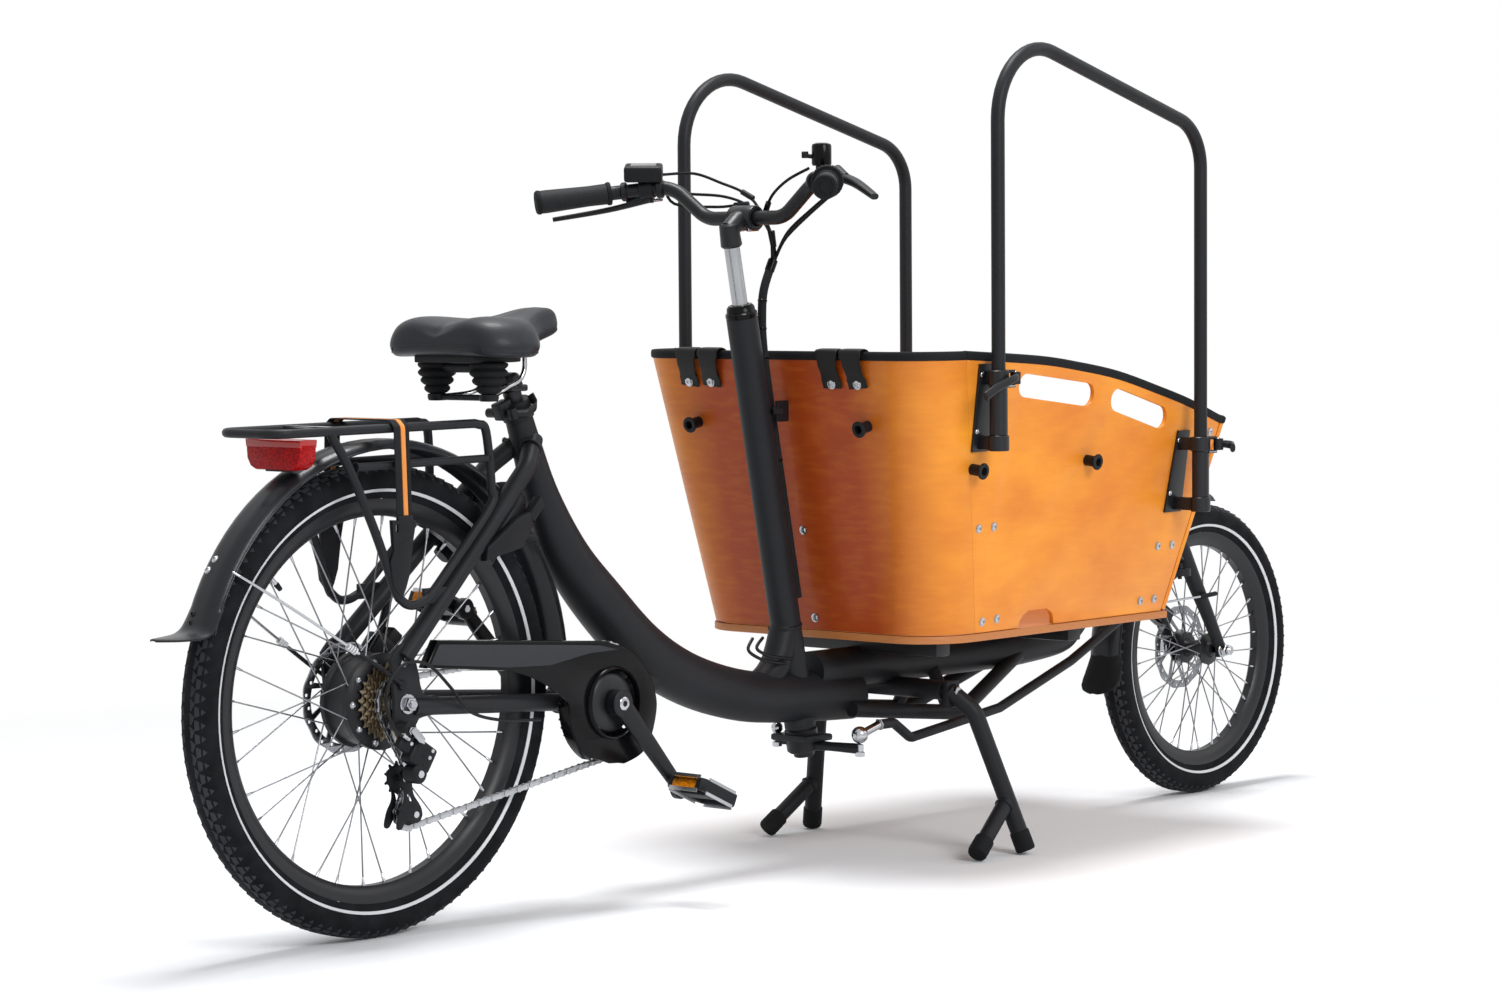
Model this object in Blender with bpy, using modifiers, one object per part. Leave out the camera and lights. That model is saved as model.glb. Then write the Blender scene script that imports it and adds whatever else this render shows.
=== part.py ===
"""Electric cargo bike with a plywood box between the rider and the small front wheel.

Metres, +Z up, +X towards the front wheel, +Y to the rider's left. Places are written
as bike coordinates: x forward from the rear axle, y to the left, z up from the ground.
at() moves them so that the middle of the bike's length stands at the origin.
"""

import math

import bmesh
import bpy
from mathutils import Matrix, Vector

# Driving dimensions
MIDDLE_X = 0.92235
REAR_RADIUS = 0.3345
REAR_BEAD = 0.2848
FRONT_RADIUS = 0.258
FRONT_BEAD = 0.2083
WHEELBASE = 1.976
TYRE_HALF = 0.0275
RIM_DEPTH = 0.0248
SPOKES = 36
WHEEL_STEPS = 24
GAP = 0.0003

COLUMN_LEAN = 0.2016
COLUMN_GROUND_X = 0.9535
COLUMN_RADIUS = 0.0245
COLUMN_TOP = 0.869
SHAFT_RADIUS = 0.0165
QUILL_RADIUS = 0.01225

SEAT_LEAN = 0.374
SEAT_TOP = (0.2915, 0.733)
POST_RADIUS = 0.0136

BB_X = 0.3996
BB_Z = 0.3026
CRANK_LENGTH = 0.175
CRANK_ANGLE = math.radians(-50.7)
CHAIN_Y = -0.0585
CHAIN_PITCH = 0.0127
CHAINRING_TEETH = 42
SPROCKET_TEETH = 16
PULLEY_TEETH = 10
GUIDE_PULLEY = (0.0, 0.2300)
TENSION_PULLEY = (0.020, 0.1770)

HEAD_X = 1.800
HEAD_Z = 0.520
HEAD_LEAN = math.radians(25.0)
LINK_REAR = (0.938, -0.100, 0.192)
LINK_FRONT = (1.785, -0.105, 0.410)

STAND_X = 1.125
STAND_Z = 0.262

PAD_UNDERSIDE = 0.8155
SADDLE_BASE_Z = 0.8075
BELLOWS_X = 0.184
BELLOWS_Y = 0.0535

BOX_REAR_TOP = 0.848
BOX_TOP = 0.808
BOX_BOTTOM = 0.366
BOX_CORNER = 0.085
BOX_PLY = 0.009
FLOOR_PLY = 0.012
FLOOR_STEP = 0.0005
LEAN_GAP = 0.0014
FRONT_BOTTOM_X = 1.560
FRONT_TOP_X = 1.686

HOOP_RADIUS = 0.0108
HOOP_REAR_X = 1.003
HOOP_REAR_Y = 0.328
HOOP_FRONT_X = 1.553
HOOP_FRONT_Y = 0.314
HOOP_RAISED = {"right": 0.022, "left": 0.0}

RACK_TOP = 0.720
RACK_HALF = 0.060
RACK_SPLAY = 0.045
RACK_TUBE = 0.0065

BAR_CLAMP = (0.7890, 0.0, 1.0150)
BAR_KNEE = (0.7890, 0.0800, 1.0150)
BAR_SHOULDER = (0.7820, 0.1470, 1.0670)
GRIP_INNER = (0.7280, 0.2230, 1.0690)
GRIP_OUTER = (0.6340, 0.2980, 1.0550)
BAR_RADIUS = 0.0112
LEVERS = {
    "right": ((0.7860, -0.1900, 1.0760), (0.7650, -0.2450, 1.0640), (0.7420, -0.3020, 1.0420)),
    "left": ((0.7660, 0.1860, 1.0500), (0.7350, 0.2410, 1.0390), (0.6860, 0.3090, 1.0210)),
}

BUNDLE_TOP = (0.8540, -0.0020, 0.9560)
CABLE_RUNS = {
    "display_cable": ((0.7860, 0.1700, 1.0860), (0.8360, 0.1500, 1.0877),
                      (0.8558, 0.1100, 1.0721), (0.8594, 0.0700, 1.0580),
                      (0.8578, 0.0400, 1.0388), (0.8520, 0.0040, 0.9950)),
    "inner_cable": ((0.7870, 0.1720, 1.0760), (0.7991, 0.1600, 1.0404),
                    (0.8272, 0.0950, 1.0342), (0.8419, 0.0400, 1.0350),
                    (0.8500, 0.0080, 1.0050)),
    "left_brake_hose": ((0.7900, 0.1660, 1.0580), (0.8171, 0.1400, 1.0551),
                        (0.8307, 0.0800, 1.0499), (0.8419, 0.0380, 1.0330),
                        (0.8500, 0.0050, 0.9950)),
    "bell_side_cable": ((0.7700, -0.1480, 1.0880), (0.7707, -0.1050, 1.0716),
                        (0.7860, -0.0600, 1.0500), (0.8051, -0.0300, 1.0266),
                        (0.8273, -0.0120, 1.0060)),
    "right_brake_hose": ((0.7932, -0.1860, 1.0560), (0.8156, -0.1100, 1.0202),
                         (0.8393, -0.0400, 0.9847)),
}

PARTS = None
CUTTERS = None


def at(x, y, z):
    """A point in bike coordinates, moved into the part's own frame."""
    return Vector((x - MIDDLE_X, y, z))


def clear_scene():
    for thing in list(bpy.data.objects):
        bpy.data.objects.remove(thing, do_unlink=True)


def make_collections():
    global PARTS, CUTTERS
    PARTS = bpy.data.collections.new("electric_cargo_bike")
    CUTTERS = bpy.data.collections.new("cutters")
    for group in (PARTS, CUTTERS):
        bpy.context.scene.collection.children.link(group)


def finish_material(name, colour, roughness, metallic=0.0):
    """A Principled material; colour is an sRGB hex value."""
    def linear(value):
        value /= 255
        return value / 12.92 if value <= 0.04045 else ((value + 0.055) / 1.055) ** 2.4

    material = bpy.data.materials.new(name)
    material.use_nodes = True
    shader = material.node_tree.nodes["Principled BSDF"]
    channels = [linear((colour >> shift) & 255) for shift in (16, 8, 0)]
    shader.inputs["Base Color"].default_value = (*channels, 1)
    shader.inputs["Roughness"].default_value = roughness
    shader.inputs["Metallic"].default_value = metallic
    return material


FINISHES = {
    "black_frame": (0x26272A, 0.55, 0.0),
    "black_plastic": (0x1C1C1E, 0.5, 0.0),
    "black_rubber": (0x202022, 0.8, 0.0),
    "tyre": (0x2A2B2D, 0.85, 0.0),
    "saddle": (0x252628, 0.6, 0.0),
    "bright_alloy": (0xB9BBBD, 0.3, 1.0),
    "black_alloy": (0x1E1F21, 0.4, 0.6),
    "bronze_steel": (0x7A6A55, 0.4, 1.0),
    "chain_steel": (0xA8A9AB, 0.35, 1.0),
    "plywood": (0xC8742C, 0.45, 0.0),
    "plywood_base": (0xB5622A, 0.5, 0.0),
    "red_lens": (0xC41E1E, 0.2, 0.0),
}


def add_finish(thing, finish):
    colour, roughness, metallic = FINISHES[finish]
    thing.data.materials.clear()
    thing.data.materials.append(
        finish_material(thing.name + "_" + finish, colour, roughness, metallic))


def place(name, mesh, finish):
    """Wrap a mesh in an object in the part's collection."""
    thing = bpy.data.objects.new(name, mesh)
    PARTS.objects.link(thing)
    if finish:
        add_finish(thing, finish)
    return thing


def from_bmesh(name, bm, finish=None):
    mesh = bpy.data.meshes.new(name)
    bm.to_mesh(mesh)
    bm.free()
    return place(name, mesh, finish)


def as_mesh(name, source, finish):
    """Turn a curve or a modified object into a plain welded mesh object."""
    bpy.context.view_layer.update()
    depsgraph = bpy.context.evaluated_depsgraph_get()
    mesh = bpy.data.meshes.new_from_object(source.evaluated_get(depsgraph))
    bm = bmesh.new()
    bm.from_mesh(mesh)
    bmesh.ops.remove_doubles(bm, verts=bm.verts, dist=0.00001)
    bmesh.ops.dissolve_degenerate(bm, edges=bm.edges, dist=0.000005)
    bm.transform(source.matrix_world)
    bmesh.ops.recalc_face_normals(bm, faces=bm.faces)
    if bm.calc_volume(signed=True) < 0:
        bmesh.ops.reverse_faces(bm, faces=bm.faces)
    bm.to_mesh(mesh)
    bm.free()
    bpy.data.objects.remove(source, do_unlink=True)
    return place(name, mesh, finish)


def tube(name, path, radius, finish=None, scales=None, fineness=2, cyclic=False):
    """A round tube along a list of points; scales thins or thickens it on the way."""
    curve = bpy.data.curves.new(name, "CURVE")
    curve.dimensions = "3D"
    curve.bevel_depth = radius
    curve.bevel_resolution = fineness
    curve.use_fill_caps = not cyclic
    spline = curve.splines.new("POLY")
    spline.points.add(len(path) - 1)
    spline.use_cyclic_u = cyclic
    for index, point in enumerate(path):
        spline.points[index].co = (*point, 1)
        spline.points[index].radius = scales[index] if scales else 1
    return as_mesh(name, place(name, curve, None), finish)


def rod(name, start, end, radius, sides=12, end_radius=None):
    """A straight round bar, or a cone when end_radius is given."""
    bm = bmesh.new()
    span = end - start
    bmesh.ops.create_cone(
        bm, cap_ends=True, segments=sides, radius1=radius,
        radius2=radius if end_radius is None else end_radius, depth=span.length)
    turn = span.to_track_quat("Z", "Y").to_matrix().to_4x4()
    bm.transform(Matrix.Translation((start + end) / 2) @ turn)
    return from_bmesh(name, bm)


def block(name, centre, size, finish=None, turn=None, bevel=0.0):
    """A box of the given size about its centre, turned by a matrix if one is given."""
    bm = bmesh.new()
    bmesh.ops.create_cube(bm, size=1)
    bmesh.ops.scale(bm, verts=bm.verts, vec=size)
    if bevel:
        bmesh.ops.bevel(bm, geom=bm.edges, offset=bevel, segments=1, affect="EDGES")
    if turn:
        bm.transform(turn.to_4x4())
    bm.transform(Matrix.Translation(centre))
    return from_bmesh(name, bm, finish)


def ball(name, centre, radius):
    bm = bmesh.new()
    bmesh.ops.create_uvsphere(bm, u_segments=10, v_segments=6, radius=radius)
    bm.transform(Matrix.Translation(centre))
    return from_bmesh(name, bm)


def turned(name, profile, centre, axis, finish, steps=24, ring=False):
    """Turn a profile of (radius, height along the axis) with a Screw modifier.

    The profile runs down the outer side from top to bottom; a ring's profile is closed.
    """
    bm = bmesh.new()
    corners = [bm.verts.new((radius, 0, height)) for radius, height in profile]
    for first, second in zip(corners, corners[1:]):
        bm.edges.new((first, second))
    if ring:
        bm.edges.new((corners[-1], corners[0]))
    source = from_bmesh(name, bm)
    source.location = centre
    source.rotation_euler = axis.to_track_quat("Z", "Y").to_euler()
    screw = source.modifiers.new("turn", "SCREW")
    screw.angle = math.tau
    screw.steps = steps
    screw.render_steps = steps
    screw.use_merge_vertices = True
    screw.merge_threshold = 0.00001
    return as_mesh(name, source, finish)


def plate(name, outline, thickness, origin, across, up, finish=None, holes=()):
    """A flat sheet from a 2D outline, centred on the plane of the two directions."""
    curve = bpy.data.curves.new(name, "CURVE")
    curve.dimensions = "2D"
    curve.fill_mode = "BOTH"
    curve.extrude = thickness / 2
    for loop in (outline, *holes):
        spline = curve.splines.new("POLY")
        spline.points.add(len(loop) - 1)
        spline.use_cyclic_u = True
        for index, (u, v) in enumerate(loop):
            spline.points[index].co = (u, v, 0, 1)
    sheet = place(name, curve, None)
    normal = across.cross(up).normalized()
    axes = Matrix((across, up, normal)).transposed().to_4x4()
    sheet.matrix_world = Matrix.Translation(origin) @ axes
    return as_mesh(name, sheet, finish)


def boolean(target, tool, operation):
    """Join a tool to a shape or cut it away, and keep the tool as a wire guide."""
    modifier = target.modifiers.new(tool.name, "BOOLEAN")
    modifier.operation = operation
    modifier.object = tool
    PARTS.objects.unlink(tool)
    CUTTERS.objects.link(tool)
    tool.hide_render = True
    tool.display_type = "WIRE"


def fuse(target, *tools):
    for tool in tools:
        boolean(target, tool, "UNION")
    return target


def carve(target, *tools):
    for tool in tools:
        boolean(target, tool, "DIFFERENCE")
    return target


def set_origin(thing, point):
    """Put a piece's origin on its joint without moving its shape."""
    bpy.context.view_layer.update()
    thing.data.transform(Matrix.Translation(-point) @ thing.matrix_world)
    thing.matrix_world = Matrix.Translation(point)


def arc(centre, radius, start, end, steps):
    """Points (u, v) on an arc, angles in degrees."""
    points = []
    for step in range(steps + 1):
        angle = math.radians(start + (end - start) * step / steps)
        points.append((centre[0] + radius * math.cos(angle),
                       centre[1] + radius * math.sin(angle)))
    return points


def smooth(points, samples):
    """A smooth line of vectors through the given points, ends included."""
    line = []
    last = len(points) - 1
    for index in range(last):
        before = points[max(index - 1, 0)]
        start, end = points[index], points[index + 1]
        after = points[min(index + 2, last)]
        for step in range(samples):
            t = step / samples
            line.append(0.5 * (2 * start + (end - before) * t
                               + (2 * before - 5 * start + 4 * end - after) * t * t
                               + (3 * start - before - 3 * end + after) * t ** 3))
    line.append(points[-1])
    return line


def rounded(points, radius, steps):
    """A path with each inner corner replaced by an arc of the given radius."""
    path = [points[0]]
    for before, corner, after in zip(points, points[1:], points[2:]):
        inward = (before - corner).normalized()
        outward = (after - corner).normalized()
        half = inward.angle(outward) / 2
        run = radius / math.tan(half)
        middle = corner + (inward + outward).normalized() * (radius / math.sin(half))
        first = corner + inward * run - middle
        last = corner + outward * run - middle
        turn = first.angle(last)
        for step in range(steps + 1):
            t = step / steps
            blend = first * math.sin((1 - t) * turn) + last * math.sin(t * turn)
            path.append(middle + blend / math.sin(turn))
    path.append(points[-1])
    return path


def column_point(z, forward=0.0, y=0.0):
    """A point beside the steering column's axis at height z."""
    return at(COLUMN_GROUND_X - COLUMN_LEAN * z + forward, y, z)


def seat_point(z, forward=0.0, y=0.0):
    """A point beside the seat tube's axis at height z."""
    return at(SEAT_TOP[0] + SEAT_LEAN * (SEAT_TOP[1] - z) + forward, y, z)


def head_point(along, y=0.0, forward=0.0):
    """A point on the fork's steering axis, measured up from the crown."""
    lean = math.sin(HEAD_LEAN), math.cos(HEAD_LEAN)
    return at(HEAD_X - along * lean[0] + forward * lean[1], y,
              HEAD_Z + along * lean[1] + forward * lean[0])


def seat_stay_line(side):
    """The bent tube from the seat tube down to a rear dropout."""
    return rounded([at(0.312, side * 0.012, 0.690), at(0.272, side * 0.040, 0.652),
                    at(0.200, side * 0.049, 0.587),
                    at(-0.006, side * 0.0715, 0.398)], 0.05, 2)


def clear_of_seat_stays(thing):
    for side, hand in ((-1, "right"), (1, "left")):
        carve(thing, tube("stay_clearance_" + hand, seat_stay_line(side), 0.0142, fineness=1))


def beam_line():
    """The thick bent main beam: x, z and radius from the seat clamp to its front end."""
    stations = [
        (0.2915, 0.733, 0.0235), (0.310, 0.682, 0.0240), (0.340, 0.604, 0.0275),
        (0.389, 0.517, 0.0355), (0.455, 0.445, 0.0405), (0.546, 0.366, 0.0410),
        (0.648, 0.311, 0.0405), (0.775, 0.275, 0.0400), (0.910, 0.262, 0.0400),
        (1.030, 0.256, 0.0400)]
    line = smooth([Vector(station) for station in stations], 2)
    return [at(p.x, 0, p.y) for p in line], [p.z for p in line]


def beam_tube(name, margin):
    path, radii = beam_line()
    scales = [(radius + margin) / 0.04 for radius in radii]
    return tube(name, path, 0.04, None, scales, fineness=2)


def main_frame():
    """Seat tube, main beam, column tube, stays, dropouts and bottom bracket, welded."""
    frame = beam_tube("main_frame", 0)
    tools = [rod("column_tube", column_point(0.216), column_point(COLUMN_TOP),
                 COLUMN_RADIUS, sides=14)]
    tools.append(tube("column_gusset", [at(0.790, 0, 0.275), at(0.840, 0, 0.302),
                                        column_point(0.365, -0.004)], 0.024, fineness=1))
    tools.append(rod("headset_cap", column_point(COLUMN_TOP - 0.004),
                     column_point(COLUMN_TOP + 0.022), 0.0225, sides=12,
                     end_radius=0.0185))
    tools.append(rod("bottom_bracket", at(BB_X, -0.036, BB_Z), at(BB_X, 0.036, BB_Z),
                     0.022, sides=12))
    tools.append(rod("bottom_bracket_yoke", at(BB_X + 0.008, 0, BB_Z),
                     at(0.600, 0, 0.330), 0.026, sides=8))
    tools.append(rod("seat_clamp", seat_point(0.722), seat_point(0.748), 0.0258,
                     sides=12))
    tools.append(block("seat_clamp_ear", seat_point(0.730, -0.028), (0.024, 0.020, 0.018)))
    tools.append(rod("seat_skewer_nut", seat_point(0.730, -0.034, 0.008),
                     seat_point(0.730, -0.034, 0.026), 0.0070, sides=10))
    for side, hand in ((-1, "right"), (1, "left")):
        tools.append(tube("seat_stay_" + hand, seat_stay_line(side), 0.0135, fineness=1))
        chain_stay = [at(0.020, side * 0.0708, 0.329), at(0.150, side * 0.060, 0.320),
                      at(0.300, side * 0.0445, 0.309), at(0.345, side * 0.0395, 0.3055),
                      at(0.408, side * 0.022, BB_Z)]
        tools.append(tube("chain_stay_" + hand, chain_stay, 0.0130, fineness=1))
        outline = [(-0.030, 0.400), (-0.006, 0.420), (0.018, 0.390), (0.030, 0.345),
                   (0.060, 0.340), (0.060, 0.318), (0.022, 0.312), (0.010, 0.288),
                   (-0.010, 0.284), (-0.022, 0.300), (-0.024, 0.345)]
        tools.append(plate("dropout_" + hand, outline, 0.006,
                           at(0, side * 0.0715, 0), Vector((1, 0, 0)), Vector((0, 0, 1))))
        tools.append(rod("rear_axle_nut_" + hand, at(0, side * 0.070, REAR_RADIUS),
                         at(0, side * 0.083, REAR_RADIUS), 0.0105, sides=6))
    tools.append(rod("rear_axle", at(0, -0.090, REAR_RADIUS), at(0, 0.088, REAR_RADIUS),
                     0.006, sides=8))
    tools.append(block("rear_caliper", at(0.075, 0.058, 0.400), (0.050, 0.030, 0.034),
                       turn=Matrix.Rotation(math.radians(40), 3, "Y")))
    tools.append(rod("rear_caliper_arm", at(0.075, 0.068, 0.408), at(0.095, 0.061, 0.482),
                     0.006, sides=6))
    fuse(frame, *tools)
    carve(
        frame,
        rod("column_bore", column_point(0.150), column_point(COLUMN_TOP - 0.005),
            SHAFT_RADIUS + 0.0012, sides=12),
        rod("quill_bore", column_point(COLUMN_TOP - 0.010),
            column_point(COLUMN_TOP + 0.050), QUILL_RADIUS + 0.0010, sides=12),
        rod("seat_tube_bore", seat_point(0.480), seat_point(0.800),
            POST_RADIUS + 0.0010, sides=12),
        rod("bottom_bracket_bore", at(BB_X, -0.080, BB_Z), at(BB_X, 0.080, BB_Z),
            0.0112, sides=10),
        rod("rotor_slot", at(0, 0.0520, REAR_RADIUS), at(0, 0.0580, REAR_RADIUS),
            0.0850, sides=16))
    add_finish(frame, "black_frame")


def main_pipe(name, radius):
    """The big tube under the box, which rises to the head tube behind the front wheel."""
    path = [at(0.932, 0, 0.3000)] + smooth([at(1.440, 0, 0.2990),
                   at(1.560, 0, 0.3090), at(1.597, 0, 0.3270), at(1.640, 0, 0.3720),
                   at(1.680, 0, 0.4500),
                   at(1.730, 0, 0.5350), at(1.774, 0, 0.5850)], 2)
    return tube(name, path, radius, fineness=2)


def front_frame():
    """The front half of the frame: main pipe, head tube, stand sleeve and box bearers."""
    frame = main_pipe("front_frame", 0.0320)
    tools = [rod("head_tube", head_point(0.024), head_point(0.132), 0.0225, sides=14)]
    for side, hand in ((-1, "right"), (1, "left")):
        brace = rounded([at(0.985, side * 0.044, 0.238), at(1.240, side * 0.058, 0.212),
                         at(1.440, side * 0.020, 0.290)], 0.06, 2)
        tools.append(tube("lower_brace_" + hand, brace, 0.0125, fineness=1))
        tools.append(rod("brace_strut_" + hand, at(1.215, side * 0.056, 0.214),
                         at(1.215, side * 0.020, 0.285), 0.0110, sides=8))
    tools.append(rod("stand_sleeve", at(STAND_X, -0.118, STAND_Z),
                     at(STAND_X, 0.118, STAND_Z), 0.0160, sides=10))
    for x in (1.060, 1.400):
        tools.append(block("box_bearer", at(x, 0, 0.3385), (0.034, 0.340, 0.0290)))
    fuse(frame, *tools)
    carve(
        frame,
        beam_tube("beam_clearance", 0.0005),
        rod("head_bore", head_point(-0.05), head_point(0.25), 0.0160, sides=12),
        rod("stand_bore", at(STAND_X, -0.2, STAND_Z), at(STAND_X, 0.2, STAND_Z),
            0.0100, sides=10))
    add_finish(frame, "black_frame")


def tyre(name, axle, radius, bead):
    """A C-shaped casing, open towards the rim well."""
    half = [(radius, 0.0100), (radius - 0.0160, 0.0268), (bead, 0.0165), (bead, 0.0125),
            (radius - 0.0110, 0.0175)]
    profile = half + [(r, -y) for r, y in reversed(half)]
    return turned(name, profile, axle, Vector((0, 1, 0)), "tyre", WHEEL_STEPS, True)


def rim(name, axle, bead):
    """A rim with a shallow well for the tyre; its inner wall carries the spokes."""
    edge = bead - GAP
    inner = bead - RIM_DEPTH
    profile = [(edge, 0.0163), (inner, 0.0090), (inner, -0.0090), (edge, -0.0163),
               (edge - 0.009, -0.0120), (edge - 0.009, 0.0120)]
    return turned(name, profile, axle, Vector((0, 1, 0)), "black_alloy", WHEEL_STEPS, True)


def spoke_set(name, axle, flange_radius, flange_y, bead):
    """Crossed spokes from both flanges, each a thin three-sided bar, none touching."""
    bm = bmesh.new()
    rim_radius = (bead - RIM_DEPTH) * math.cos(math.pi / WHEEL_STEPS) - 0.0012
    thickness = 0.0013
    for index in range(SPOKES):
        side = 1 if index % 2 else -1
        lean = 1 if (index // 2) % 2 else -1
        rim_angle = math.tau * (index + 0.5) / SPOKES
        hub_angle = rim_angle - lean * math.radians(34)
        low = Vector((flange_radius * math.cos(hub_angle),
                      side * flange_y + lean * 0.0022, flange_radius * math.sin(hub_angle)))
        high = Vector((rim_radius * math.cos(rim_angle), side * 0.003,
                       rim_radius * math.sin(rim_angle)))
        span = high - low
        made = bmesh.ops.create_cone(bm, cap_ends=True, segments=3, radius1=thickness,
                                     radius2=thickness, depth=span.length)
        turn = span.to_track_quat("Z", "Y").to_matrix().to_4x4()
        bmesh.ops.transform(bm, verts=made["verts"],
                            matrix=Matrix.Translation(axle + (low + high) / 2) @ turn)
    return from_bmesh(name, bm)


def rear_wheel():
    axle = at(0, 0, REAR_RADIUS)
    tyre("rear_tyre", axle, REAR_RADIUS, REAR_BEAD)
    rim("rear_rim", axle, REAR_BEAD)
    profile = [(0.0070, 0.0600), (0.0200, 0.0562), (0.0800, 0.0562), (0.0800, 0.0538),
               (0.0220, 0.0538), (0.0300, 0.0400), (0.0680, 0.0345), (0.0680, 0.0235),
               (0.0630, 0.0225), (0.0630, -0.0125), (0.0680, -0.0135), (0.0680, -0.0245),
               (0.0500, -0.0300), (0.0170, -0.0310), (0.0170, -0.0600), (0.0070, -0.0600)]
    hub = turned("rear_hub_motor", profile, axle, Vector((0, 1, 0)), None, 12, True)
    spokes = spoke_set("rear_spokes", axle, 0.064, 0.0240, REAR_BEAD)
    spokes.data.transform(Matrix.Translation((0, 0.0050, 0)))
    fuse(hub, spokes)
    add_finish(hub, "black_alloy")
    bore = 0.0175
    steps = []
    for index in range(3):
        outer = 0.0450 - index * 0.0085
        near = -0.0325 - index * 0.0080
        steps += [(outer, near), (outer, near - 0.0080)]
    rings = [(bore, steps[0][1])] + steps + [(bore, steps[-1][1])]
    cassette = turned("cassette", rings, axle, Vector((0, 1, 0)), None, 16, True)
    sprocket = pitch_radius(SPROCKET_TEETH)
    seat = axle + Vector((0, chain_y(0), 0))
    groove = turned("chain_groove", [(0.06, 0.0048), (0.06, -0.0048),
                                     (sprocket - 0.0055, -0.0048),
                                     (sprocket - 0.0055, 0.0048)],
                    seat, Vector((0, 1, 0)), None, 16, True)
    carve(cassette, groove)
    add_finish(cassette, "bronze_steel")
    for name in ("rear_tyre", "rear_rim", "rear_hub_motor", "cassette"):
        set_origin(bpy.data.objects[name], axle)


def front_wheel():
    axle = at(WHEELBASE, 0, FRONT_RADIUS)
    tyre("front_tyre", axle, FRONT_RADIUS, FRONT_BEAD)
    rim("front_rim", axle, FRONT_BEAD)
    profile = [(0.0062, 0.0430), (0.0160, 0.0340), (0.0750, 0.0340), (0.0750, 0.0316),
               (0.0180, 0.0316), (0.0160, 0.0250), (0.0280, 0.0240), (0.0280, 0.0160),
               (0.0150, 0.0150), (0.0150, -0.0220), (0.0280, -0.0240), (0.0280, -0.0330),
               (0.0130, -0.0370), (0.0062, -0.0430)]
    hub = turned("front_hub", profile, axle, Vector((0, 1, 0)), None, 16, True)
    spokes = spoke_set("front_spokes", axle, 0.0245, 0.0242, FRONT_BEAD)
    spokes.data.transform(Matrix.Translation((0, -0.0042, 0)))
    fuse(hub, spokes)
    add_finish(hub, "black_alloy")
    for name in ("front_tyre", "front_rim", "front_hub"):
        set_origin(bpy.data.objects[name], axle)


def mudguard(name, axle, radius, half_width, first, last, steps):
    """A curved strip whose edges turn down over the tyre, thickened to a shell."""
    bm = bmesh.new()
    section = [(-half_width, -0.012), (-half_width * 0.72, -0.0025), (0, 0),
               (half_width * 0.72, -0.0025), (half_width, -0.012)]
    rows = []
    for step in range(steps + 1):
        angle = math.radians(first + (last - first) * step / steps)
        row = []
        for y, drop in section:
            reach = radius + drop
            row.append(bm.verts.new(axle + Vector((reach * math.cos(angle), y,
                                                   reach * math.sin(angle)))))
        rows.append(row)
    for before, after in zip(rows, rows[1:]):
        for index in range(len(section) - 1):
            bm.faces.new((before[index], before[index + 1], after[index + 1], after[index]))
    bmesh.ops.recalc_face_normals(bm, faces=bm.faces)
    sheet = from_bmesh(name, bm)
    shell = sheet.modifiers.new("thickness", "SOLIDIFY")
    shell.thickness = 0.0022
    shell.offset = 0
    return as_mesh(name, sheet, None)


def rear_mudguard():
    """Sprung a little off centre: it stands clear of the tyre at the top and front."""
    centre = at(0.018, 0, 0.3484)
    guard = mudguard("rear_mudguard", centre, 0.3530, 0.0305, 8, 162.5, 13)
    slope = Vector((-0.995, 0, -0.100)).normalized()
    flap = plate("mud_flap", [(0.0, 0.026), (0.030, 0.034), (0.060, 0.030),
                              (0.074, 0.012), (0.074, -0.012), (0.060, -0.030),
                              (0.030, -0.034), (0.0, -0.026)],
                 0.0035, at(-0.3155, 0, 0.4560), slope, Vector((0, 1, 0)))
    tools = [flap]
    for side, hand in ((-1, "right"), (1, "left")):
        wire = [at(-0.2745, side * 0.0230, 0.5338), at(-0.2620, side * 0.0380, 0.5240),
                at(-0.1800, side * 0.0600, 0.4710), at(-0.0500, side * 0.0790, 0.3870),
                at(-0.0120, side * 0.0790, 0.3620)]
        tools.append(tube("mudguard_wire_" + hand, wire, 0.0022, fineness=0))
    fuse(guard, *tools)
    add_finish(guard, "black_plastic")


def front_mudguard():
    """A short guard behind and over the front wheel, with a broad rubber flap."""
    axle = at(WHEELBASE, 0, FRONT_RADIUS)
    guard = mudguard("front_mudguard", axle, 0.2760, 0.0305, 86, 188, 9)
    slope = Vector((-0.259, 0, -0.966)).normalized()
    fuse(guard, plate("front_mud_flap", [(-0.004, 0.028), (0.008, 0.034), (0.022, 0.030),
                                         (0.032, 0.016), (0.032, -0.016), (0.022, -0.030),
                                         (0.008, -0.034), (-0.004, -0.028)],
                      0.0035, at(1.7020, 0, 0.2300), slope, Vector((0, 1, 0))))
    add_finish(guard, "black_plastic")
    set_origin(guard, head_point(0))


def rack_side(side, x, z):
    """A place on a side loop of the rack, which splays outwards as it goes down."""
    return at(x, side * (RACK_HALF + (RACK_TOP - z) * RACK_SPLAY), z)


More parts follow.
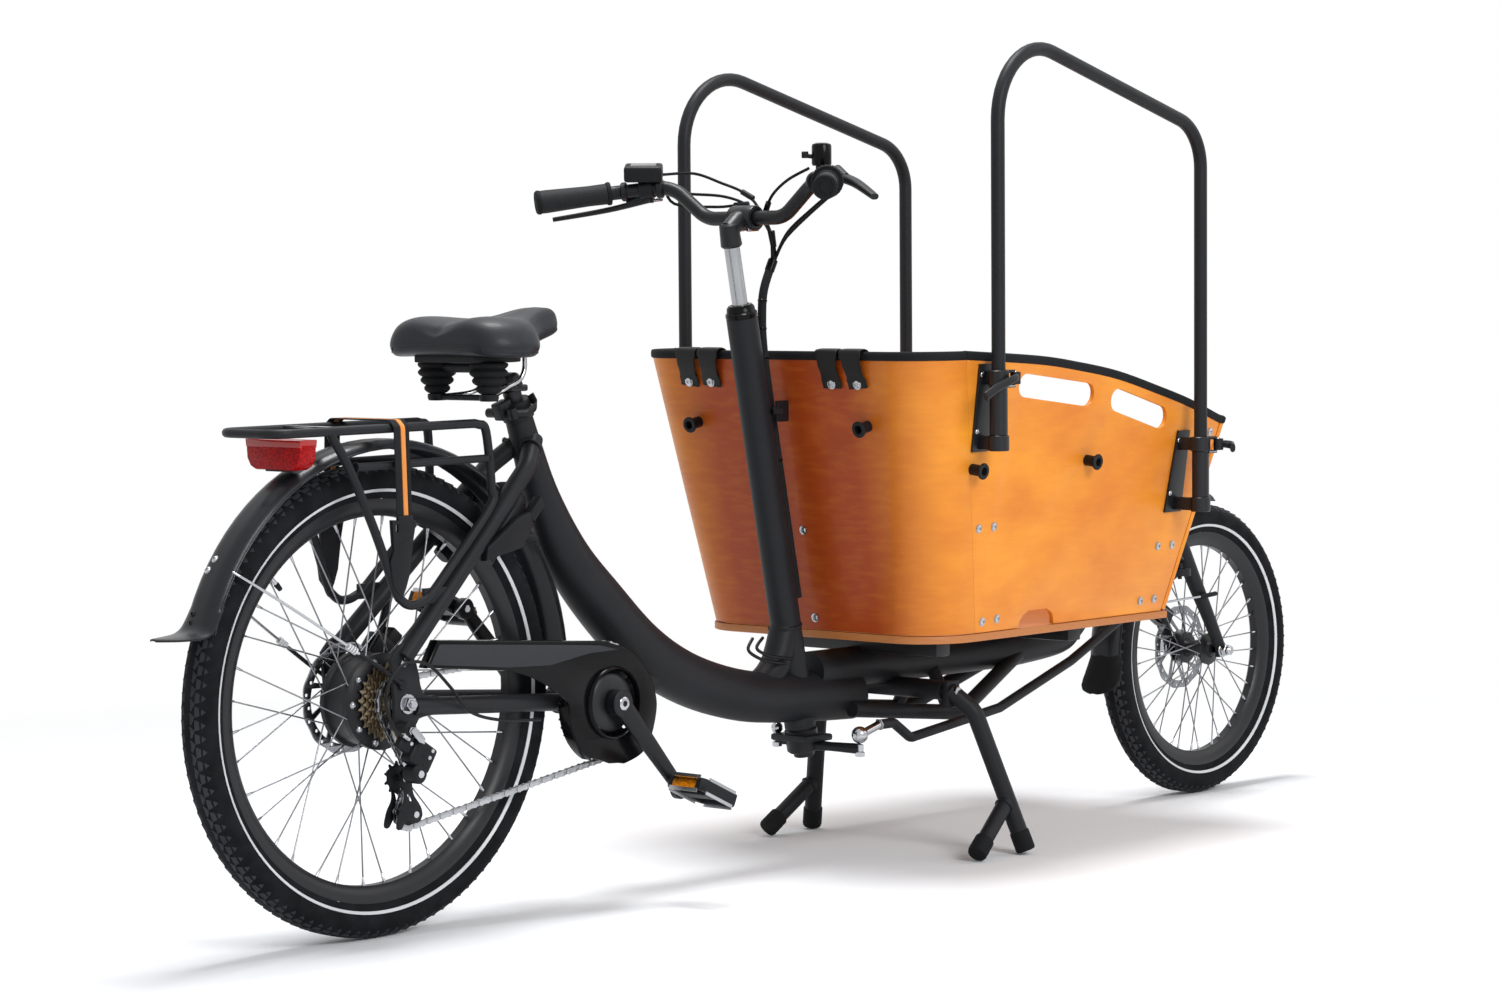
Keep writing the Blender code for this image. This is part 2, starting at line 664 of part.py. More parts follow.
def rear_rack():
    """Two bent side loops under one top loop, with cross bars and strap hooks."""
    corners = [rack_side(-1, 0.150, RACK_TOP), rack_side(-1, -0.222, RACK_TOP - 0.003),
               rack_side(1, -0.222, RACK_TOP - 0.003), rack_side(1, 0.150, RACK_TOP)]
    rack = tube("rear_rack", rounded(corners, 0.030, 2), RACK_TUBE, None, None, 1)
    tools = []
    for side, hand in ((-1, "right"), (1, "left")):
        loop = rounded([rack_side(side, 0.130, RACK_TOP),
                        rack_side(side, 0.180, RACK_TOP - 0.002),
                        rack_side(side, 0.176, 0.640), rack_side(side, 0.164, 0.600),
                        rack_side(side, 0.004, 0.440),
                        rack_side(side, -0.104, RACK_TOP)], 0.020, 1)
        tools.append(tube("rack_loop_" + hand, loop, RACK_TUBE, fineness=1))
        tools.append(rod("rack_rail_" + hand, rack_side(side, -0.080, 0.667),
                         rack_side(side, 0.176, 0.670), RACK_TUBE - 0.0008, sides=6))
        hook = [(-0.016, 0.592), (-0.014, 0.545), (-0.026, 0.490), (0.004, 0.480),
                (0.010, 0.545), (0.012, 0.592)]
        tools.append(plate("strap_hook_" + hand, hook, 0.0080,
                           at(0, side * 0.0680, 0), Vector((1, 0, 0)),
                           Vector((0, 0, 1))))
        tools.append(block("rack_foot_" + hand, at(0.060, side * 0.0680, 0.4820),
                           (0.044, 0.006, 0.022)))
    tools.append(block("rack_cross_bar", at(-0.100, 0, RACK_TOP),
                       (0.016, 2 * RACK_HALF, 0.006)))
    fuse(rack, *tools)
    clear_of_seat_stays(rack)
    add_finish(rack, "black_frame")


def rack_strap():
    """The elastic luggage strap, over the top of the rack and down to both hooks."""
    thick = 0.0024
    low, high = 0.5935, RACK_TOP + 0.0110
    top_reach = RACK_HALF + RACK_TUBE + 0.0030 + thick
    low_reach = top_reach + (high - low) * RACK_SPLAY
    outer = [(-low_reach, low), (-top_reach, high - 0.010), (-top_reach + 0.010, high),
             (top_reach - 0.010, high), (top_reach, high - 0.010), (low_reach, low)]
    inner = [(-low_reach + thick, low), (-top_reach + thick, high - 0.011),
             (-top_reach + 0.011, high - thick), (top_reach - 0.011, high - thick),
             (top_reach - thick, high - 0.011), (low_reach - thick, low)]
    plate("rack_strap", outer + list(reversed(inner)), 0.030, at(-0.002, 0, 0),
          Vector((0, 1, 0)), Vector((0, 0, 1)), "black_rubber")


def tail_light():
    """The rear lamp hangs under the back of the rack; its lens is wider at the top."""
    outline = [(-0.058, 0.7080), (-0.052, 0.6750), (-0.044, 0.6680), (0.044, 0.6680),
               (0.052, 0.6750), (0.058, 0.7080)]
    light = plate("tail_light", outline, 0.032, at(-0.160, 0, 0), Vector((0, 1, 0)),
                  Vector((0, 0, 1)))
    bevel = light.modifiers.new("rounded edges", "BEVEL")
    bevel.width = 0.004
    add_finish(light, "red_lens")


def seat_parts():
    """Seat post, saddle base with its rails, saddle pad and the two rubber bellows."""
    post = rod("seatpost", seat_point(0.500), seat_point(0.764), POST_RADIUS, sides=14)
    head = rod("seatpost_head", at(0.2760, -0.020, 0.7720), at(0.2760, 0.020, 0.7720),
               0.0150)
    fuse(post, head)
    add_finish(post, "black_alloy")

    edge = [(x - MIDDLE_X, 0.78 * half) for x, half, _, _, _ in SADDLE[1:8]]
    base = plate("saddle_base", edge + [(x, -y) for x, y in reversed(edge)], 0.0030,
                 Vector((0, 0, SADDLE_BASE_Z)), Vector((1, 0, 0)),
                 Vector((0, 1, 0)))
    rails = []
    for side, hand in ((-1, "right"), (1, "left")):
        rail = rounded([at(BELLOWS_X, side * BELLOWS_Y, 0.7535),
                        at(0.2200, side * 0.0300, 0.7570),
                        at(0.2500, side * 0.0275, 0.7740),
                        at(0.2950, side * 0.0250, 0.7860),
                        at(0.3200, side * 0.0120, 0.8050)], 0.012, 1)
        rails.append(tube("saddle_rail_" + hand, rail, 0.0040, fineness=0))
        rails.append(rod("bellows_cup_" + hand, at(BELLOWS_X, side * BELLOWS_Y, 0.7500),
                         at(BELLOWS_X, side * BELLOWS_Y, 0.7594), 0.0140,
                         sides=10))
    rails.append(rod("bellows_link", at(BELLOWS_X, -BELLOWS_Y, 0.7550),
                     at(BELLOWS_X, BELLOWS_Y, 0.7550), 0.0040, sides=8))
    fuse(base, *rails)
    add_finish(base, "black_plastic")

    pad = loft("saddle_pad", saddle_rings())
    soften = pad.modifiers.new("soft form", "SUBSURF")
    soften.levels = 1
    soften.render_levels = 1
    add_finish(pad, "saddle")

    for side, hand in ((-1, "right"), (1, "left")):
        ribs = ((0.0250, 0.8035), (0.0280, 0.7935), (0.0272, 0.7830), (0.0235, 0.7730),
                (0.0180, 0.7650))
        profile = [(0.0, 0.8057), (0.0200, 0.8057)]
        for crest, height in ribs:
            profile += [(crest, height), (crest - 0.0050, height - 0.0048)]
        profile += [(0.0130, 0.7598), (0.0, 0.7598)]
        turned("saddle_bellows_" + hand, profile, at(BELLOWS_X, side * BELLOWS_Y, 0),
               Vector((0, 0, 1)), "black_rubber", 10)


SADDLE = (
    (0.126, 0.066, 0.862, 0.858, 0.822),
    (0.140, 0.106, 0.873, 0.865, 0.814),
    (0.165, 0.129, 0.877, 0.866, 0.811),
    (0.205, 0.132, 0.877, 0.866, 0.811),
    (0.245, 0.111, 0.877, 0.869, 0.809),
    (0.280, 0.071, 0.879, 0.874, 0.802),
    (0.312, 0.040, 0.883, 0.881, 0.798),
    (0.342, 0.030, 0.884, 0.884, 0.806),
    (0.363, 0.025, 0.879, 0.879, 0.820),
    (0.375, 0.014, 0.866, 0.866, 0.838),
)


def saddle_rings():
    """Cross sections of the pad: two rear lobes with a dip between, skirts, raised nose.

    Each station is x, half width, crown height, height in the middle, skirt height.
    """
    rings = []
    for x, half, crown, middle, skirt in SADDLE:
        shoulder = crown - 0.16 * (crown - skirt)
        flank = crown - 0.60 * (crown - skirt)
        under = max(PAD_UNDERSIDE, skirt + 0.003)
        right = [(half, flank), (0.94 * half, skirt), (0.84 * half, under)]
        top = [(0.86 * half, shoulder), (0.50 * half, crown)]
        ring = ([at(x, -y, z) for y, z in reversed(right)]
                + [at(x, -y, z) for y, z in top] + [at(x, 0, middle)]
                + [at(x, y, z) for y, z in reversed(top)]
                + [at(x, y, z) for y, z in right])
        rings.append(ring)
    return rings


def loft(name, rings):
    """Join rings of equal count into a closed skin with flat ends."""
    bm = bmesh.new()
    rows = [[bm.verts.new(point) for point in ring] for ring in rings]
    count = len(rows[0])
    for before, after in zip(rows, rows[1:]):
        for index in range(count):
            following = (index + 1) % count
            bm.faces.new((before[index], before[following], after[following], after[index]))
    bm.faces.new(list(reversed(rows[0])))
    bm.faces.new(rows[-1])
    bmesh.ops.recalc_face_normals(bm, faces=bm.faces)
    return from_bmesh(name, bm)


def seat_clamp_lever():
    """The quick-release lever that wraps round the right side of the seat clamp."""
    pivot = seat_point(0.730, -0.030, -0.0215)
    path = rounded([pivot, seat_point(0.731, -0.006, -0.0340),
                    seat_point(0.738, 0.022, -0.0290), seat_point(0.748, 0.033, -0.0060)],
                   0.010, 2)
    lever = tube("seat_clamp_lever", path, 0.0045, None, None, 1)
    fuse(lever, rod("seat_lever_barrel", seat_point(0.722, -0.030, -0.0215),
                    seat_point(0.738, -0.030, -0.0215), 0.0070, sides=10))
    add_finish(lever, "black_alloy")
    set_origin(lever, pivot)


def ring_lock():
    """A horseshoe frame lock round the tyre and mudguard, in front of the seat stays."""
    axle = at(0, 0, REAR_RADIUS)
    angle = math.radians(46.5)
    outward = Vector((math.cos(angle), 0, math.sin(angle)))
    path = []
    for u, v in [(-0.046, 0.262)] + arc((0, 0.345), 0.046, 180, 0, 8) + [(0.046, 0.262)]:
        path.append(axle + outward * v + Vector((0, u, 0)))
    lock = tube("ring_lock", path, 0.0088, None, None, 2)
    for side, hand in ((-1, "right"), (1, "left")):
        fuse(lock, rod("lock_bracket_" + hand,
                       axle + outward * 0.290 + Vector((0, side * 0.046, 0)),
                       at(0.1600, side * 0.0535, 0.5500), 0.0070, sides=8))
    clear_of_seat_stays(lock)
    add_finish(lock, "black_plastic")


def pitch_radius(teeth):
    return teeth * CHAIN_PITCH / math.tau


def chainring():
    """Chainring with its carrier and the spindle that holds both crank arms."""
    outer = pitch_radius(CHAINRING_TEETH) - 0.0055
    ring = rod("chainring", at(BB_X, CHAIN_Y + 0.0016, BB_Z),
               at(BB_X, CHAIN_Y - 0.0016, BB_Z), outer, 28)
    fuse(ring,
         rod("spider", at(BB_X, CHAIN_Y - 0.001, BB_Z), at(BB_X, -0.0860, BB_Z), 0.0440,
             sides=16, end_radius=0.0410),
         rod("spindle", at(BB_X, -0.0925, BB_Z), at(BB_X, 0.0925, BB_Z), 0.0095, sides=12))
    add_finish(ring, "black_alloy")
    set_origin(ring, at(BB_X, 0, BB_Z))


def crank(side, hand):
    """A tapered arm that leans outwards, with its boss, its pedal pin and its pedal."""
    swing = CRANK_ANGLE if side < 0 else CRANK_ANGLE + math.pi
    along = Vector((math.cos(swing), side * 0.0125 / CRANK_LENGTH, math.sin(swing)))
    across = Vector((-math.sin(swing), 0, math.cos(swing)))
    outline = (arc((0, 0), 0.0190, 110, 250, 4)
               + arc((CRANK_LENGTH, 0), 0.0135, -80, 80, 4))
    root = at(BB_X, side * 0.1000, BB_Z)
    tip = root + along * CRANK_LENGTH
    arm = plate("crank_arm_" + hand, outline, 0.0130, root, along, across)
    fuse(arm,
         rod("crank_boss_" + hand, at(BB_X, side * 0.0865, BB_Z),
             at(BB_X, side * 0.1075, BB_Z), 0.0200, sides=12),
         rod("pedal_pin_" + hand, tip, tip + Vector((0, side * 0.0820, 0)), 0.0045,
             sides=8))
    carve(arm, rod("spindle_socket_" + hand, at(BB_X, side * 0.0500, BB_Z),
                   at(BB_X, side * 0.0930, BB_Z), 0.0100, sides=12))
    add_finish(arm, "black_alloy")
    set_origin(arm, at(BB_X, 0, BB_Z))
    pedal(hand, side, tip)


def drivetrain():
    """Chainring, cranks, pedals, chain, chain guard and rear gear changer."""
    chainring()
    crank(-1, "right")
    crank(1, "left")
    guard()
    chain()
    gear_changer()


PEDAL_TILT = 25


def pedal(hand, side, tip):
    """A cage pedal, tilted: a barrel on the pin inside a frame with two windows."""
    centre = tip + Vector((0, side * 0.0465, 0))
    tilt = Matrix.Rotation(math.radians(PEDAL_TILT), 3, "Y")
    body = block("pedal_" + hand, centre, (0.084, 0.076, 0.024), turn=tilt, bevel=0.005)
    windows = []
    for x in (-0.0245, 0.0245):
        windows.append(block("pedal_window", centre + tilt @ Vector((x, 0, 0)),
                             (0.025, 0.056, 0.05), turn=tilt))
    windows.append(rod("pedal_bore_" + hand, centre - Vector((0, 0.08, 0)),
                       centre + Vector((0, 0.08, 0)), 0.0054, sides=10))
    carve(body, *windows)
    add_finish(body, "black_plastic")
    set_origin(body, tip)


GUARD_OUTER = ((0.028, 0.383), (0.050, 0.419), (0.361, 0.3945), (0.393, 0.3900),
               (0.441, 0.3740), (0.473, 0.3430), (0.490, 0.3060), (0.490, 0.2775),
               (0.476, 0.2390), (0.455, 0.2210), (0.4225, 0.2116))
GUARD_INNER = ((0.3905, 0.2136), (0.367, 0.2215), (0.347, 0.2330), (0.3315, 0.2500),
               (0.318, 0.2710), (0.310, 0.2940), (0.297, 0.3160), (0.278, 0.3295),
               (0.236, 0.3520), (0.183, 0.3675))


def guard():
    """A flat cover beside the chain, with a lip over the top and round the front."""
    hole = arc((BB_X, BB_Z), 0.0490, 0, 345, 19)
    cover = plate("chain_guard", list(GUARD_OUTER + GUARD_INNER), 0.0030,
                  at(0, -0.0835, 0), Vector((1, 0, 0)), Vector((0, 0, 1)), None, [hole])
    fuse(cover, plate_strip("guard_lip", GUARD_OUTER, 0.0028, 0.0190, -0.0750))
    add_finish(cover, "black_plastic")


def plate_strip(name, line, thickness, width, y):
    """A band standing on a line of (x, z) points, as wide as given along y."""
    inner = []
    count = len(line)
    for index, (x, z) in enumerate(line):
        ahead = line[min(index + 1, count - 1)]
        behind = line[max(index - 1, 0)]
        run = Vector((ahead[0] - behind[0], ahead[1] - behind[1])).normalized()
        inner.append((x + run.y * thickness, z - run.x * thickness))
    return plate(name, list(line) + list(reversed(inner)), width, at(0, y, 0),
                 Vector((1, 0, 0)), Vector((0, 0, 1)))


def belt(wheels, step_degrees):
    """A closed line of (x, z) points round wheels given as (centre, radius, sense).

    The sense is 1 where the line runs anticlockwise round a wheel and -1 otherwise.
    """
    headings = []
    for (here, radius, sense), (there, next_radius, next_sense) in zip(
            wheels, wheels[1:] + wheels[:1]):
        dx, dz = there[0] - here[0], there[1] - here[1]
        offset = next_sense * next_radius - sense * radius
        headings.append(math.atan2(dz, dx) - math.asin(offset / math.hypot(dx, dz)))
    line = []
    for index, (centre, radius, sense) in enumerate(wheels):
        start = math.degrees(headings[index - 1]) - 90 * sense
        sweep = (math.degrees(headings[index] - headings[index - 1]) * sense) % 360
        steps = max(2, round(sweep / step_degrees))
        line += arc(centre, radius, start, start + sweep * sense, steps)
    return line


def chain():
    """The chain as one band: chainring, top run, sprocket, both pulleys, lower run."""
    wheels = [((BB_X, BB_Z), pitch_radius(CHAINRING_TEETH), 1),
              ((0.0, REAR_RADIUS), pitch_radius(SPROCKET_TEETH), 1),
              (GUIDE_PULLEY, pitch_radius(PULLEY_TEETH), -1),
              (TENSION_PULLEY, pitch_radius(PULLEY_TEETH), 1)]
    path = [at(x, chain_y(x), z) for x, z in belt(wheels, 18)]
    tube("chain", path, 0.0040, "chain_steel", None, 0, True)


def chain_y(x):
    """The chain runs slightly inwards from the chainring to the middle sprocket."""
    return CHAIN_Y + 0.0085 * min(max((0.30 - x) / 0.26, 0), 1)


def gear_changer():
    """Derailleur body on its hanger, with the gear cable, and the sprung pulley cage."""
    body = block("derailleur_body", at(0.002, -0.0910, 0.2720), (0.072, 0.026, 0.038),
                 turn=Matrix.Rotation(math.radians(33), 3, "Y"), bevel=0.006)
    cable = [at(-0.012, -0.0930, 0.2860), at(-0.044, -0.0950, 0.3050),
             at(-0.060, -0.0960, 0.3450), at(-0.048, -0.0960, 0.3780),
             at(-0.018, -0.0960, 0.3950), at(0.024, -0.0930, 0.3880),
             at(0.070, -0.0890, 0.3520), at(0.110, -0.0850, 0.3150),
             at(0.180, -0.0760, 0.2960), at(0.270, -0.0640, 0.2880)]
    fuse(body,
         rod("derailleur_hanger", at(-0.015, -0.0752, 0.3000), at(-0.015, -0.0985, 0.3000),
             0.0115, sides=12),
         rod("derailleur_knuckle", at(0.002, -0.0720, 0.2380), at(0.002, -0.0980, 0.2380),
             0.0120, sides=12),
         tube("shift_cable", cable, 0.0024, fineness=0))
    add_finish(body, "black_plastic")
    pivot = at(GUIDE_PULLEY[0], chain_y(0), GUIDE_PULLEY[1])
    outline = [(-0.0130, 0.0080), (-0.0040, 0.0150), (0.0100, 0.0110), (0.0140, 0.0),
               (0.0300, -0.0430), (0.0320, -0.0570), (0.0220, -0.0700),
               (-0.0050, -0.0740), (-0.0180, -0.0660), (-0.0120, -0.0400)]
    cage = plate("derailleur_cage", outline, 0.0030, pivot + Vector((0, -0.0170, 0)),
                 Vector((1, 0, 0)), Vector((0, 0, 1)))
    low = Vector((TENSION_PULLEY[0] - GUIDE_PULLEY[0], 0,
                  TENSION_PULLEY[1] - GUIDE_PULLEY[1]))
    wheel_radius = pitch_radius(PULLEY_TEETH) - 0.0055
    for index, offset in enumerate((Vector((0, 0, 0)), low)):
        centre = pivot + offset
        fuse(cage,
             rod("pulley_axle_%d" % index, centre + Vector((0, -0.0175, 0)),
                 centre + Vector((0, 0.0040, 0)), 0.0045, sides=8),
             rod("pulley_wheel_%d" % index, centre + Vector((0, -0.0016, 0)),
                 centre + Vector((0, 0.0016, 0)), wheel_radius, sides=12))
    add_finish(cage, "black_plastic")
    set_origin(cage, pivot)


def fork():
    """Crown, steerer, two legs, front axle with nuts, brake caliper and steering lever."""
    crown = Vector((1.8130 - MIDDLE_X, 0, 0.5180))
    piece = rod("fork", crown - Vector((0, 0.064, 0)), crown + Vector((0, 0.064, 0)),
                0.0180)
    tools = [rod("steerer", head_point(-0.005), head_point(0.140), 0.0150, sides=12),
             rod("crown_race", head_point(-0.004), head_point(0.0232), 0.0215, sides=12,
                 end_radius=0.0200),
             rod("steerer_cap", head_point(0.1325), head_point(0.1440), 0.0200, sides=12)]
    for side, hand in ((-1, "right"), (1, "left")):
        leg = [at(1.8100, side * 0.0535, 0.5300), at(1.8285, side * 0.0535, 0.5000),
               at(1.8930, side * 0.0535, 0.3940), at(1.9315, side * 0.0535, 0.3350),
               at(WHEELBASE, side * 0.0550, 0.2580)]
        tools.append(tube("fork_leg_" + hand, leg, 0.0140, None, [0.9, 1, 0.92, 0.85, 0.62],
                          fineness=1))
        tools.append(rod("front_axle_nut_" + hand,
                         at(WHEELBASE, side * 0.058, FRONT_RADIUS),
                         at(WHEELBASE, side * 0.072, FRONT_RADIUS), 0.0100, sides=6))
    tools.append(rod("front_axle", at(WHEELBASE, -0.080, FRONT_RADIUS),
                     at(WHEELBASE, 0.080, FRONT_RADIUS), 0.0052))
    tools.append(block("front_caliper", at(1.9180, 0.0400, 0.3220), (0.046, 0.034, 0.030),
                       turn=Matrix.Rotation(math.radians(32), 3, "Y")))
    pin = at(*LINK_FRONT)
    tools.append(rod("link_arm", head_point(-0.030, -0.050), pin + Vector((0, 0, 0.0170)),
                     0.0085, sides=8))
    tools.append(rod("link_pin", pin + Vector((0, 0, 0.0160)),
                     pin - Vector((0, 0, 0.0120)), 0.0038, sides=8))
    fuse(piece, *tools)
    carve(piece, rod("front_rotor_slot", at(WHEELBASE, 0.0292, FRONT_RADIUS),
                     at(WHEELBASE, 0.0364, FRONT_RADIUS), 0.0800, sides=16))
    add_finish(piece, "black_frame")
    set_origin(piece, head_point(0))


def steering_shaft():
    """The shaft inside the column, with the lever below it that works the tie rod."""
    shaft = rod("steering_shaft", column_point(0.168), column_point(0.862), SHAFT_RADIUS)
    rear_ball = at(*LINK_REAR)
    spare_ball = at(0.900, 0.040, 0.201)
    fuse(shaft,
         rod("lever_hub", column_point(0.176), column_point(0.2135), 0.0260, sides=12),
         rod("lever_arm", column_point(0.186), rear_ball - Vector((0, 0, 0.0080)), 0.0075,
             sides=8),
         rod("rear_ball_stud", rear_ball - Vector((0, 0, 0.0200)),
             rear_ball - Vector((0, 0, 0.0010)), 0.0045, sides=8),
         rod("spare_arm", column_point(0.190), spare_ball - Vector((0, 0, 0.0080)), 0.0075,
             sides=8),
         rod("spare_ball_stud", spare_ball - Vector((0, 0, 0.0160)),
             spare_ball + Vector((0, 0, 0.0060)), 0.0050, sides=8))
    carve(shaft, rod("shaft_bore", column_point(0.560), column_point(0.900),
                     QUILL_RADIUS + 0.0010, sides=12))
    add_finish(shaft, "black_alloy")
    set_origin(shaft, column_point(COLUMN_TOP))


def tie_rod():
    """The bent rod from the column's lever to the fork; its front eye has a wide bore."""
    rear_ball = at(*LINK_REAR)
    front = at(*LINK_FRONT)
    path = rounded([rear_ball + Vector((0.002, 0, 0.0140)), at(0.985, -0.100, 0.2180),
                    at(1.020, -0.100, 0.2180), at(1.062, -0.100, 0.1900),
                    at(1.290, -0.100, 0.2180), at(1.480, -0.101, 0.2800),
                    front - Vector((0.0160, 0, 0.0020))], 0.018, 2)
    link = tube("tie_rod", path, 0.0080, None, None, 1)
    fuse(link,
         rod("link_eye", front - Vector((0, 0, 0.006)), front + Vector((0, 0, 0.006)),
             0.0190, sides=14),
         ball("link_socket", rear_ball + Vector((0, 0, 0.0140)), 0.0125))
    carve(link,
          rod("link_eye_bore", front - Vector((0, 0, 0.03)), front + Vector((0, 0, 0.03)),
              0.0130, sides=14),
          ball("link_socket_clearance", rear_ball, 0.0052))
    add_finish(link, "black_frame")
    set_origin(link, rear_ball)


def quill_stem():
    """The height-adjustable stem that slides in the steering shaft."""
    quill = rod("quill_stem", column_point(0.640), column_point(1.000), QUILL_RADIUS)
    clamp = at(*BAR_CLAMP)
    fuse(quill,
         rod("stem_head", column_point(0.972), column_point(1.008), 0.0165, sides=12),
         rod("stem_neck", column_point(0.998), clamp, 0.0145, sides=10),
         rod("stem_clamp", clamp - Vector((0, 0.0240, 0)), clamp + Vector((0, 0.0240, 0)),
             0.0195, sides=14))
    carve(quill, rod("bar_bore", clamp - Vector((0, 0.1, 0)), clamp + Vector((0, 0.1, 0)),
                     0.0125, sides=12))
    add_finish(quill, "bright_alloy")


def mirrored(point, side):
    return at(point[0], side * point[1], point[2])


def bar_line():
    """The handlebar's bent line, from the right grip's end to the left one."""
    half = [mirrored(GRIP_OUTER, 1).lerp(mirrored(GRIP_INNER, 1), 0.03),
            mirrored(GRIP_INNER, 1), mirrored(BAR_SHOULDER, 1), mirrored(BAR_KNEE, 1)]
    other = [Vector((point.x, -point.y, point.z)) for point in half]
    return rounded(other + list(reversed(half)), 0.034, 2)


def on_bar(side, y):
    """The point on the bar's raised part at the given distance from the middle."""
    shoulder, inner = mirrored(BAR_SHOULDER, side), mirrored(GRIP_INNER, side)
    return shoulder.lerp(inner, (y - BAR_SHOULDER[1]) / (GRIP_INNER[1] - BAR_SHOULDER[1]))


def handlebar():
    """The swept bar with the clamp and mount of both brake levers."""
    bar = tube("handlebar", bar_line(), BAR_RADIUS, None, None, 1)
    for side, hand in ((-1, "right"), (1, "left")):
        pivot = at(*LEVERS[hand][0])
        above = pivot + Vector((0, 0, 0.0052))
        fuse(bar,
             rod("lever_clamp_" + hand, on_bar(side, 0.1590), on_bar(side, 0.1680), 0.0165,
                 sides=8),
             rod("lever_mount_" + hand, on_bar(side, 0.1640), above + Vector((0, 0, 0.0030)),
                 0.0075, sides=8),
             rod("lever_ear_" + hand, above, above + Vector((0, 0, 0.0060)), 0.0085,
                 sides=8))
        carve(bar, rod("lever_room_" + hand, pivot - Vector((0, 0, 0.0140)), above, 0.0135,
                       sides=8))
    add_finish(bar, "black_alloy")


def grips():
    """Both rubber grips, with the twist shifter's ring inboard of the right one."""
    for side, hand in ((-1, "right"), (1, "left")):
        inner, outer = mirrored(GRIP_INNER, side), mirrored(GRIP_OUTER, side)
        along = (outer - inner).normalized()
        start = inner + along * (0.0420 if side < 0 else 0.0060)
        grip = rod("grip_" + hand, start, outer, 0.0165, 16, 0.0190)
        carve(grip, rod("grip_bore_" + hand, start - along * 0.02, outer - along * 0.002,
                        0.0121, sides=12))
        add_finish(grip, "black_rubber")
        if side < 0:
            centre = inner + along * 0.0220
            profile = [(0.0245, 0.0180), (0.0235, -0.0060), (0.0190, -0.0180),
                       (0.0119, -0.0180), (0.0119, 0.0180)]
            shifter = turned("twist_shifter", profile, centre, along, "black_rubber", 20,
                             True)
            set_origin(shifter, centre)


def display():
    """The assist display, clamped on the raised part of the bar at the left."""
    centre = at(0.7510, 0.1800, 1.0900)
    turn = (Matrix.Rotation(math.radians(40), 3, "Z")
            @ Matrix.Rotation(math.radians(-12), 3, "Y"))
    unit = block("display", centre, (0.036, 0.056, 0.022), None, turn, 0.004)
    fuse(unit, rod("display_foot", on_bar(1, 0.180), centre, 0.0140, sides=10))
    carve(unit, tube("display_bar_clearance", bar_line(), BAR_RADIUS + 0.0008, fineness=1),
          rod("display_clamp_clearance", on_bar(1, 0.1400), on_bar(1, 0.1690), 0.0185,
              sides=10))
    add_finish(unit, "black_plastic")


def bell():
    """A small bell on a foot above the right end of the bar's raised part."""
    foot = on_bar(-1, 0.190)
    dome = rod("bell", foot + Vector((0, 0, 0.0340)), foot + Vector((0, 0, 0.0550)), 0.0138,
               14, 0.0100)
    fuse(dome,
         rod("bell_neck", foot, foot + Vector((0, 0, 0.0360)), 0.0070, sides=10),
         rod("bell_striker", foot + Vector((0, 0, 0.0360)),
             foot + Vector((-0.018, 0.020, 0.0340)), 0.0030, sides=6))
    carve(dome, tube("bell_bar_clearance", bar_line(), BAR_RADIUS + 0.0008, fineness=1))
    add_finish(dome, "black_plastic")


def brake_lever(hand):
    """A curved lever from its pivot on the bar out past the grip."""
    pivot, middle, tip = (at(*point) for point in LEVERS[hand])
    lever = tube("brake_lever_" + hand, smooth([pivot, middle, tip], 2), 0.0058, None,
                 [0.75, 1.05, 1.0, 0.95, 0.7], 1)
    fuse(lever, rod("lever_eye_" + hand, pivot - Vector((0, 0, 0.0045)),
                    pivot + Vector((0, 0, 0.0045)), 0.0085, sides=10))
    add_finish(lever, "black_alloy")
    set_origin(lever, pivot)


def control_cables():
    """Brake, gear and display cables: loops from the bar, then one bundle on the column."""
    bundle = [at(*BUNDLE_TOP)] + [column_point(z, forward, -0.002) for z, forward in
                                  ((0.900, 0.064), (0.850, 0.050), (0.800, 0.0405),
                                   (0.740, 0.0358), (0.420, 0.0352))]
    piece = tube("control_cables", bundle, 0.0085, None, None, 1)
    for index, (name, points) in enumerate(CABLE_RUNS.items()):
        inside = Vector((-0.0010 * index, 0.0022 * (index - 2), -0.0040 - 0.0030 * index))
        path = [at(*point) for point in points] + [at(*BUNDLE_TOP) + inside]
        fuse(piece, tube(name, path, 0.0024, fineness=0))
    add_finish(piece, "black_rubber")
    set_origin(piece, column_point(COLUMN_TOP))


def stand():
    """A centre stand: cross shaft and two splayed legs, each with a branch, on four feet."""
    piece = rod("center_stand", at(STAND_X, -0.1420, STAND_Z), at(STAND_X, 0.1420, STAND_Z),
                0.0093, 10)
    for side, hand in ((-1, "right"), (1, "left")):
        hip = at(STAND_X, side * 0.1300, STAND_Z)
        knee = at(1.140, side * 0.158, 0.232)
        front_foot = at(1.198, side * 0.229, 0.0)
        rear_foot = at(1.060, side * 0.225, 0.0)
        branch = knee.lerp(front_foot, 0.62)
        fuse(piece,
             block("stand_link_" + hand, at(STAND_X + 0.004, side * 0.1295,
                                            STAND_Z - 0.006), (0.032, 0.010, 0.044)),
             tube("stand_leg_" + hand, rounded([hip, knee, front_foot], 0.035, 2), 0.0138,
                  fineness=1),
             tube("stand_branch_" + hand, [branch, rear_foot], 0.0130, fineness=1))
        for start, foot in ((knee, front_foot), (branch, rear_foot)):
            along = (foot - start).normalized()
            fuse(piece, rod("stand_foot", foot - along * 0.034, foot + along * 0.012,
                            0.0160, sides=8))
    carve(piece, block("floor_cut", at(STAND_X, 0, -0.05), (0.4, 0.8, 0.1)))
    add_finish(piece, "black_frame")
    set_origin(piece, at(STAND_X, 0, STAND_Z))


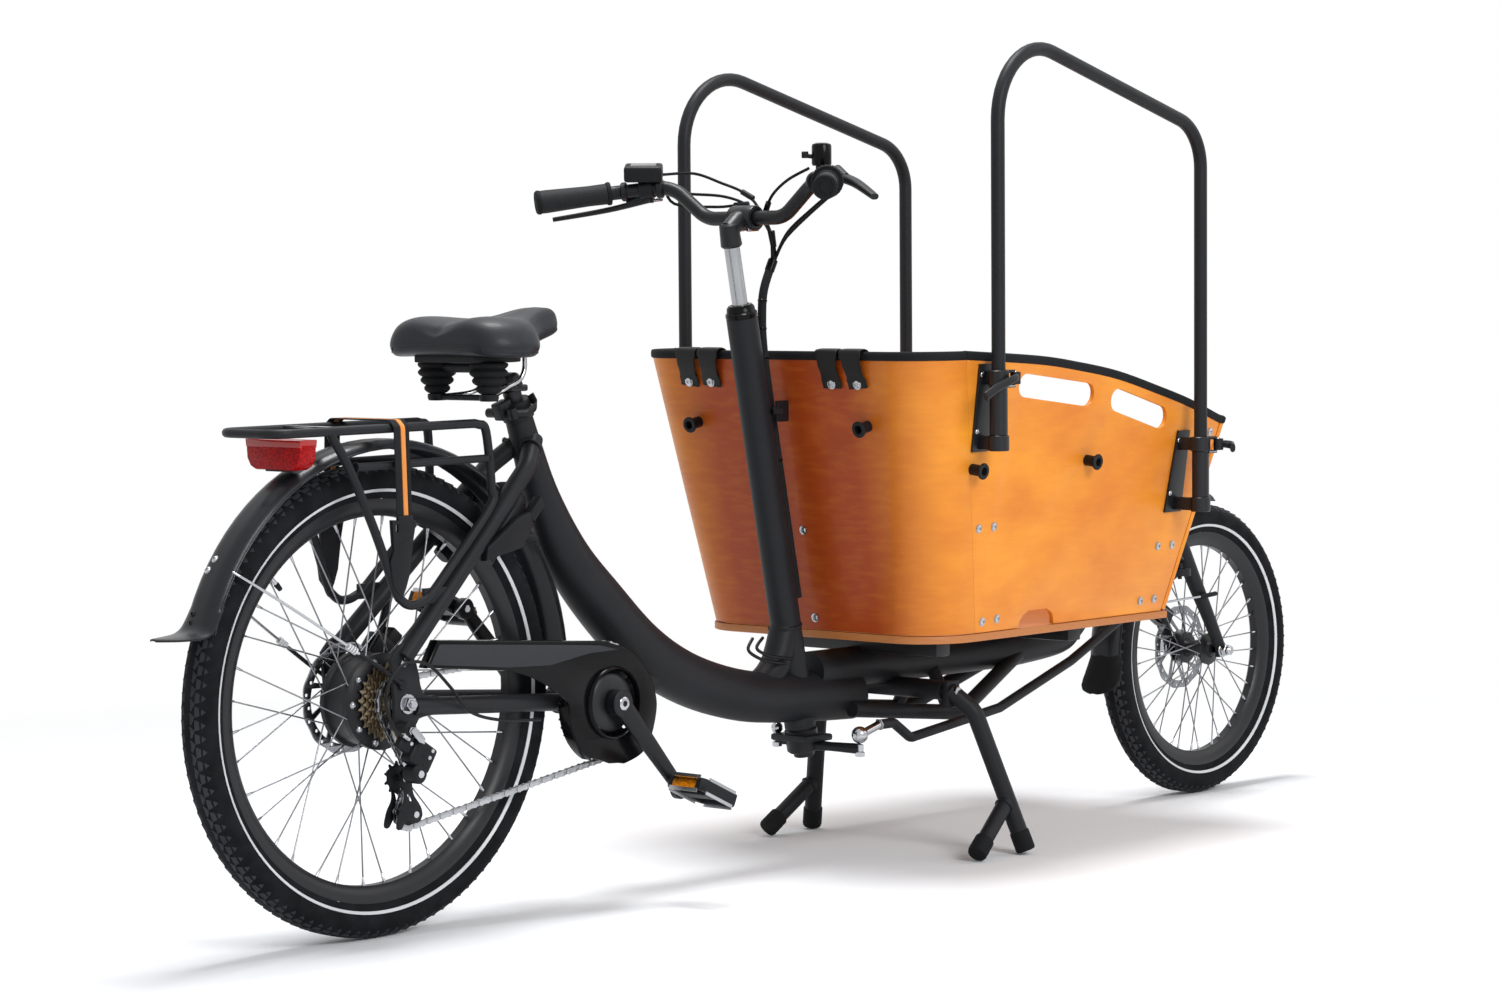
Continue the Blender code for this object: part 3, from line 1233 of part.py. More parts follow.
def side_half(x, z):
    """Half width of the box at a place: it narrows downwards and forwards."""
    return 0.250 + 0.122 * (z - 0.355) - 0.0294 * (x - 1.045)


def rear_wall_x(z):
    return BOX_REAR_TOP + (0.806 - z) * COLUMN_LEAN


def front_wall_x(z):
    share = (z - BOX_BOTTOM) / (0.690 - BOX_BOTTOM)
    return FRONT_BOTTOM_X + (FRONT_TOP_X - FRONT_BOTTOM_X) * share


def seam_x(z):
    return rear_wall_x(z) + BOX_CORNER + 0.018


def box_outline(z, margin):
    """Half outline (x, y) of the rear sheet at height z, from the seam to the middle."""
    edge = side_half(seam_x(z), z) + margin
    corner = (rear_wall_x(z) + BOX_CORNER, edge - BOX_CORNER - margin)
    points = [(seam_x(z), side_half(seam_x(z), z) + margin)]
    points += arc(corner, BOX_CORNER + margin, 90, 180, 5)
    return points


def box_rear_panel():
    """One bent plywood sheet: the leaning rear wall and its two rounded corners."""
    bm = bmesh.new()
    rows = []
    for z in (BOX_BOTTOM + LEAN_GAP, BOX_TOP):
        half = box_outline(z, -BOX_PLY / 2)
        full = half + [(x, -y) for x, y in reversed(half)]
        rows.append([bm.verts.new(at(x, y, z)) for x, y in full])
    for index in range(len(rows[0]) - 1):
        bm.faces.new((rows[0][index], rows[0][index + 1], rows[1][index + 1],
                      rows[1][index]))
    bmesh.ops.recalc_face_normals(bm, faces=bm.faces)
    sheet = from_bmesh("box_rear_panel", bm)
    wall = sheet.modifiers.new("plywood", "SOLIDIFY")
    wall.thickness = BOX_PLY - 0.001
    wall.offset = 0
    panel = as_mesh("box_rear_panel", sheet, None)
    for y in (-0.177, 0.177):
        surface = at(rear_wall_x(0.691), y, 0.691)
        fuse(panel, spool("rear_spool", surface, Vector((-1, 0, -COLUMN_LEAN))))
    add_finish(panel, "plywood")


def spool(name, surface, outward):
    """A short black spool that the rain cover's elastic hooks over."""
    outward = outward.normalized()
    profile = [(0.0, 0.0240), (0.0125, 0.0240), (0.0125, 0.0210), (0.0085, 0.0190),
               (0.0085, -0.0040), (0.0, -0.0040)]
    return turned(name, profile, surface, outward, None, 8)


def side_frame(side):
    """Origin and two directions in a side panel's plane: forward, and up the wall."""
    origin = at(1.045, side * side_half(1.045, 0.355), 0.355)
    across = Vector((1, -side * 0.0294, 0)).normalized()
    rise = Vector((0, side * 0.122, 1))
    up = (rise - across * rise.dot(across)).normalized()
    return origin, across, up


def side_uv(side, x, z):
    """Place of a bike coordinate (x, z) in the side panel's own plane."""
    origin, across, up = side_frame(side)
    offset = at(x, side * side_half(x, z), z) - origin
    return offset.dot(across), offset.dot(up)


SLOT_REAR = ((1.113, 0.752), (1.280, 0.733))
SLOT_FRONT = ((1.366, 0.722), (1.492, 0.690))
SLOT_HALF = 0.0185


def rim_line():
    """Top edge (x, z) of a side panel, from the rear seam to the front corner."""
    return [(seam_x(BOX_TOP) + GAP, BOX_TOP), (1.140, 0.797), (1.249, 0.785),
            (1.362, 0.768), (1.480, 0.741), (1.571, 0.718), (1.660, 0.690)]


def slot_loop(side, ends):
    """A handle slot with round ends between two centres given in (x, z)."""
    (u0, v0), (u1, v1) = (side_uv(side, x, z) for x, z in ends)
    heading = math.degrees(math.atan2(v1 - v0, u1 - u0))
    return (arc((u0, v0), SLOT_HALF, heading + 270, heading + 90, 5)
            + arc((u1, v1), SLOT_HALF, heading + 90, heading - 90, 5))


def box_side_panels():
    for side, hand in ((-1, "right"), (1, "left")):
        corner = [(front_wall_x(0.676) - 0.012, 0.676), (front_wall_x(BOX_BOTTOM) - 0.0115,
                                                         BOX_BOTTOM + GAP)]
        notch = [(1.246, BOX_BOTTOM + GAP), (1.238, 0.386), (1.224, 0.393), (1.176, 0.393),
                 (1.163, 0.386), (1.151, BOX_BOTTOM + GAP)]
        edge = [(seam_x(BOX_BOTTOM + GAP) + GAP, BOX_BOTTOM + GAP)]
        outline = [side_uv(side, x, z) for x, z in rim_line() + corner + notch + edge]
        holes = [slot_loop(side, SLOT_REAR), slot_loop(side, SLOT_FRONT)]
        origin, across, up = side_frame(side)
        outward = across.cross(up).normalized()
        if outward.y * side < 0:
            outward.negate()
        middle = origin - outward * (BOX_PLY / 2)
        panel = plate("box_side_" + hand, outline, BOX_PLY - 0.001, middle, across, up,
                      None, holes)
        for x, z in ((1.008, 0.628), (1.310, 0.628)):
            surface = at(x, side * side_half(x, z), z)
            fuse(panel, spool("side_spool", surface, outward))
        add_finish(panel, "plywood")


def box_front_panel():
    """The sloping front sheet, across the front ends of the sides; its top edge dips."""
    low, high = BOX_BOTTOM + LEAN_GAP + 0.0010, 0.690
    across = Vector((0, 1, 0))
    slope = Vector((front_wall_x(high) - front_wall_x(low), 0, high - low))
    half_low = side_half(front_wall_x(low), low)
    half_high = side_half(front_wall_x(high), high)
    top = []
    for share, z in ((1.0, 0.679), (0.955, 0.690), (0.80, 0.680), (0.60, 0.650),
                     (0.38, 0.616), (0.16, 0.602)):
        top.append((half_high * share, slope.length * (z - low) / (high - low)))
    outline = ([(-half_low, 0), (half_low, 0)] + top
               + [(-u, v) for u, v in reversed(top)])
    origin = at(front_wall_x(low) - 0.0052, 0, low)
    plate("box_front_panel", outline, BOX_PLY, origin, across, slope.normalized(),
          "plywood")


def box_floor():
    """The base sheet, a little proud of the walls, with rounded rear corners.

    Between the walls and ahead of the battery its top face is half a millimetre higher.
    """
    z = BOX_BOTTOM
    half = box_outline(z, 0.002)
    front = front_wall_x(z) + 0.004
    outline = ([(front, side_half(front, z) + 0.002)] + half
               + [(x, -y) for x, y in reversed(half)]
               + [(front, -side_half(front, z) - 0.002)])
    thickness = FLOOR_PLY - FLOOR_STEP
    board = plate("box_floor", outline, thickness, at(0, 0, z - FLOOR_STEP - thickness / 2),
                  Vector((1, 0, 0)), Vector((0, 1, 0)))
    inner = []
    for x in (1.075, front_wall_x(z) - BOX_PLY - 0.006):
        inner.append((x, side_half(x, z) - BOX_PLY - 0.006))
    inner += [(x, -y) for x, y in reversed(inner)]
    fuse(board, plate("floor_face", inner, 0.0040, at(0, 0, z - 0.0020),
                      Vector((1, 0, 0)), Vector((0, 1, 0))))
    add_finish(board, "plywood_base")


def battery_pack():
    block("battery_pack", at(1.012, 0, BOX_BOTTOM + GAP + 0.045), (0.110, 0.360, 0.090),
          "black_plastic", None, 0.008)


def hoop(side, hand):
    """A tube hoop that carries the rain cover, standing in two sockets on the box."""
    raised = HOOP_RAISED[hand]
    rear = at(HOOP_REAR_X, side * HOOP_REAR_Y, 0.6620 + raised)
    rear_top = at(HOOP_REAR_X, side * HOOP_REAR_Y, 1.2860 + raised)
    front_top = at(HOOP_FRONT_X, side * HOOP_FRONT_Y, 1.1360 + raised)
    front = at(HOOP_FRONT_X, side * HOOP_FRONT_Y, 0.5415 + raised)
    first = rounded([rear, rear_top, front_top], 0.112, 5)
    second = rounded([rear_top, front_top, front], 0.080, 4)
    bar = tube("hoop_" + hand, first[:-1] + second[1:], HOOP_RADIUS, "black_frame", None, 2)
    set_origin(bar, rear)


def hoop_bracket(side, hand, end):
    """A socket bracket: wall plate, clamp ring, closed cup below, and webs between."""
    if end == "rear":
        x, y, low, high, narrow = HOOP_REAR_X, side * HOOP_REAR_Y, 0.6550, 0.7790, 0
    else:
        x, y, low, high, narrow = HOOP_FRONT_X, side * HOOP_FRONT_Y, 0.5340, 0.6570, 0.007
    origin, across, up = side_frame(side)
    outward = across.cross(up).normalized()
    if outward.y * side < 0:
        outward.negate()
    corners = [(x - 0.020 + narrow, low - 0.002), (x + 0.026 - narrow, low - 0.002),
               (x + 0.026, high + 0.010), (x - 0.020, high + 0.010)]
    outline = [side_uv(side, u, v) for u, v in corners]
    bracket = plate("hoop_bracket_%s_%s" % (end, hand), outline, 0.0040,
                    origin + outward * (0.0020 + GAP), across, up)
    for z in (low, high - 0.024):
        wall = side * (side_half(x, z + 0.012) + 0.0028)
        fuse(bracket,
             rod("socket_ring", at(x, y, z), at(x, y, z + 0.024), 0.0162, sides=10),
             block("socket_web", at(x, (wall + y) / 2, z + 0.012),
                   (0.012, abs(wall - y), 0.020)))
    lug_x, lug_y = lever_pivot(side, end)
    fuse(bracket, block("lever_lug", at((x + lug_x) / 2 + 0.004, (y + lug_y) / 2 - side
                                        * 0.001, high - 0.0125), (0.026, 0.0160, 0.0265)))
    carve(bracket,
          rod("socket_bore", at(x, y, low + 0.006), at(x, y, high + 0.05),
              HOOP_RADIUS + 0.0010, sides=10),
          rod("lever_room", at(lug_x, lug_y, high - 0.0230), at(lug_x, lug_y, high - 0.0020),
              0.0130, sides=8))
    add_finish(bracket, "black_alloy")


def lever_pivot(side, end):
    """Pin of a hoop clamp lever, ahead of and outside the clamp ring."""
    if end == "rear":
        return HOOP_REAR_X + 0.0290, side * (HOOP_REAR_Y + 0.0100)
    return HOOP_FRONT_X + 0.0220, side * (HOOP_FRONT_Y + 0.0200)


def hoop_lever(side, hand, end):
    """The clamp lever: a bent arm on a small barrel, lying along the box when closed.

    The left rear one is turned forwards and the right rear one backwards.
    """
    x, y = lever_pivot(side, end)
    z = 0.7665 if end == "rear" else 0.6445
    pivot = at(x, y, z)
    if end == "rear":
        path = [pivot, at(x + side * 0.020, y + side * 0.0160, z),
                at(x + side * 0.060, y + side * 0.0150, z - 0.012),
                at(x + side * 0.090, y + side * 0.0130, z - 0.026)]
    else:
        path = [pivot, at(x + 0.016, y - side * 0.0060, z),
                at(x + 0.052, y - side * 0.0260, z - 0.004)]
    lever = tube("hoop_lever_%s_%s" % (end, hand), path, 0.0055, None, None, 1)
    fuse(lever, rod("lever_barrel", pivot - Vector((0, 0, 0.0090)),
                    pivot + Vector((0, 0, 0.0090)), 0.0075, sides=10))
    add_finish(lever, "black_alloy")
    set_origin(lever, pivot)


def hoops():
    for side, hand in ((-1, "right"), (1, "left")):
        hoop(side, hand)
        for end in ("rear", "front"):
            hoop_bracket(side, hand, end)
            hoop_lever(side, hand, end)


def build():
    clear_scene()
    make_collections()
    main_frame()
    front_frame()
    rear_wheel()
    front_wheel()
    rear_mudguard()
    front_mudguard()
    rear_rack()
    rack_strap()
    tail_light()
    seat_parts()
    seat_clamp_lever()
    ring_lock()
    drivetrain()
    fork()
    steering_shaft()
    tie_rod()
    quill_stem()
    handlebar()
    grips()
    display()
    bell()
    brake_lever("right")
    brake_lever("left")
    control_cables()
    stand()
    box_rear_panel()
    box_side_panels()
    box_front_panel()
    box_floor()
    battery_pack()
    hoops()
    for thing in PARTS.objects:
        thing.data.shade_smooth()
        thing.data.set_sharp_from_angle(angle=math.radians(35))


build()
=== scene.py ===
"""Looks for an electric cargo bike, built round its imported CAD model.

Every place is written in bike coordinates, in metres: x forward from the rear axle,
y to the left, z up from the ground. at() moves a place into the frame of the CAD model.
"""

import math

import bmesh
import bpy
from mathutils import Matrix, Vector
from mathutils.bvhtree import BVHTree


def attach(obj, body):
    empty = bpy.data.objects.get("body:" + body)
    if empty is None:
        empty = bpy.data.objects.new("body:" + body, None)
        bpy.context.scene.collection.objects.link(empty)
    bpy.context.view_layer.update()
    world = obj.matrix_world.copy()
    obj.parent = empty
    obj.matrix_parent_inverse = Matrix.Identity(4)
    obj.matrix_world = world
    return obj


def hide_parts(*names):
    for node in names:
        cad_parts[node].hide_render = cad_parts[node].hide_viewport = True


bl_info = {
    "name": "Electric Cargo Bike",
    "version": (1, 0, 0),
    "blender": (4, 5, 0),
    "location": "View3D > Sidebar > Cargo Bike",
    "description": "Builds the surfaces, fittings, light and camera of a cargo bike",
    "category": "Object",
}

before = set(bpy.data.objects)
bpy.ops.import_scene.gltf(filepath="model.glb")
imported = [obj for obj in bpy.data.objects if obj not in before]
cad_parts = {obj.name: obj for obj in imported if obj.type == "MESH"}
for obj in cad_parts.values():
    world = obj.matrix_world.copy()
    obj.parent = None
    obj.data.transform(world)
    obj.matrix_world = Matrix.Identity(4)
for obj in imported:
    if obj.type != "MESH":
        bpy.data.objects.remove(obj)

MIDDLE_X = 0.92235
REAR_AXLE_Z = 0.3345
FRONT_AXLE_X, FRONT_AXLE_Z = 1.976, 0.258
BRACKET = (0.3996, 0.3026)
AXLE = Vector((0, 1, 0))
FORWARD = Vector((1, 0, 0))
UP = Vector((0, 0, 1))
SIDES = ((-1, "right"), (1, "left"))
COLUMN_LEAN, COLUMN_FOOT_X = 0.2016, 0.9535
COLUMN_UP = Vector((-COLUMN_LEAN, 0, 1))
SEAT_LEAN, SEAT_TOP_X, SEAT_TOP_Z = 0.374, 0.2915, 0.733
HEAD_ANGLE, CROWN_X, CROWN_Z = math.radians(25), 1.8, 0.52


def at(x, y, z):
    return Vector((x - MIDDLE_X, y, z))


def column_point(z, forward=0.0, y=0.0):
    """A point beside the steering column's axis at height z."""
    return at(COLUMN_FOOT_X - COLUMN_LEAN * z + forward, y, z)


def seat_point(z, forward=0.0, y=0.0):
    """A point beside the seat tube's axis at height z."""
    return at(SEAT_TOP_X + SEAT_LEAN * (SEAT_TOP_Z - z) + forward, y, z)


def head_point(along, y=0.0):
    """A point beside the fork's steering axis, measured up from the crown."""
    return at(CROWN_X - along * math.sin(HEAD_ANGLE), y, CROWN_Z + along * math.cos(HEAD_ANGLE))


# Lines

def arc(centre, radius, start, end, steps):
    """Points (u, v) on an arc, angles in degrees."""
    angles = [math.radians(start + (end - start) * step / steps) for step in range(steps + 1)]
    return [(centre[0] + radius * math.cos(a), centre[1] + radius * math.sin(a)) for a in angles]


def smooth(points, samples=6):
    """A smooth line through the given points, ends included."""
    line = []
    last = len(points) - 1
    for index in range(last):
        before, start = points[max(index - 1, 0)], points[index]
        end, after = points[index + 1], points[min(index + 2, last)]
        for step in range(samples):
            t = step / samples
            line.append(0.5 * (2 * start + (end - before) * t +
                               (2 * before - 5 * start + 4 * end - after) * t * t +
                               (3 * start - before - 3 * end + after) * t ** 3))
    return line + [points[-1]]


def smooth_flat(points, samples=6):
    """The same for points (u, v) of an outline."""
    return [(p.x, p.y) for p in smooth([Vector(point) for point in points], samples)]


def rounded(points, radius, steps=8):
    """A path with each inner corner replaced by an arc of the given radius."""
    path = [points[0]]
    for before, corner, after in zip(points, points[1:], points[2:]):
        inward, outward = (before - corner).normalized(), (after - corner).normalized()
        half = inward.angle(outward) / 2
        middle = corner + (inward + outward).normalized() * (radius / math.sin(half))
        first = corner + inward * radius / math.tan(half) - middle
        last = corner + outward * radius / math.tan(half) - middle
        turn = first.angle(last)
        for step in range(steps + 1):
            t = step / steps
            blend = first * math.sin((1 - t) * turn) + last * math.sin(t * turn)
            path.append(middle + blend / math.sin(turn))
    return path + [points[-1]]


def directions(path, cyclic, up):
    """Two directions across a path at each of its points."""
    side, found, count = None, [], len(path)
    for index, point in enumerate(path):
        ahead = path[(index + 1) % count] if cyclic or index + 1 < count else point
        behind = path[index - 1] if cyclic or index else point
        tangent = (ahead - behind).normalized()
        if up is not None:
            side = tangent.cross(up).normalized()
        elif side is None:
            side = tangent.orthogonal().normalized()
        else:
            side = (side - tangent * side.dot(tangent)).normalized()
        found.append((side, side.cross(tangent)))
    return found


def oval(half_width, half_height, sides=16, power=1.0):
    """A section from round (power 1) to nearly square (power 0.4)."""
    points = []
    for index in range(sides):
        c, s = (math.cos(math.tau * index / sides), math.sin(math.tau * index / sides))
        points.append((half_width * math.copysign(abs(c) ** power, c),
                       half_height * math.copysign(abs(s) ** power, s)))
    return points


# Shapes

class Shape:
    """Collects the surfaces of one piece in one mesh, each with its own material."""

    def __init__(self, name, look):
        self.name, self.bm, self.looks, self.current = name, bmesh.new(), [], 0
        self.use(look)

    def use(self, look):
        """Give what follows the named material."""
        if look not in self.looks:
            self.looks.append(look)
        self.current = self.looks.index(look)
        return self

    def mark(self, before):
        self.bm.faces.ensure_lookup_table()
        for index in range(before, len(self.bm.faces)):
            self.bm.faces[index].material_index = self.current
        return self

    def rings(self, rows, cyclic=False):
        """Skin over rows of points that all have the same count."""
        before = len(self.bm.faces)
        made = [[self.bm.verts.new(point) for point in row] for row in rows]
        count = len(made[0])
        for first, second in zip(made, made[1:] + (made[:1] if cyclic else [])):
            for index in range(count):
                after = (index + 1) % count
                self.bm.faces.new((first[index], first[after], second[after], second[index]))
        if not cyclic:
            self.bm.faces.new(made[0])
            self.bm.faces.new(made[-1])
        return self.mark(before)

    def sweep(self, path, section, up=None, cyclic=False, scales=None):
        """Draw a closed section along a path; scales widens or narrows it on the way."""
        rows = []
        for index, (side, other) in enumerate(directions(path, cyclic, up)):
            size = scales[index] if scales else 1
            rows.append([path[index] + side * a * size + other * b * size for a, b in section])
        return self.rings(rows, cyclic)

    def tube(self, path, radius, sides=16, cyclic=False, scales=None):
        return self.sweep(path, oval(radius, radius, sides), None, cyclic, scales)

    def lathe(self, profile, centre, axis=AXLE, steps=48, ring=False):
        """Turn a profile of (radius, height along the axis); a ring's profile is closed."""
        turn = axis.to_track_quat("Z", "Y").to_matrix()
        rows = []
        for radius, height in profile:
            row = []
            for step in range(steps):
                angle = math.tau * step / steps
                row.append(centre + turn @ Vector((radius * math.cos(angle),
                                                   radius * math.sin(angle), height)))
            rows.append(row)
        return self.rings(rows, ring)

    def rod(self, start, end, radius, end_radius=None, sides=24, bevel=0.0008):
        """A straight bar or cone with softened ends."""
        length = (end - start).length
        end_radius = radius if end_radius is None else end_radius
        profile = [(radius - bevel, 0), (radius, bevel), (end_radius, length - bevel),
                   (end_radius - bevel, length)]
        return self.lathe(profile, start, end - start, sides)

    def pin(self, x, z, start, end, *size, **form):
        """A rod in the axle's direction, between two distances to the left."""
        return self.rod(at(x, start, z), at(x, end, z), *size, **form)

    def block(self, centre, size, turn=None, bevel=0.0015, segments=2):
        before = len(self.bm.faces)
        made = bmesh.ops.create_cube(self.bm, size=1)["verts"]
        bmesh.ops.scale(self.bm, verts=made, vec=size)
        matrix = Matrix.Translation(centre) @ (turn or Matrix.Identity(3)).to_4x4()
        bmesh.ops.transform(self.bm, verts=made, matrix=matrix)
        edges = list({edge for vert in made for edge in vert.link_edges})
        bmesh.ops.bevel(self.bm, geom=edges, offset=bevel, segments=segments, affect="EDGES",
                        profile=0.6)
        return self.mark(before)

    def ball(self, centre, radius):
        profile = [(max(radius * math.cos(a), 0.0001), radius * math.sin(a))
                   for a in (math.radians(90 - 180 * step / 12) for step in range(13))]
        return self.lathe(profile, centre, UP, 20)

    def plate(self, outline, thickness, origin, across, up, holes=(), bevel=0.0006):
        """A flat sheet with softened edges from a 2D outline, centred on its plane."""
        before = len(self.bm.faces)
        curve = bpy.data.curves.new("outline", "CURVE")
        curve.dimensions, curve.fill_mode = "2D", "BOTH"
        curve.extrude = thickness / 2 - bevel
        curve.bevel_depth, curve.bevel_resolution, curve.offset = bevel, 1, -bevel
        for loop in (outline, *holes):
            spline = curve.splines.new("POLY")
            spline.points.add(len(loop) - 1)
            spline.use_cyclic_u = True
            for point, (u, v) in zip(spline.points, loop):
                point.co = (u, v, 0, 1)
        source = bpy.data.objects.new("outline", curve)
        mesh = bpy.data.meshes.new_from_object(source)
        axes = Matrix((across, up, across.cross(up))).transposed().to_4x4()
        mesh.transform(Matrix.Translation(origin) @ axes)
        self.bm.from_mesh(mesh)
        bpy.data.objects.remove(source)
        bpy.data.curves.remove(curve)
        bpy.data.meshes.remove(mesh)
        return self.mark(before)

    def weld(self, centre, axis, radius, thickness=0.0026):
        """A rippled weld bead round a joint between two tubes."""
        turn = axis.to_track_quat("Z", "Y").to_matrix()
        steps = 96
        path = [centre + turn @ Vector((radius * math.cos(a), radius * math.sin(a), 0))
                for a in (math.tau * step / steps for step in range(steps))]
        scales = [0.8 + 0.25 * abs(math.sin(math.pi * step / 3)) for step in range(steps)]
        return self.tube(path, thickness, 8, True, scales)

    def object(self):
        bmesh.ops.remove_doubles(self.bm, verts=self.bm.verts, dist=0.000002)
        bmesh.ops.recalc_face_normals(self.bm, faces=self.bm.faces)
        mesh = bpy.data.meshes.new(self.name)
        self.bm.to_mesh(mesh)
        self.bm.free()
        for look in self.looks:
            mesh.materials.append(LOOKS[look])
        thing = bpy.data.objects.new(self.name, mesh)
        bpy.context.scene.collection.objects.link(thing)
        return thing

    def ride(self, body, *nodes, slot=None):
        """Finish the piece: it moves with a CAD body and may stand for CAD nodes."""
        return hold(self.object(), body, *nodes, slot=slot)


def hold(thing, body, *nodes, slot=None, angle=40):
    thing.data.shade_smooth()
    thing.data.set_sharp_from_angle(angle=math.radians(angle))
    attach(thing, body)
    if nodes:
        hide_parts(*nodes)
    return thing


def sizes():
    return bpy.context.scene.cargo_bike_sizes


# Repeated things

def copies_group():
    """A node group that sets a small part on each point, turned and scaled there."""
    group = bpy.data.node_groups.new("copies_on_points", "GeometryNodeTree")
    for name, kind, way in (("Geometry", "NodeSocketGeometry", "INPUT"),
                            ("Part", "NodeSocketObject", "INPUT"),
                            ("Finish", "NodeSocketMaterial", "INPUT"),
                            ("Geometry", "NodeSocketGeometry", "OUTPUT")):
        group.interface.new_socket(name, in_out=way, socket_type=kind)
    add, link = group.nodes.new, group.links.new
    source, sink = add("NodeGroupInput"), add("NodeGroupOutput")
    info = add("GeometryNodeObjectInfo")
    turn, size = add("GeometryNodeInputNamedAttribute"), add("GeometryNodeInputNamedAttribute")
    for reader, name in ((turn, "turn"), (size, "size")):
        reader.data_type = "FLOAT_VECTOR"
        reader.inputs["Name"].default_value = name
    euler = add("FunctionNodeEulerToRotation")
    copy = add("GeometryNodeInstanceOnPoints")
    real = add("GeometryNodeRealizeInstances")
    finish = add("GeometryNodeSetMaterial")
    link(source.outputs["Part"], info.inputs["Object"])
    link(source.outputs["Geometry"], copy.inputs["Points"])
    link(info.outputs["Geometry"], copy.inputs["Instance"])
    link(turn.outputs["Attribute"], euler.inputs["Euler"])
    link(euler.outputs["Rotation"], copy.inputs["Rotation"])
    link(size.outputs["Attribute"], copy.inputs["Scale"])
    link(copy.outputs["Instances"], real.inputs["Geometry"])
    link(real.outputs["Geometry"], finish.inputs["Geometry"])
    link(source.outputs["Finish"], finish.inputs["Material"])
    link(finish.outputs["Geometry"], sink.inputs["Geometry"])
    return group


def copies(name, part, places, look, body, slot=None):
    """One piece made of a small shape repeated at places of (point, turn, size)."""
    template = part.object()
    mesh = bpy.data.meshes.new(name + "_points")
    mesh.from_pydata([point for point, _, _ in places], [], [])
    for attribute, values in (("turn", [turn.to_euler() for _, turn, _ in places]),
                              ("size", [size for _, _, size in places])):
        layer = mesh.attributes.new(attribute, "FLOAT_VECTOR", "POINT")
        layer.data.foreach_set("vector", [number for value in values for number in value])
    source = bpy.data.objects.new(name + "_points", mesh)
    bpy.context.scene.collection.objects.link(source)
    modifier = source.modifiers.new("copies", "NODES")
    group = bpy.data.node_groups["copies_on_points"]
    modifier.node_group = group
    sockets = {item.name: item.identifier for item in group.interface.items_tree if item.in_out ==
               "INPUT"}
    modifier[sockets["Part"]] = template
    modifier[sockets["Finish"]] = LOOKS[look]
    bpy.context.view_layer.update()
    graph = bpy.context.evaluated_depsgraph_get()
    made = bpy.data.meshes.new_from_object(source.evaluated_get(graph))
    piece = bpy.data.objects.new(name, made)
    bpy.context.scene.collection.objects.link(piece)
    for thing in (source, template):
        bpy.data.objects.remove(thing, do_unlink=True)
    return hold(piece, body, slot=slot)


def facing(direction, up=AXLE):
    """A turn that points a part's own Z along a direction and its Y towards up."""
    z = direction.normalized()
    x = up.cross(z)
    x = x.normalized() if x.length > 0.001 else z.orthogonal().normalized()
    return Matrix((x, z.cross(x), z)).transposed()


ONE = (1, 1, 1)


def pan_screw(radius=0.0058):
    """A domed screw head with a round socket; its foot lies at the origin."""
    part = Shape("screw", "bright_screws")
    socket = 0.42 * radius
    part.lathe([(radius * 1.25, -0.0005), (radius * 1.25, 0.0006), (radius, 0.0007),
                (0.95 * radius, 0.0018), (0.7 * radius, 0.0028), (socket, 0.0031), (socket, 0.0012),
                (0.0002, 0.0012)], Vector(), UP, 18)
    return part


# Materials

def linear(colour):
    """Scene values of an sRGB hex colour, or a colour from the settings as it is."""
    if not isinstance(colour, int):
        return (*colour, 1)
    values = [((colour >> shift) & 255) / 255 for shift in (16, 8, 0)]
    return (*[v / 12.92 if v <= 0.04045 else ((v + 0.055) / 1.055) ** 2.4 for v in values], 1)


def shade(colour, factor):
    return tuple(min(value * factor, 1) for value in linear(colour)[:3]) + (1,)


class Finish:
    """Builds one node material; values are numbers or other nodes' outputs."""

    def __init__(self, name):
        self.material = bpy.data.materials.new(name)
        self.material.use_nodes = True
        self.tree = self.material.node_tree
        self.shader = self.tree.nodes["Principled BSDF"]
        self.place = self.node("TexCoord", "Object")

    def node(self, kind, output, inputs=(), **settings):
        """Add a node with its settings, values and links, and give one of its outputs."""
        made = self.tree.nodes.new("ShaderNode" + kind)
        for key, value in settings.items():
            setattr(made, key, value)
        self.fill(made, inputs)
        return made.outputs[output]

    def fill(self, node, inputs):
        for key, value in dict(inputs).items():
            if isinstance(value, bpy.types.NodeSocket):
                self.tree.links.new(value, node.inputs[key])
            else:
                node.inputs[key].default_value = value

    def pattern(self, size_mm, stretch=(1, 1, 1), kind="noise", detail=3.0):
        """A grey pattern whose features are about size_mm across."""
        scale = [1000 / size_mm / s for s in stretch]
        mapped = self.node("Mapping", "Vector", {"Vector": self.place, "Scale": scale})
        if kind == "cells":
            return self.node("TexVoronoi", "Distance", {"Vector": mapped, "Scale": 1.0},
                             feature="F1")
        return self.node("TexNoise", "Fac", {"Vector": mapped, "Scale": 1.0, "Detail": detail})

    def done(self, **inputs):
        self.fill(self.shader, {key.replace("_", " "): value for key, value in inputs.items()})
        return self.material


# The parts of their range that noise and cells mostly fill
NOISE = {"From Min": 0.3, "From Max": 0.7}
CELLS = {"From Min": 0.1, "From Max": 0.6}


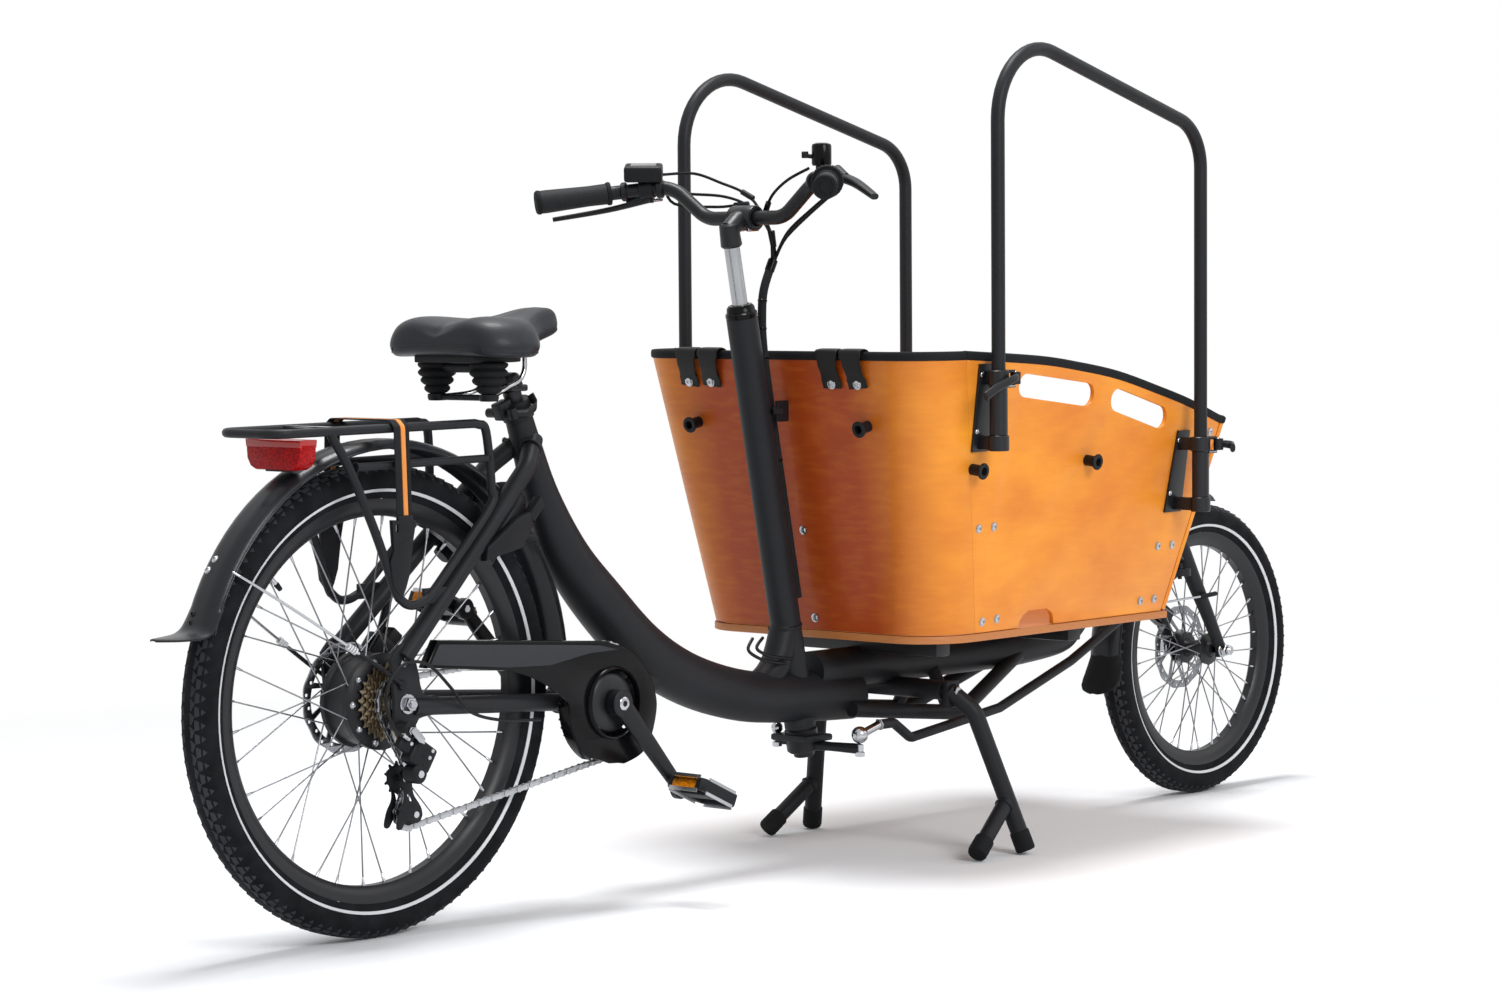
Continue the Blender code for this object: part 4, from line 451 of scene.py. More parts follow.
def surface(name, colour, roughness, metallic=0.0, grain_mm=1.0, height_mm=0.02, tone=0.1,
            stretch=(1, 1, 1), coat=0.0, shine=0.5):
    """A finish with slow changes of tone, a fine grain and an uneven gloss."""
    look = Finish(name)
    broad = look.node("MapRange", "Result", {**NOISE, "Value": look.pattern(70.0, detail=4.0)})
    grain = look.pattern(grain_mm, stretch)
    base = look.node("Mix", 2, {0: broad, 6: shade(colour, 1 - tone), 7: shade(colour, 1 + tone)},
                     data_type="RGBA")
    gloss = look.node("MapRange", "Result", {
        **NOISE, "Value": grain, "To Min": max(roughness - 0.06, 0.03),
        "To Max": roughness + 0.06})
    relief = look.node("Bump", "Normal", {"Height": grain, "Distance": height_mm / 1000})
    return look.done(Base_Color=base, Roughness=gloss, Metallic=metallic, Coat_Weight=coat,
                     Coat_Roughness=0.08, Specular_IOR_Level=shine, Normal=relief)


def black(name, colour, roughness, grain_mm=0.6, height_mm=0.02, **changes):
    """A dark finish with little sheen, as on powder coat, mouldings and rubber."""
    return surface(name, colour, roughness, 0.0, grain_mm, height_mm,
                   **{"shine": 0.16, "tone": 0.08, **changes})


def plywood(name, colour, dark, painted_middle_shade=None):
    """Clear-coated stained birch: fine fibres along the sheet, soft cloudy figure; a third colour,
    if given, is painted shade that darkens the middle of a bent sheet.
    """
    look = Finish(name)
    cloud = look.pattern(120.0, (1.4, 1.4, 0.8), detail=5.0)
    fibre = look.pattern(1.6, (26.0, 26.0, 1.0), detail=4.0)
    fleck = look.pattern(9.0, (5.0, 5.0, 1.0), detail=2.0)
    pale = look.node("MapRange", "Result", {"Value": cloud, "From Min": 0.24, "From Max": 0.74})
    stain_and_painted_shade = look.node("Mix", 2, {0: pale, 6: linear(dark), 7: linear(colour)}, data_type="RGBA")
    if painted_middle_shade:
        # Painted shade: the middle of the bent sheet is painted darker than its corners
        y = look.node("SeparateXYZ", "Y", {"Vector": look.place})
        reach = look.node("Math", "Value", {0: y}, operation="ABSOLUTE")
        outer = look.node("MapRange", "Result", {"Value": reach, "From Min": 0.14,
                                                 "From Max": 0.27})
        stain_and_painted_shade = look.node("Mix", 2, {0: outer, 6: linear(painted_middle_shade), 7: stain_and_painted_shade}, data_type="RGBA")
    lines = look.node("MapRange", "Result", {**NOISE, "Value": fibre, "To Max": 0.1})
    base = look.node("Mix", 2, {0: lines, 6: stain_and_painted_shade, 7: shade(dark, 0.8)}, data_type="RGBA")
    specks = look.node("MapRange", "Result", {"Value": fleck, "From Min": 0.45, "From Max": 0.75,
                                              "To Max": 0.1})
    base = look.node("Mix", 2, {0: specks, 6: base, 7: shade(colour, 1.25)}, data_type="RGBA")
    gloss = look.node("MapRange", "Result", {**NOISE, "Value": fibre, "To Min": 0.34,
                                             "To Max": 0.46})
    relief = look.node("Bump", "Normal", {"Height": fibre, "Distance": 0.03 / 1000})
    return look.done(Base_Color=base, Roughness=gloss, Specular_IOR_Level=0.25, Coat_Weight=0.06,
                     Coat_Roughness=0.12, Normal=relief)


def layered_edge(name, light, dark):
    """The cut edge of a plywood sheet: thin plies seen from the side."""
    look = Finish(name)
    plies = look.node("TexWave", "Fac", {
        "Vector": look.place, "Scale": 160.0, "Distortion": 0.4, "Detail": 1.0},
        bands_direction="Z")
    fibre = look.pattern(2.0, (20.0, 20.0, 1.0))
    bands = look.node("MapRange", "Result", {"Value": plies, "From Min": 0.2, "From Max": 0.8,
                                             "To Max": 0.8})
    base = look.node("Mix", 2, {0: bands, 6: linear(light), 7: linear(dark)}, data_type="RGBA")
    lines = look.node("MapRange", "Result", {**NOISE, "Value": fibre, "To Max": 0.25})
    base = look.node("Mix", 2, {0: lines, 6: base, 7: linear(dark)}, data_type="RGBA")
    relief = look.node("Bump", "Normal", {"Height": fibre, "Distance": 0.03 / 1000})
    return look.done(Base_Color=base, Roughness=0.5, Normal=relief)


def tyre_rubber(name):
    """Road tyre: dusty rubber with a fine matte grain."""
    look = Finish(name)
    dust, grain = look.pattern(30.0, detail=5.0), look.pattern(0.9, detail=2.0)
    worn = look.node("MapRange", "Result", {"Value": dust, "From Min": 0.35, "From Max": 0.7})
    base = look.node("Mix", 2, {0: worn, 6: linear(0x0F1012), 7: linear(0x1C1D20)},
                     data_type="RGBA")
    gloss = look.node("MapRange", "Result", {**NOISE, "Value": grain, "To Min": 0.62,
                                             "To Max": 0.82})
    relief = look.node("Bump", "Normal", {"Height": grain, "Distance": 0.06 / 1000})
    return look.done(Base_Color=base, Roughness=gloss, Specular_IOR_Level=0.08, Normal=relief)


def lens(name, colour, cell_mm=3.2):
    """A moulded reflector: small prisms behind a clear glossy skin, each prism painted with a
    highlight in its middle and shade towards its edges.
    """
    look = Finish(name)
    prisms = look.pattern(cell_mm, kind="cells")
    # Painted highlight and shade: lit and shaded copies of the colour, lighter in each prism's
    # middle
    depth = look.node("MapRange", "Result", {**CELLS, "Value": prisms})
    base = look.node("Mix", 2, {0: depth, 6: shade(colour, 1.25), 7: shade(colour, 0.55)},
                     data_type="RGBA")
    relief = look.node("Bump", "Normal", {"Height": prisms, "Distance": 0.35 / 1000,
                                          "Strength": 0.6})
    return look.done(Base_Color=base, Roughness=0.26, Specular_IOR_Level=0.12, Normal=relief)


def textured(name, colour, roughness, cell_mm, depth_mm, coat=0.0):
    """A pebbled or dotted moulding such as a grip, vinyl or fine grained plastic."""
    look = Finish(name)
    cells, fine = look.pattern(cell_mm, kind="cells"), look.pattern(0.6)
    depth = look.node("MapRange", "Result", {**CELLS, "Value": cells})
    base = look.node("Mix", 2, {0: depth, 6: shade(colour, 1.12), 7: shade(colour, 0.85)},
                     data_type="RGBA")
    gloss = look.node("MapRange", "Result", {
        **NOISE, "Value": fine, "To Min": roughness - 0.05, "To Max": roughness + 0.08})
    relief = look.node("Bump", "Normal", {"Height": cells, "Distance": depth_mm / 1000,
                                          "Strength": 0.8})
    return look.done(Base_Color=base, Roughness=gloss, Specular_IOR_Level=0.22, Coat_Weight=coat,
                     Normal=relief)


def make_looks(chosen):
    """Every material, by the finish it stands for."""
    brushed = (1.0, 1.0, 30.0)
    return {
        # Fine matte powder coat on the steel and aluminium tubes
        "powder_coat": black("charcoal_powder_coat", chosen.frame_coat, 0.46, 0.5, 0.03),
        # Hard anodised alloy: rims, cranks, brackets
        "anodised": black("black_anodised_alloy", 0x191A1D, 0.36, 0.4, 0.01, shine=0.3),
        "forged": black("black_painted_forging", 0x131417, 0.4, 0.8, shine=0.24),
        # Injection-moulded nylon and polypropylene
        "moulded": black("satin_black_moulding", 0x16171A, 0.46, 0.5, 0.03),
        "mudguard": black("satin_mudguard_skin", 0x202226, 0.34, 0.7, 0.01, coat=0.12),
        "gloss": black("gloss_black_cover", 0x0A0A0C, 0.2, 0.8, 0.01, shine=0.12),
        "stippled": textured("stippled_black_cover", 0x303236, 0.66, 1.4, 0.15),
        "rubber": black("matte_black_rubber", 0x151618, 0.74, 0.7, 0.05, shine=0.15),
        "tyre": tyre_rubber("road_tyre_rubber"),
        # Tread blocks lighter than the casing: partly dust, partly painted light from above,
        # leaving the darker casing between them as painted shade in the grooves
        "tread": black("tread_rubber_dust_and_painted_light", 0x313236, 0.72, 0.8, 0.06, tone=0.2),
        "grip": textured("dotted_grip_rubber", 0x1B1D20, 0.66, 2.2, 0.35),
        "vinyl": textured("black_saddle_vinyl", 0x202227, 0.46, 1.1, 0.1, 0.04),
        "leather": textured("black_strap_leather", 0x0B0B0C, 0.44, 0.9, 0.08),
        "webbing": black("black_elastic_band", 0x1A1B1E, 0.78, 0.7, 0.15, stretch=(1, 1, 0.4)),
        "orange_band": surface("orange_elastic_band", chosen.band, 0.74, 0.0, 0.7, 0.15,
                               stretch=(1, 1, 0.4), shine=0.2),
        # Bright metals
        "bright_screws": surface("zinc_plated_steel", 0xB2B4B8, 0.26, 1.0, 0.6, 0.01),
        "chrome": surface("chromed_steel", 0xB0B2B6, 0.14, 1.0, 0.8, 0.002, 0.04),
        "spoke": surface("stainless_spoke_wire", 0x85878B, 0.28, 1.0, 0.5, 0.004),
        "brushed": surface("brushed_alloy", 0xA8AAAD, 0.3, 1.0, 0.5, 0.02, 0.05, brushed),
        "rotor": surface("ground_rotor_steel", 0x8C8E92, 0.28, 1.0, 0.4, 0.02, 0.08),
        "bronze": surface("bronze_plated_sprocket", 0x8A7D68, 0.34, 1.0, 0.6, 0.01, 0.16),
        "chain": surface("plated_chain_steel", 0xA4A6A9, 0.28, 1.0, 0.7, 0.02, 0.16),
        # Timber
        "plywood": plywood("honey_stained_plywood", chosen.plywood, 0xCE7224),
        # The rear sheet: darker plywood than the sides, darkest in its middle, as painted shade
        "plywood_rear": plywood("rear_sheet_plywood_painted_shade", chosen.plywood, 0xC66C20, 0xA23E0E),
        "ply_edge": layered_edge("plywood_edge", 0xC47E40, 0x9A5828),
        # Lamps and signals
        "red_lens": lens("red_lamp_lens", 0xB00A10),
        "dark_lens": surface("upper_lamp_band", 0x9C1410, 0.18, 0.0, 2.0, 0.01, coat=0.2),
        "amber": lens("amber_reflector", 0xE88A14, 2.4),
        "white_stripe": surface("reflective_tyre_stripe", 0xC9CBCD, 0.3, 0.0, 0.9, 0.02),
        "white": surface("white_nylon", 0xC8C9CB, 0.45, 0.0, 0.8, 0.01),
        "screen": surface("dark_display_glass", 0x0A0B0D, 0.08, 0.0, 2.0, 0.001, coat=0.3,
                          shine=0.3),
    }


LOOKS = {}

# Frame

BEAM = ((0.2915, 0.733, 0.02), (0.31, 0.682, 0.0222), (0.34, 0.604, 0.0272), (0.389, 0.517, 0.0355),
        (0.455, 0.445, 0.0405), (0.546, 0.366, 0.041), (0.648, 0.311, 0.0405), (0.775, 0.275, 0.04),
        (0.91, 0.262, 0.04), (1.03, 0.256, 0.04))


def dropout(shape, side):
    """Rear dropout plate with its axle nut, washer and rack bolt."""
    outline = smooth_flat(((-0.03, 0.4), (-0.006, 0.42), (0.018, 0.39), (0.03, 0.347), (0.06, 0.34),
                           (0.06, 0.318), (0.022, 0.312), (0.01, 0.288), (-0.01, 0.284),
                           (-0.022, 0.3), (-0.024, 0.345)), 3)
    shape.use("powder_coat").plate(outline, 0.006, at(0, side * 0.0715, 0), FORWARD, UP)
    shape.use("chrome")
    shape.pin(0, REAR_AXLE_Z, side * 0.0745, side * 0.0765, 0.0145)
    shape.pin(0, REAR_AXLE_Z, side * 0.0765, side * 0.085, 0.0105, sides=6)
    shape.pin(0, REAR_AXLE_Z, side * 0.085, side * 0.0895, 0.0058)
    shape.pin(-0.01, 0.392, side * 0.0745, side * 0.0795, 0.0055, sides=6)


def caliper(shape, degrees, *blocks):
    """A brake caliper's blocks, each with its place, size and bevel, tilted together."""
    tilt = Matrix.Rotation(math.radians(degrees), 3, "Y")
    for place, size, bevel in blocks:
        shape.block(at(*place), size, tilt, bevel)


def rear_frame():
    """Beam, column tube, bracket and stays, welded, with the dropouts."""
    shape = Shape("rear_frame", "powder_coat")
    line = smooth([Vector(station) for station in BEAM], 7)
    path = [at(p.x, 0, p.y) for p in line]
    shape.tube(path, 0.04, 40, scales=[p.z / 0.04 for p in line])
    shape.rod(column_point(0.214), column_point(0.862), 0.0245, sides=40)
    gusset = smooth([at(0.77, 0, 0.27), at(0.812, 0, 0.286), at(0.85, 0, 0.315),
                     column_point(0.372, -0.004)], 5)
    shape.tube(gusset, 0.024, 24)
    shape.weld(column_point(0.376, -0.002), COLUMN_UP, 0.0258, 0.002)
    shape.pin(*BRACKET, -0.036, 0.036, 0.022, sides=32)
    shape.tube(smooth([at(0.404, 0, 0.302), at(0.47, 0, 0.306), at(0.6, 0, 0.33)]), 0.026, 24,
               scales=[0.86 + 0.14 * min(i / 6, 1) for i in range(13)])
    for y in (-0.0275, 0.0275):
        shape.weld(at(BRACKET[0], y, BRACKET[1]), AXLE, 0.0222, 0.0018)
    for side in (-1, 1):
        stay = rounded([at(0.312, side * 0.012, 0.69), at(0.272, side * 0.04, 0.652),
                        at(0.2, side * 0.049, 0.587), at(-0.006, side * 0.0715, 0.398)], 0.05)
        shape.sweep(stay, oval(0.0135, 0.015, 20), AXLE)
        shape.weld(at(0.297, side * 0.0225, 0.678), Vector((0.82, -side * 0.35, 0.45)), 0.015,
                   0.0022)
        chain_stay = smooth([at(0.012, side * 0.0708, 0.33), at(0.15, side * 0.06, 0.32),
                             at(0.3, side * 0.0445, 0.309), at(0.345, side * 0.0395, 0.3055),
                             at(0.408, side * 0.022, 0.3026)])
        shape.tube(chain_stay, 0.013, 20)
        dropout(shape, side)
        shape.use("powder_coat")
    frame_fittings(shape)
    shape.ride("frame", "main_frame", slot="frame_paint")


def frame_fittings(shape):
    """Seat clamp, column collar and clip, rear caliper with its hose, two cable loops."""
    shape.rod(seat_point(0.7215), seat_point(0.748), 0.0232, sides=36)
    shape.block(seat_point(0.7345, -0.028), (0.024, 0.02, 0.026),
                Matrix.Rotation(math.radians(-20.5), 3, "Y"), 0.003)
    shape.use("forged")
    shape.rod(seat_point(0.73, -0.034, 0.008), seat_point(0.73, -0.034, 0.026), 0.007)
    shape.use("gloss")
    shape.lathe([(0.0242, 0), (0.025, 0.002), (0.025, 0.007), (0.0226, 0.009), (0.0216, 0.016),
                 (0.0185, 0.0198), (0.015, 0.0204), (0.0136, 0.02), (0.0136, 0.004)],
                column_point(0.862), COLUMN_UP, 40, True)
    shape.use("forged")
    shape.block(at(0.838, -0.03, 0.716), (0.028, 0.004, 0.033), bevel=0.001)
    shape.rod(column_point(0.716, 0.01, -0.026), at(0.836, -0.03, 0.716), 0.006)
    caliper(shape, 40, ((0.0713, 0.049, 0.3957), (0.05, 0.01, 0.034), 0.004),
            ((0.0713, 0.0665, 0.3957), (0.05, 0.015, 0.034), 0.004),
            ((0.085, 0.058, 0.4095), (0.022, 0.026, 0.034), 0.003))
    for points in (((0.772, -0.025, 0.366), (0.756, -0.03, 0.35), (0.776, -0.032, 0.336),
                    (0.811, -0.03, 0.3265), (0.868, -0.018, 0.318)),
                   ((0.79, -0.03, 0.366), (0.77, -0.035, 0.352), (0.79, -0.036, 0.34),
                    (0.83, -0.03, 0.332), (0.868, -0.022, 0.326))):
        shape.tube(smooth([at(*point) for point in points]), 0.0026, 12)
    shape.tube(smooth([at(0.078, 0.068, 0.412), at(0.087, 0.066, 0.445), at(0.095, 0.061, 0.482)]),
               0.006, 12)


def front_frame():
    """The pipe under the box up to the head tube, two braces and the box's bearers."""
    shape = Shape("front_frame_tubes", "powder_coat")
    path = [at(1.028, 0, 0.3)] + smooth(
        [at(1.44, 0, 0.299), at(1.56, 0, 0.309), at(1.597, 0, 0.327),
         at(1.64, 0, 0.372), at(1.68, 0, 0.45), at(1.73, 0, 0.535),
         at(1.774, 0, 0.585)], 6)
    shape.tube([at(0.932, 0, 0.3)] + path, 0.032, 32)
    shape.rod(head_point(0.024), head_point(0.132), 0.0225, sides=32)
    shape.weld(at(1.75, 0, 0.56), Vector((0.62, 0, 0.78)), 0.0335)
    for side in (-1, 1):
        brace = rounded([at(0.985, side * 0.044, 0.238), at(1.24, side * 0.058, 0.212),
                         at(1.44, side * 0.02, 0.29)], 0.06)
        shape.tube(brace, 0.0125, 20)
        shape.rod(at(1.215, side * 0.056, 0.214), at(1.215, side * 0.02, 0.285), 0.011)
    sleeve = [(0.016, -0.118), (0.016, 0.118), (0.01, 0.118), (0.01, -0.118)]
    shape.lathe(sleeve, at(STAND_X, 0, STAND_Z), AXLE, 28, True)
    shape.use("anodised")
    for x in (1.06, 1.4):
        shape.block(at(x, 0, 0.3385), (0.034, 0.34, 0.029), bevel=0.003)
    shape.ride("frame", "front_frame", slot="frame_paint")


# Wheels

SPOKES = 36
RIM_DEPTH = 0.0248


def ring_places(count, radius, centre, y, spin=0.0, lean=0.0):
    """Places round an axle, each part standing outwards."""
    places = []
    for index in range(count):
        angle = math.tau * (index + spin) / count
        out = Vector((math.cos(angle), 0, math.sin(angle)))
        places.append((centre + out * radius + Vector((0, y, 0)),
                       facing(out) @ Matrix.Rotation(lean, 3, "Z"), ONE))
    return places


def tread(name, centre, radius, count, body):
    """Slanted blocks: two rows near the crown and a ribbed row on each shoulder."""
    # The blocks' lighter rubber is partly dust, partly painted light; the darker casing between
    # them is painted groove shade
    crown = Shape("tread_block", "tread")
    crown.plate([(-0.0078, -0.0046), (0.0045, -0.006), (0.008, 0.004), (-0.004, 0.0058)], 0.0018,
                Vector(), FORWARD, AXLE, bevel=0.0004)
    rib = Shape("tread_rib", "tread")
    rib.plate([(-0.008, -0.007), (0.0078, -0.0072), (0.0046, 0.003), (0.0004, 0.0082),
               (-0.0036, 0.003)], 0.0018, Vector(), FORWARD, AXLE, bevel=0.0004)
    rows = {"_crown_blocks": (crown, []), "_shoulder_ribs": (rib, [])}
    for side in (-1, 1):
        flip = Matrix.Rotation(math.pi if side < 0 else 0, 3, "Z")
        rows["_crown_blocks"][1].extend(ring_places(
            count, radius - 0.0026, centre, side * 0.0064, 0.25 * side, side * 0.35))
        for point, turn, size in ring_places(count, radius - 0.0084, centre, side * 0.018,
                                             0.25 * side + 0.5):
            places = rows["_shoulder_ribs"][1]
            places.append((point, turn @ Matrix.Rotation(-side * 0.66, 3, "X") @ flip, size))
    for ending, (part, places) in rows.items():
        copies(name + ending, part, places, "tread", body, "tyre")


def wheel(name, centre, radius, bead, body, flange, blocks):
    """Tyre, rim, spokes with nipples and valve; flange gives each side's radius and y."""
    half = [(radius - 0.0014, 0.0), (radius - 0.0016, 0.006), (radius - 0.004, 0.013),
            (radius - 0.0085, 0.02), (radius - 0.015, 0.025), (radius - 0.0215, 0.0268),
            (radius - 0.029, 0.0262), (radius - 0.037, 0.0232), (bead + 0.006, 0.019),
            (bead, 0.0166), (bead, 0.0125), (radius - 0.011, 0.0175), (radius - 0.006, 0.0)]
    profile = half + [(r, -y) for r, y in reversed(half[1:-1])]
    casing = Shape(name + "_casing", "tyre")
    casing.lathe(profile, centre, AXLE, 128, True)
    casing.use("white_stripe")
    for side in (-1, 1):
        casing.lathe([(radius - 0.036, side * 0.0238), (radius - 0.036, side * 0.0245),
                      (radius - 0.0402, side * 0.0225), (radius - 0.0402, side * 0.0215)], centre,
                     AXLE, 128, True)
    casing.ride(body, name + "_tyre", slot="tyre")
    tread(name, centre, radius, blocks, body)

    rim(name, centre, bead, body)
    spokes(name, centre, bead - RIM_DEPTH, body, flange)


def rim(name, centre, bead, body):
    """A hollow rim with the valve that sticks out of it."""
    edge, inner = bead - 0.0003, bead - RIM_DEPTH
    well = [(edge, 0.0163), (edge - 0.003, 0.0166), (edge - 0.012, 0.0152), (inner + 0.004, 0.0112),
            (inner, 0.007)]
    hoop = Shape(name + "_rim_hoop", "anodised")
    hoop.lathe(well + [(r, -y) for r, y in reversed(well)]
               + [(edge - 0.009, -0.012), (edge - 0.009, 0.012)], centre, AXLE, 128, True)
    hoop.use("bright_screws")
    down = Vector((math.cos(2.35), 0, math.sin(2.35)))
    hoop.rod(centre + down * (inner + 0.002), centre + down * (inner - 0.014), 0.003)
    hoop.use("rubber")
    hoop.rod(centre + down * (inner - 0.014), centre + down * (inner - 0.026), 0.0042, 0.0034)
    hoop.ride(body, name + "_rim", slot="black_alloy")


def spokes(name, centre, inner, body, flange):
    """Crossed spokes from both flanges of the hub, each with its nipple at the rim."""
    wire, nipple, wires, nipples = Shape("wire", "spoke"), Shape("nipple", "spoke"), [], []
    wire.rod(Vector((0, 0, 0)), Vector((0, 0, 1)), 0.00115, sides=8, bevel=0.0001)
    nipple.rod(Vector((0, 0, -0.013)), Vector((0, 0, 0.001)), 0.0016, 0.0026, 10, 0.0003)
    for index in range(SPOKES):
        side, lean = (1 if index % 2 else -1), (1 if (index // 2) % 2 else -1)
        rim_angle = math.tau * (index + 0.5) / SPOKES
        hub_angle = rim_angle - lean * math.radians(34)
        hub_radius, hub_y = flange[side]
        low = centre + Vector((hub_radius * math.cos(hub_angle), hub_y + lean * 0.0022,
                               hub_radius * math.sin(hub_angle)))
        high = centre + Vector((inner * math.cos(rim_angle), side * 0.003,
                                inner * math.sin(rim_angle)))
        turn = facing(high - low)
        wires.append((low, turn, (1, 1, (high - low).length - 0.004)))
        nipples.append((high, turn, ONE))
    copies(name + "_spokes", wire, wires, "spoke", body, "bright_alloy")
    copies(name + "_nipples", nipple, nipples, "bright_screws", body, "bright_alloy")


def rotor(name, centre, y, radius, body):
    """A wavy brake disc: scalloped rim, round holes and nine thin curved arms."""
    outline = []
    for step in range(144):
        angle = math.tau * step / 144
        reach = radius - 0.0022 * (0.5 + 0.5 * math.cos(12 * angle))
        outline.append((reach * math.cos(angle), reach * math.sin(angle)))
    holes = []
    for index in range(24):
        angle = math.tau * (index + 0.5) / 24
        reach = radius - (0.0065 if index % 2 else 0.011)
        holes.append(arc((reach * math.cos(angle), reach * math.sin(angle)), 0.0026, 0, 330, 8))
    for index in range(9):
        start = 40 * index
        outer, inner = radius - 0.015, 0.031
        holes.append(arc((0, 0), outer, start + 4, start + 36, 7) + arc((0, 0), inner, start + 16,
                                                                        start - 14, 6))
    disc = Shape(name, "rotor")
    disc.plate(outline, 0.0022, centre + Vector((0, y, 0)), FORWARD, UP, holes, 0.0003)
    disc.ride(body, slot="bright_alloy")


def bolt_ring(name, centre, y, radius, count, body, direction, size=0.0046):
    """Screws round an axle, all facing sideways."""
    turn = facing(AXLE * direction, UP)
    places = [(point, turn, ONE) for point, _, _ in ring_places(count, radius, centre, y)]
    copies(name, pan_screw(size), places, "bright_screws", body, "bright_alloy")


def rear_wheel():
    centre = at(0, 0, REAR_AXLE_Z)
    wheel("rear", centre, REAR_AXLE_Z, 0.2848, "rear_wheel",
          {-1: (0.064, -0.019), 1: (0.064, 0.029)}, 112)
    motor = Shape("hub_motor_shell", "forged")
    motor.lathe([(0.0075, 0.053), (0.02, 0.053), (0.0225, 0.041), (0.033, 0.0395), (0.058, 0.0355),
                 (0.065, 0.0335), (0.0682, 0.0315), (0.0682, 0.024), (0.064, 0.0225),
                 (0.0628, 0.02), (0.0628, -0.01), (0.064, -0.0125), (0.0682, -0.014),
                 (0.0682, -0.0225), (0.064, -0.0255), (0.05, -0.0298), (0.02, -0.031),
                 (0.0075, -0.031)], centre, AXLE, 72, True)
    motor.use("bright_screws")
    motor.lathe([(0.007, -0.031), (0.0165, -0.031), (0.0165, -0.0595), (0.007, -0.0595)], centre,
                AXLE, 32, True)
    motor.ride("rear_wheel", "rear_hub_motor", slot="hub_black")
    rotor("rear_rotor", centre, 0.055, 0.08, "rear_wheel")
    bolt_ring("hub_motor_screws", centre, 0.0345, 0.06, 10, "rear_wheel", 1)
    bolt_ring("hub_cover_screws", centre, -0.027, 0.0585, 10, "rear_wheel", -1)
    bolt_ring("rear_rotor_bolts", centre, 0.056, 0.025, 6, "rear_wheel", 1)


CHAIN_PITCH = 0.0127


def pitch_radius(teeth):
    return teeth * CHAIN_PITCH / math.tau


def toothed(shape, teeth, y, centre, thickness=0.0019, inner=0.018, holes=()):
    """A sprocket with blunt teeth for a half-inch chain."""
    pitch = pitch_radius(teeth)
    outline = []
    for tooth in range(teeth):
        for share, depth in ((0.0, 0.003), (0.28, 0.0012), (0.42, -0.0032), (0.58, -0.0032),
                             (0.72, 0.0012)):
            angle, reach = math.tau * (tooth + share) / teeth, pitch - depth
            outline.append((reach * math.cos(angle), reach * math.sin(angle)))
    shape.plate(outline, thickness, centre + Vector((0, y, 0)), FORWARD, UP,
                [arc((0, 0), inner, 0, 350, 30), *holes], 0.0003)


def sprockets():
    """Seven sprockets with spacers, of which the chain takes the third smallest."""
    centre = at(0, 0, REAR_AXLE_Z)
    stack = Shape("sprocket_stack", "bronze")
    for index, teeth in enumerate((26, 23, 20, 18, 16, 14, 13)):
        toothed(stack, teeth, -0.034 - index * 0.0036, centre)
    stack.lathe([(0.0178, -0.033), (0.0235, -0.033), (0.0235, -0.056), (0.0178, -0.0565)], centre,
                AXLE, 40, True)
    stack.use("bright_screws")
    stack.lathe([(0.0178, -0.056), (0.0195, -0.056), (0.0195, -0.0572), (0.0178, -0.0572)], centre,
                AXLE, 40, True)
    stack.ride("sprockets", "cassette", slot="bronze_steel")


def front_wheel():
    centre = at(FRONT_AXLE_X, 0, FRONT_AXLE_Z)
    wheel("front", centre, FRONT_AXLE_Z, 0.2083, "front_wheel",
          {-1: (0.0245, -0.0284), 1: (0.0245, 0.02)}, 86)
    hub = Shape("front_hub_shell", "anodised")
    hub.lathe([(0.0065, 0.042), (0.012, 0.042), (0.0165, 0.0335), (0.0165, 0.025), (0.02, 0.024),
               (0.0278, 0.0228), (0.0278, 0.0175), (0.017, 0.015), (0.0142, 0.008),
               (0.0142, -0.018), (0.017, -0.0235), (0.0278, -0.0262), (0.0278, -0.0315),
               (0.016, -0.0345), (0.013, -0.04), (0.0065, -0.042)], centre, AXLE, 40, True)
    hub.ride("front_wheel", "front_hub", slot="hub_black")
    rotor("front_rotor", centre, 0.033, 0.075, "front_wheel")
    bolt_ring("front_rotor_bolts", centre, 0.034, 0.022, 6, "front_wheel", 1, 0.0036)


# Box

SIDE_FLARE, SIDE_TAPER = 0.122, 0.0294
SIDE_FOOT_X, SIDE_FOOT_Z = 1.045, 0.355
BASE_Z, FRONT_TOP_Z = 0.366, 0.69
CORNER_RADIUS = 0.085
REAR_WALL_OUT = Vector((-1, 0, -COLUMN_LEAN)).normalized()


def side_half(x, z):
    """Half width of the box at a place: it narrows downwards and forwards."""
    return 0.25 + SIDE_FLARE * (z - SIDE_FOOT_Z) - SIDE_TAPER * (x - SIDE_FOOT_X)


def rear_wall_x(z):
    return 0.848 + (0.806 - z) * COLUMN_LEAN


def front_wall_x(z):
    return 1.56 + 0.126 * (z - BASE_Z) / 0.324


def seam_x(z):
    return rear_wall_x(z) + 0.103


def corner_line(z, margin):
    """Half outline (x, y) of the rear sheet, from the seam to the middle."""
    edge = side_half(seam_x(z), z) + margin
    centre = (rear_wall_x(z) + CORNER_RADIUS, edge - CORNER_RADIUS - margin)
    return [(seam_x(z), edge)] + arc(centre, CORNER_RADIUS + margin, 90, 180, 16)


def rear_sheet_line(z, margin):
    half = corner_line(z, margin)
    return half + [(x, -y) for x, y in reversed(half)]


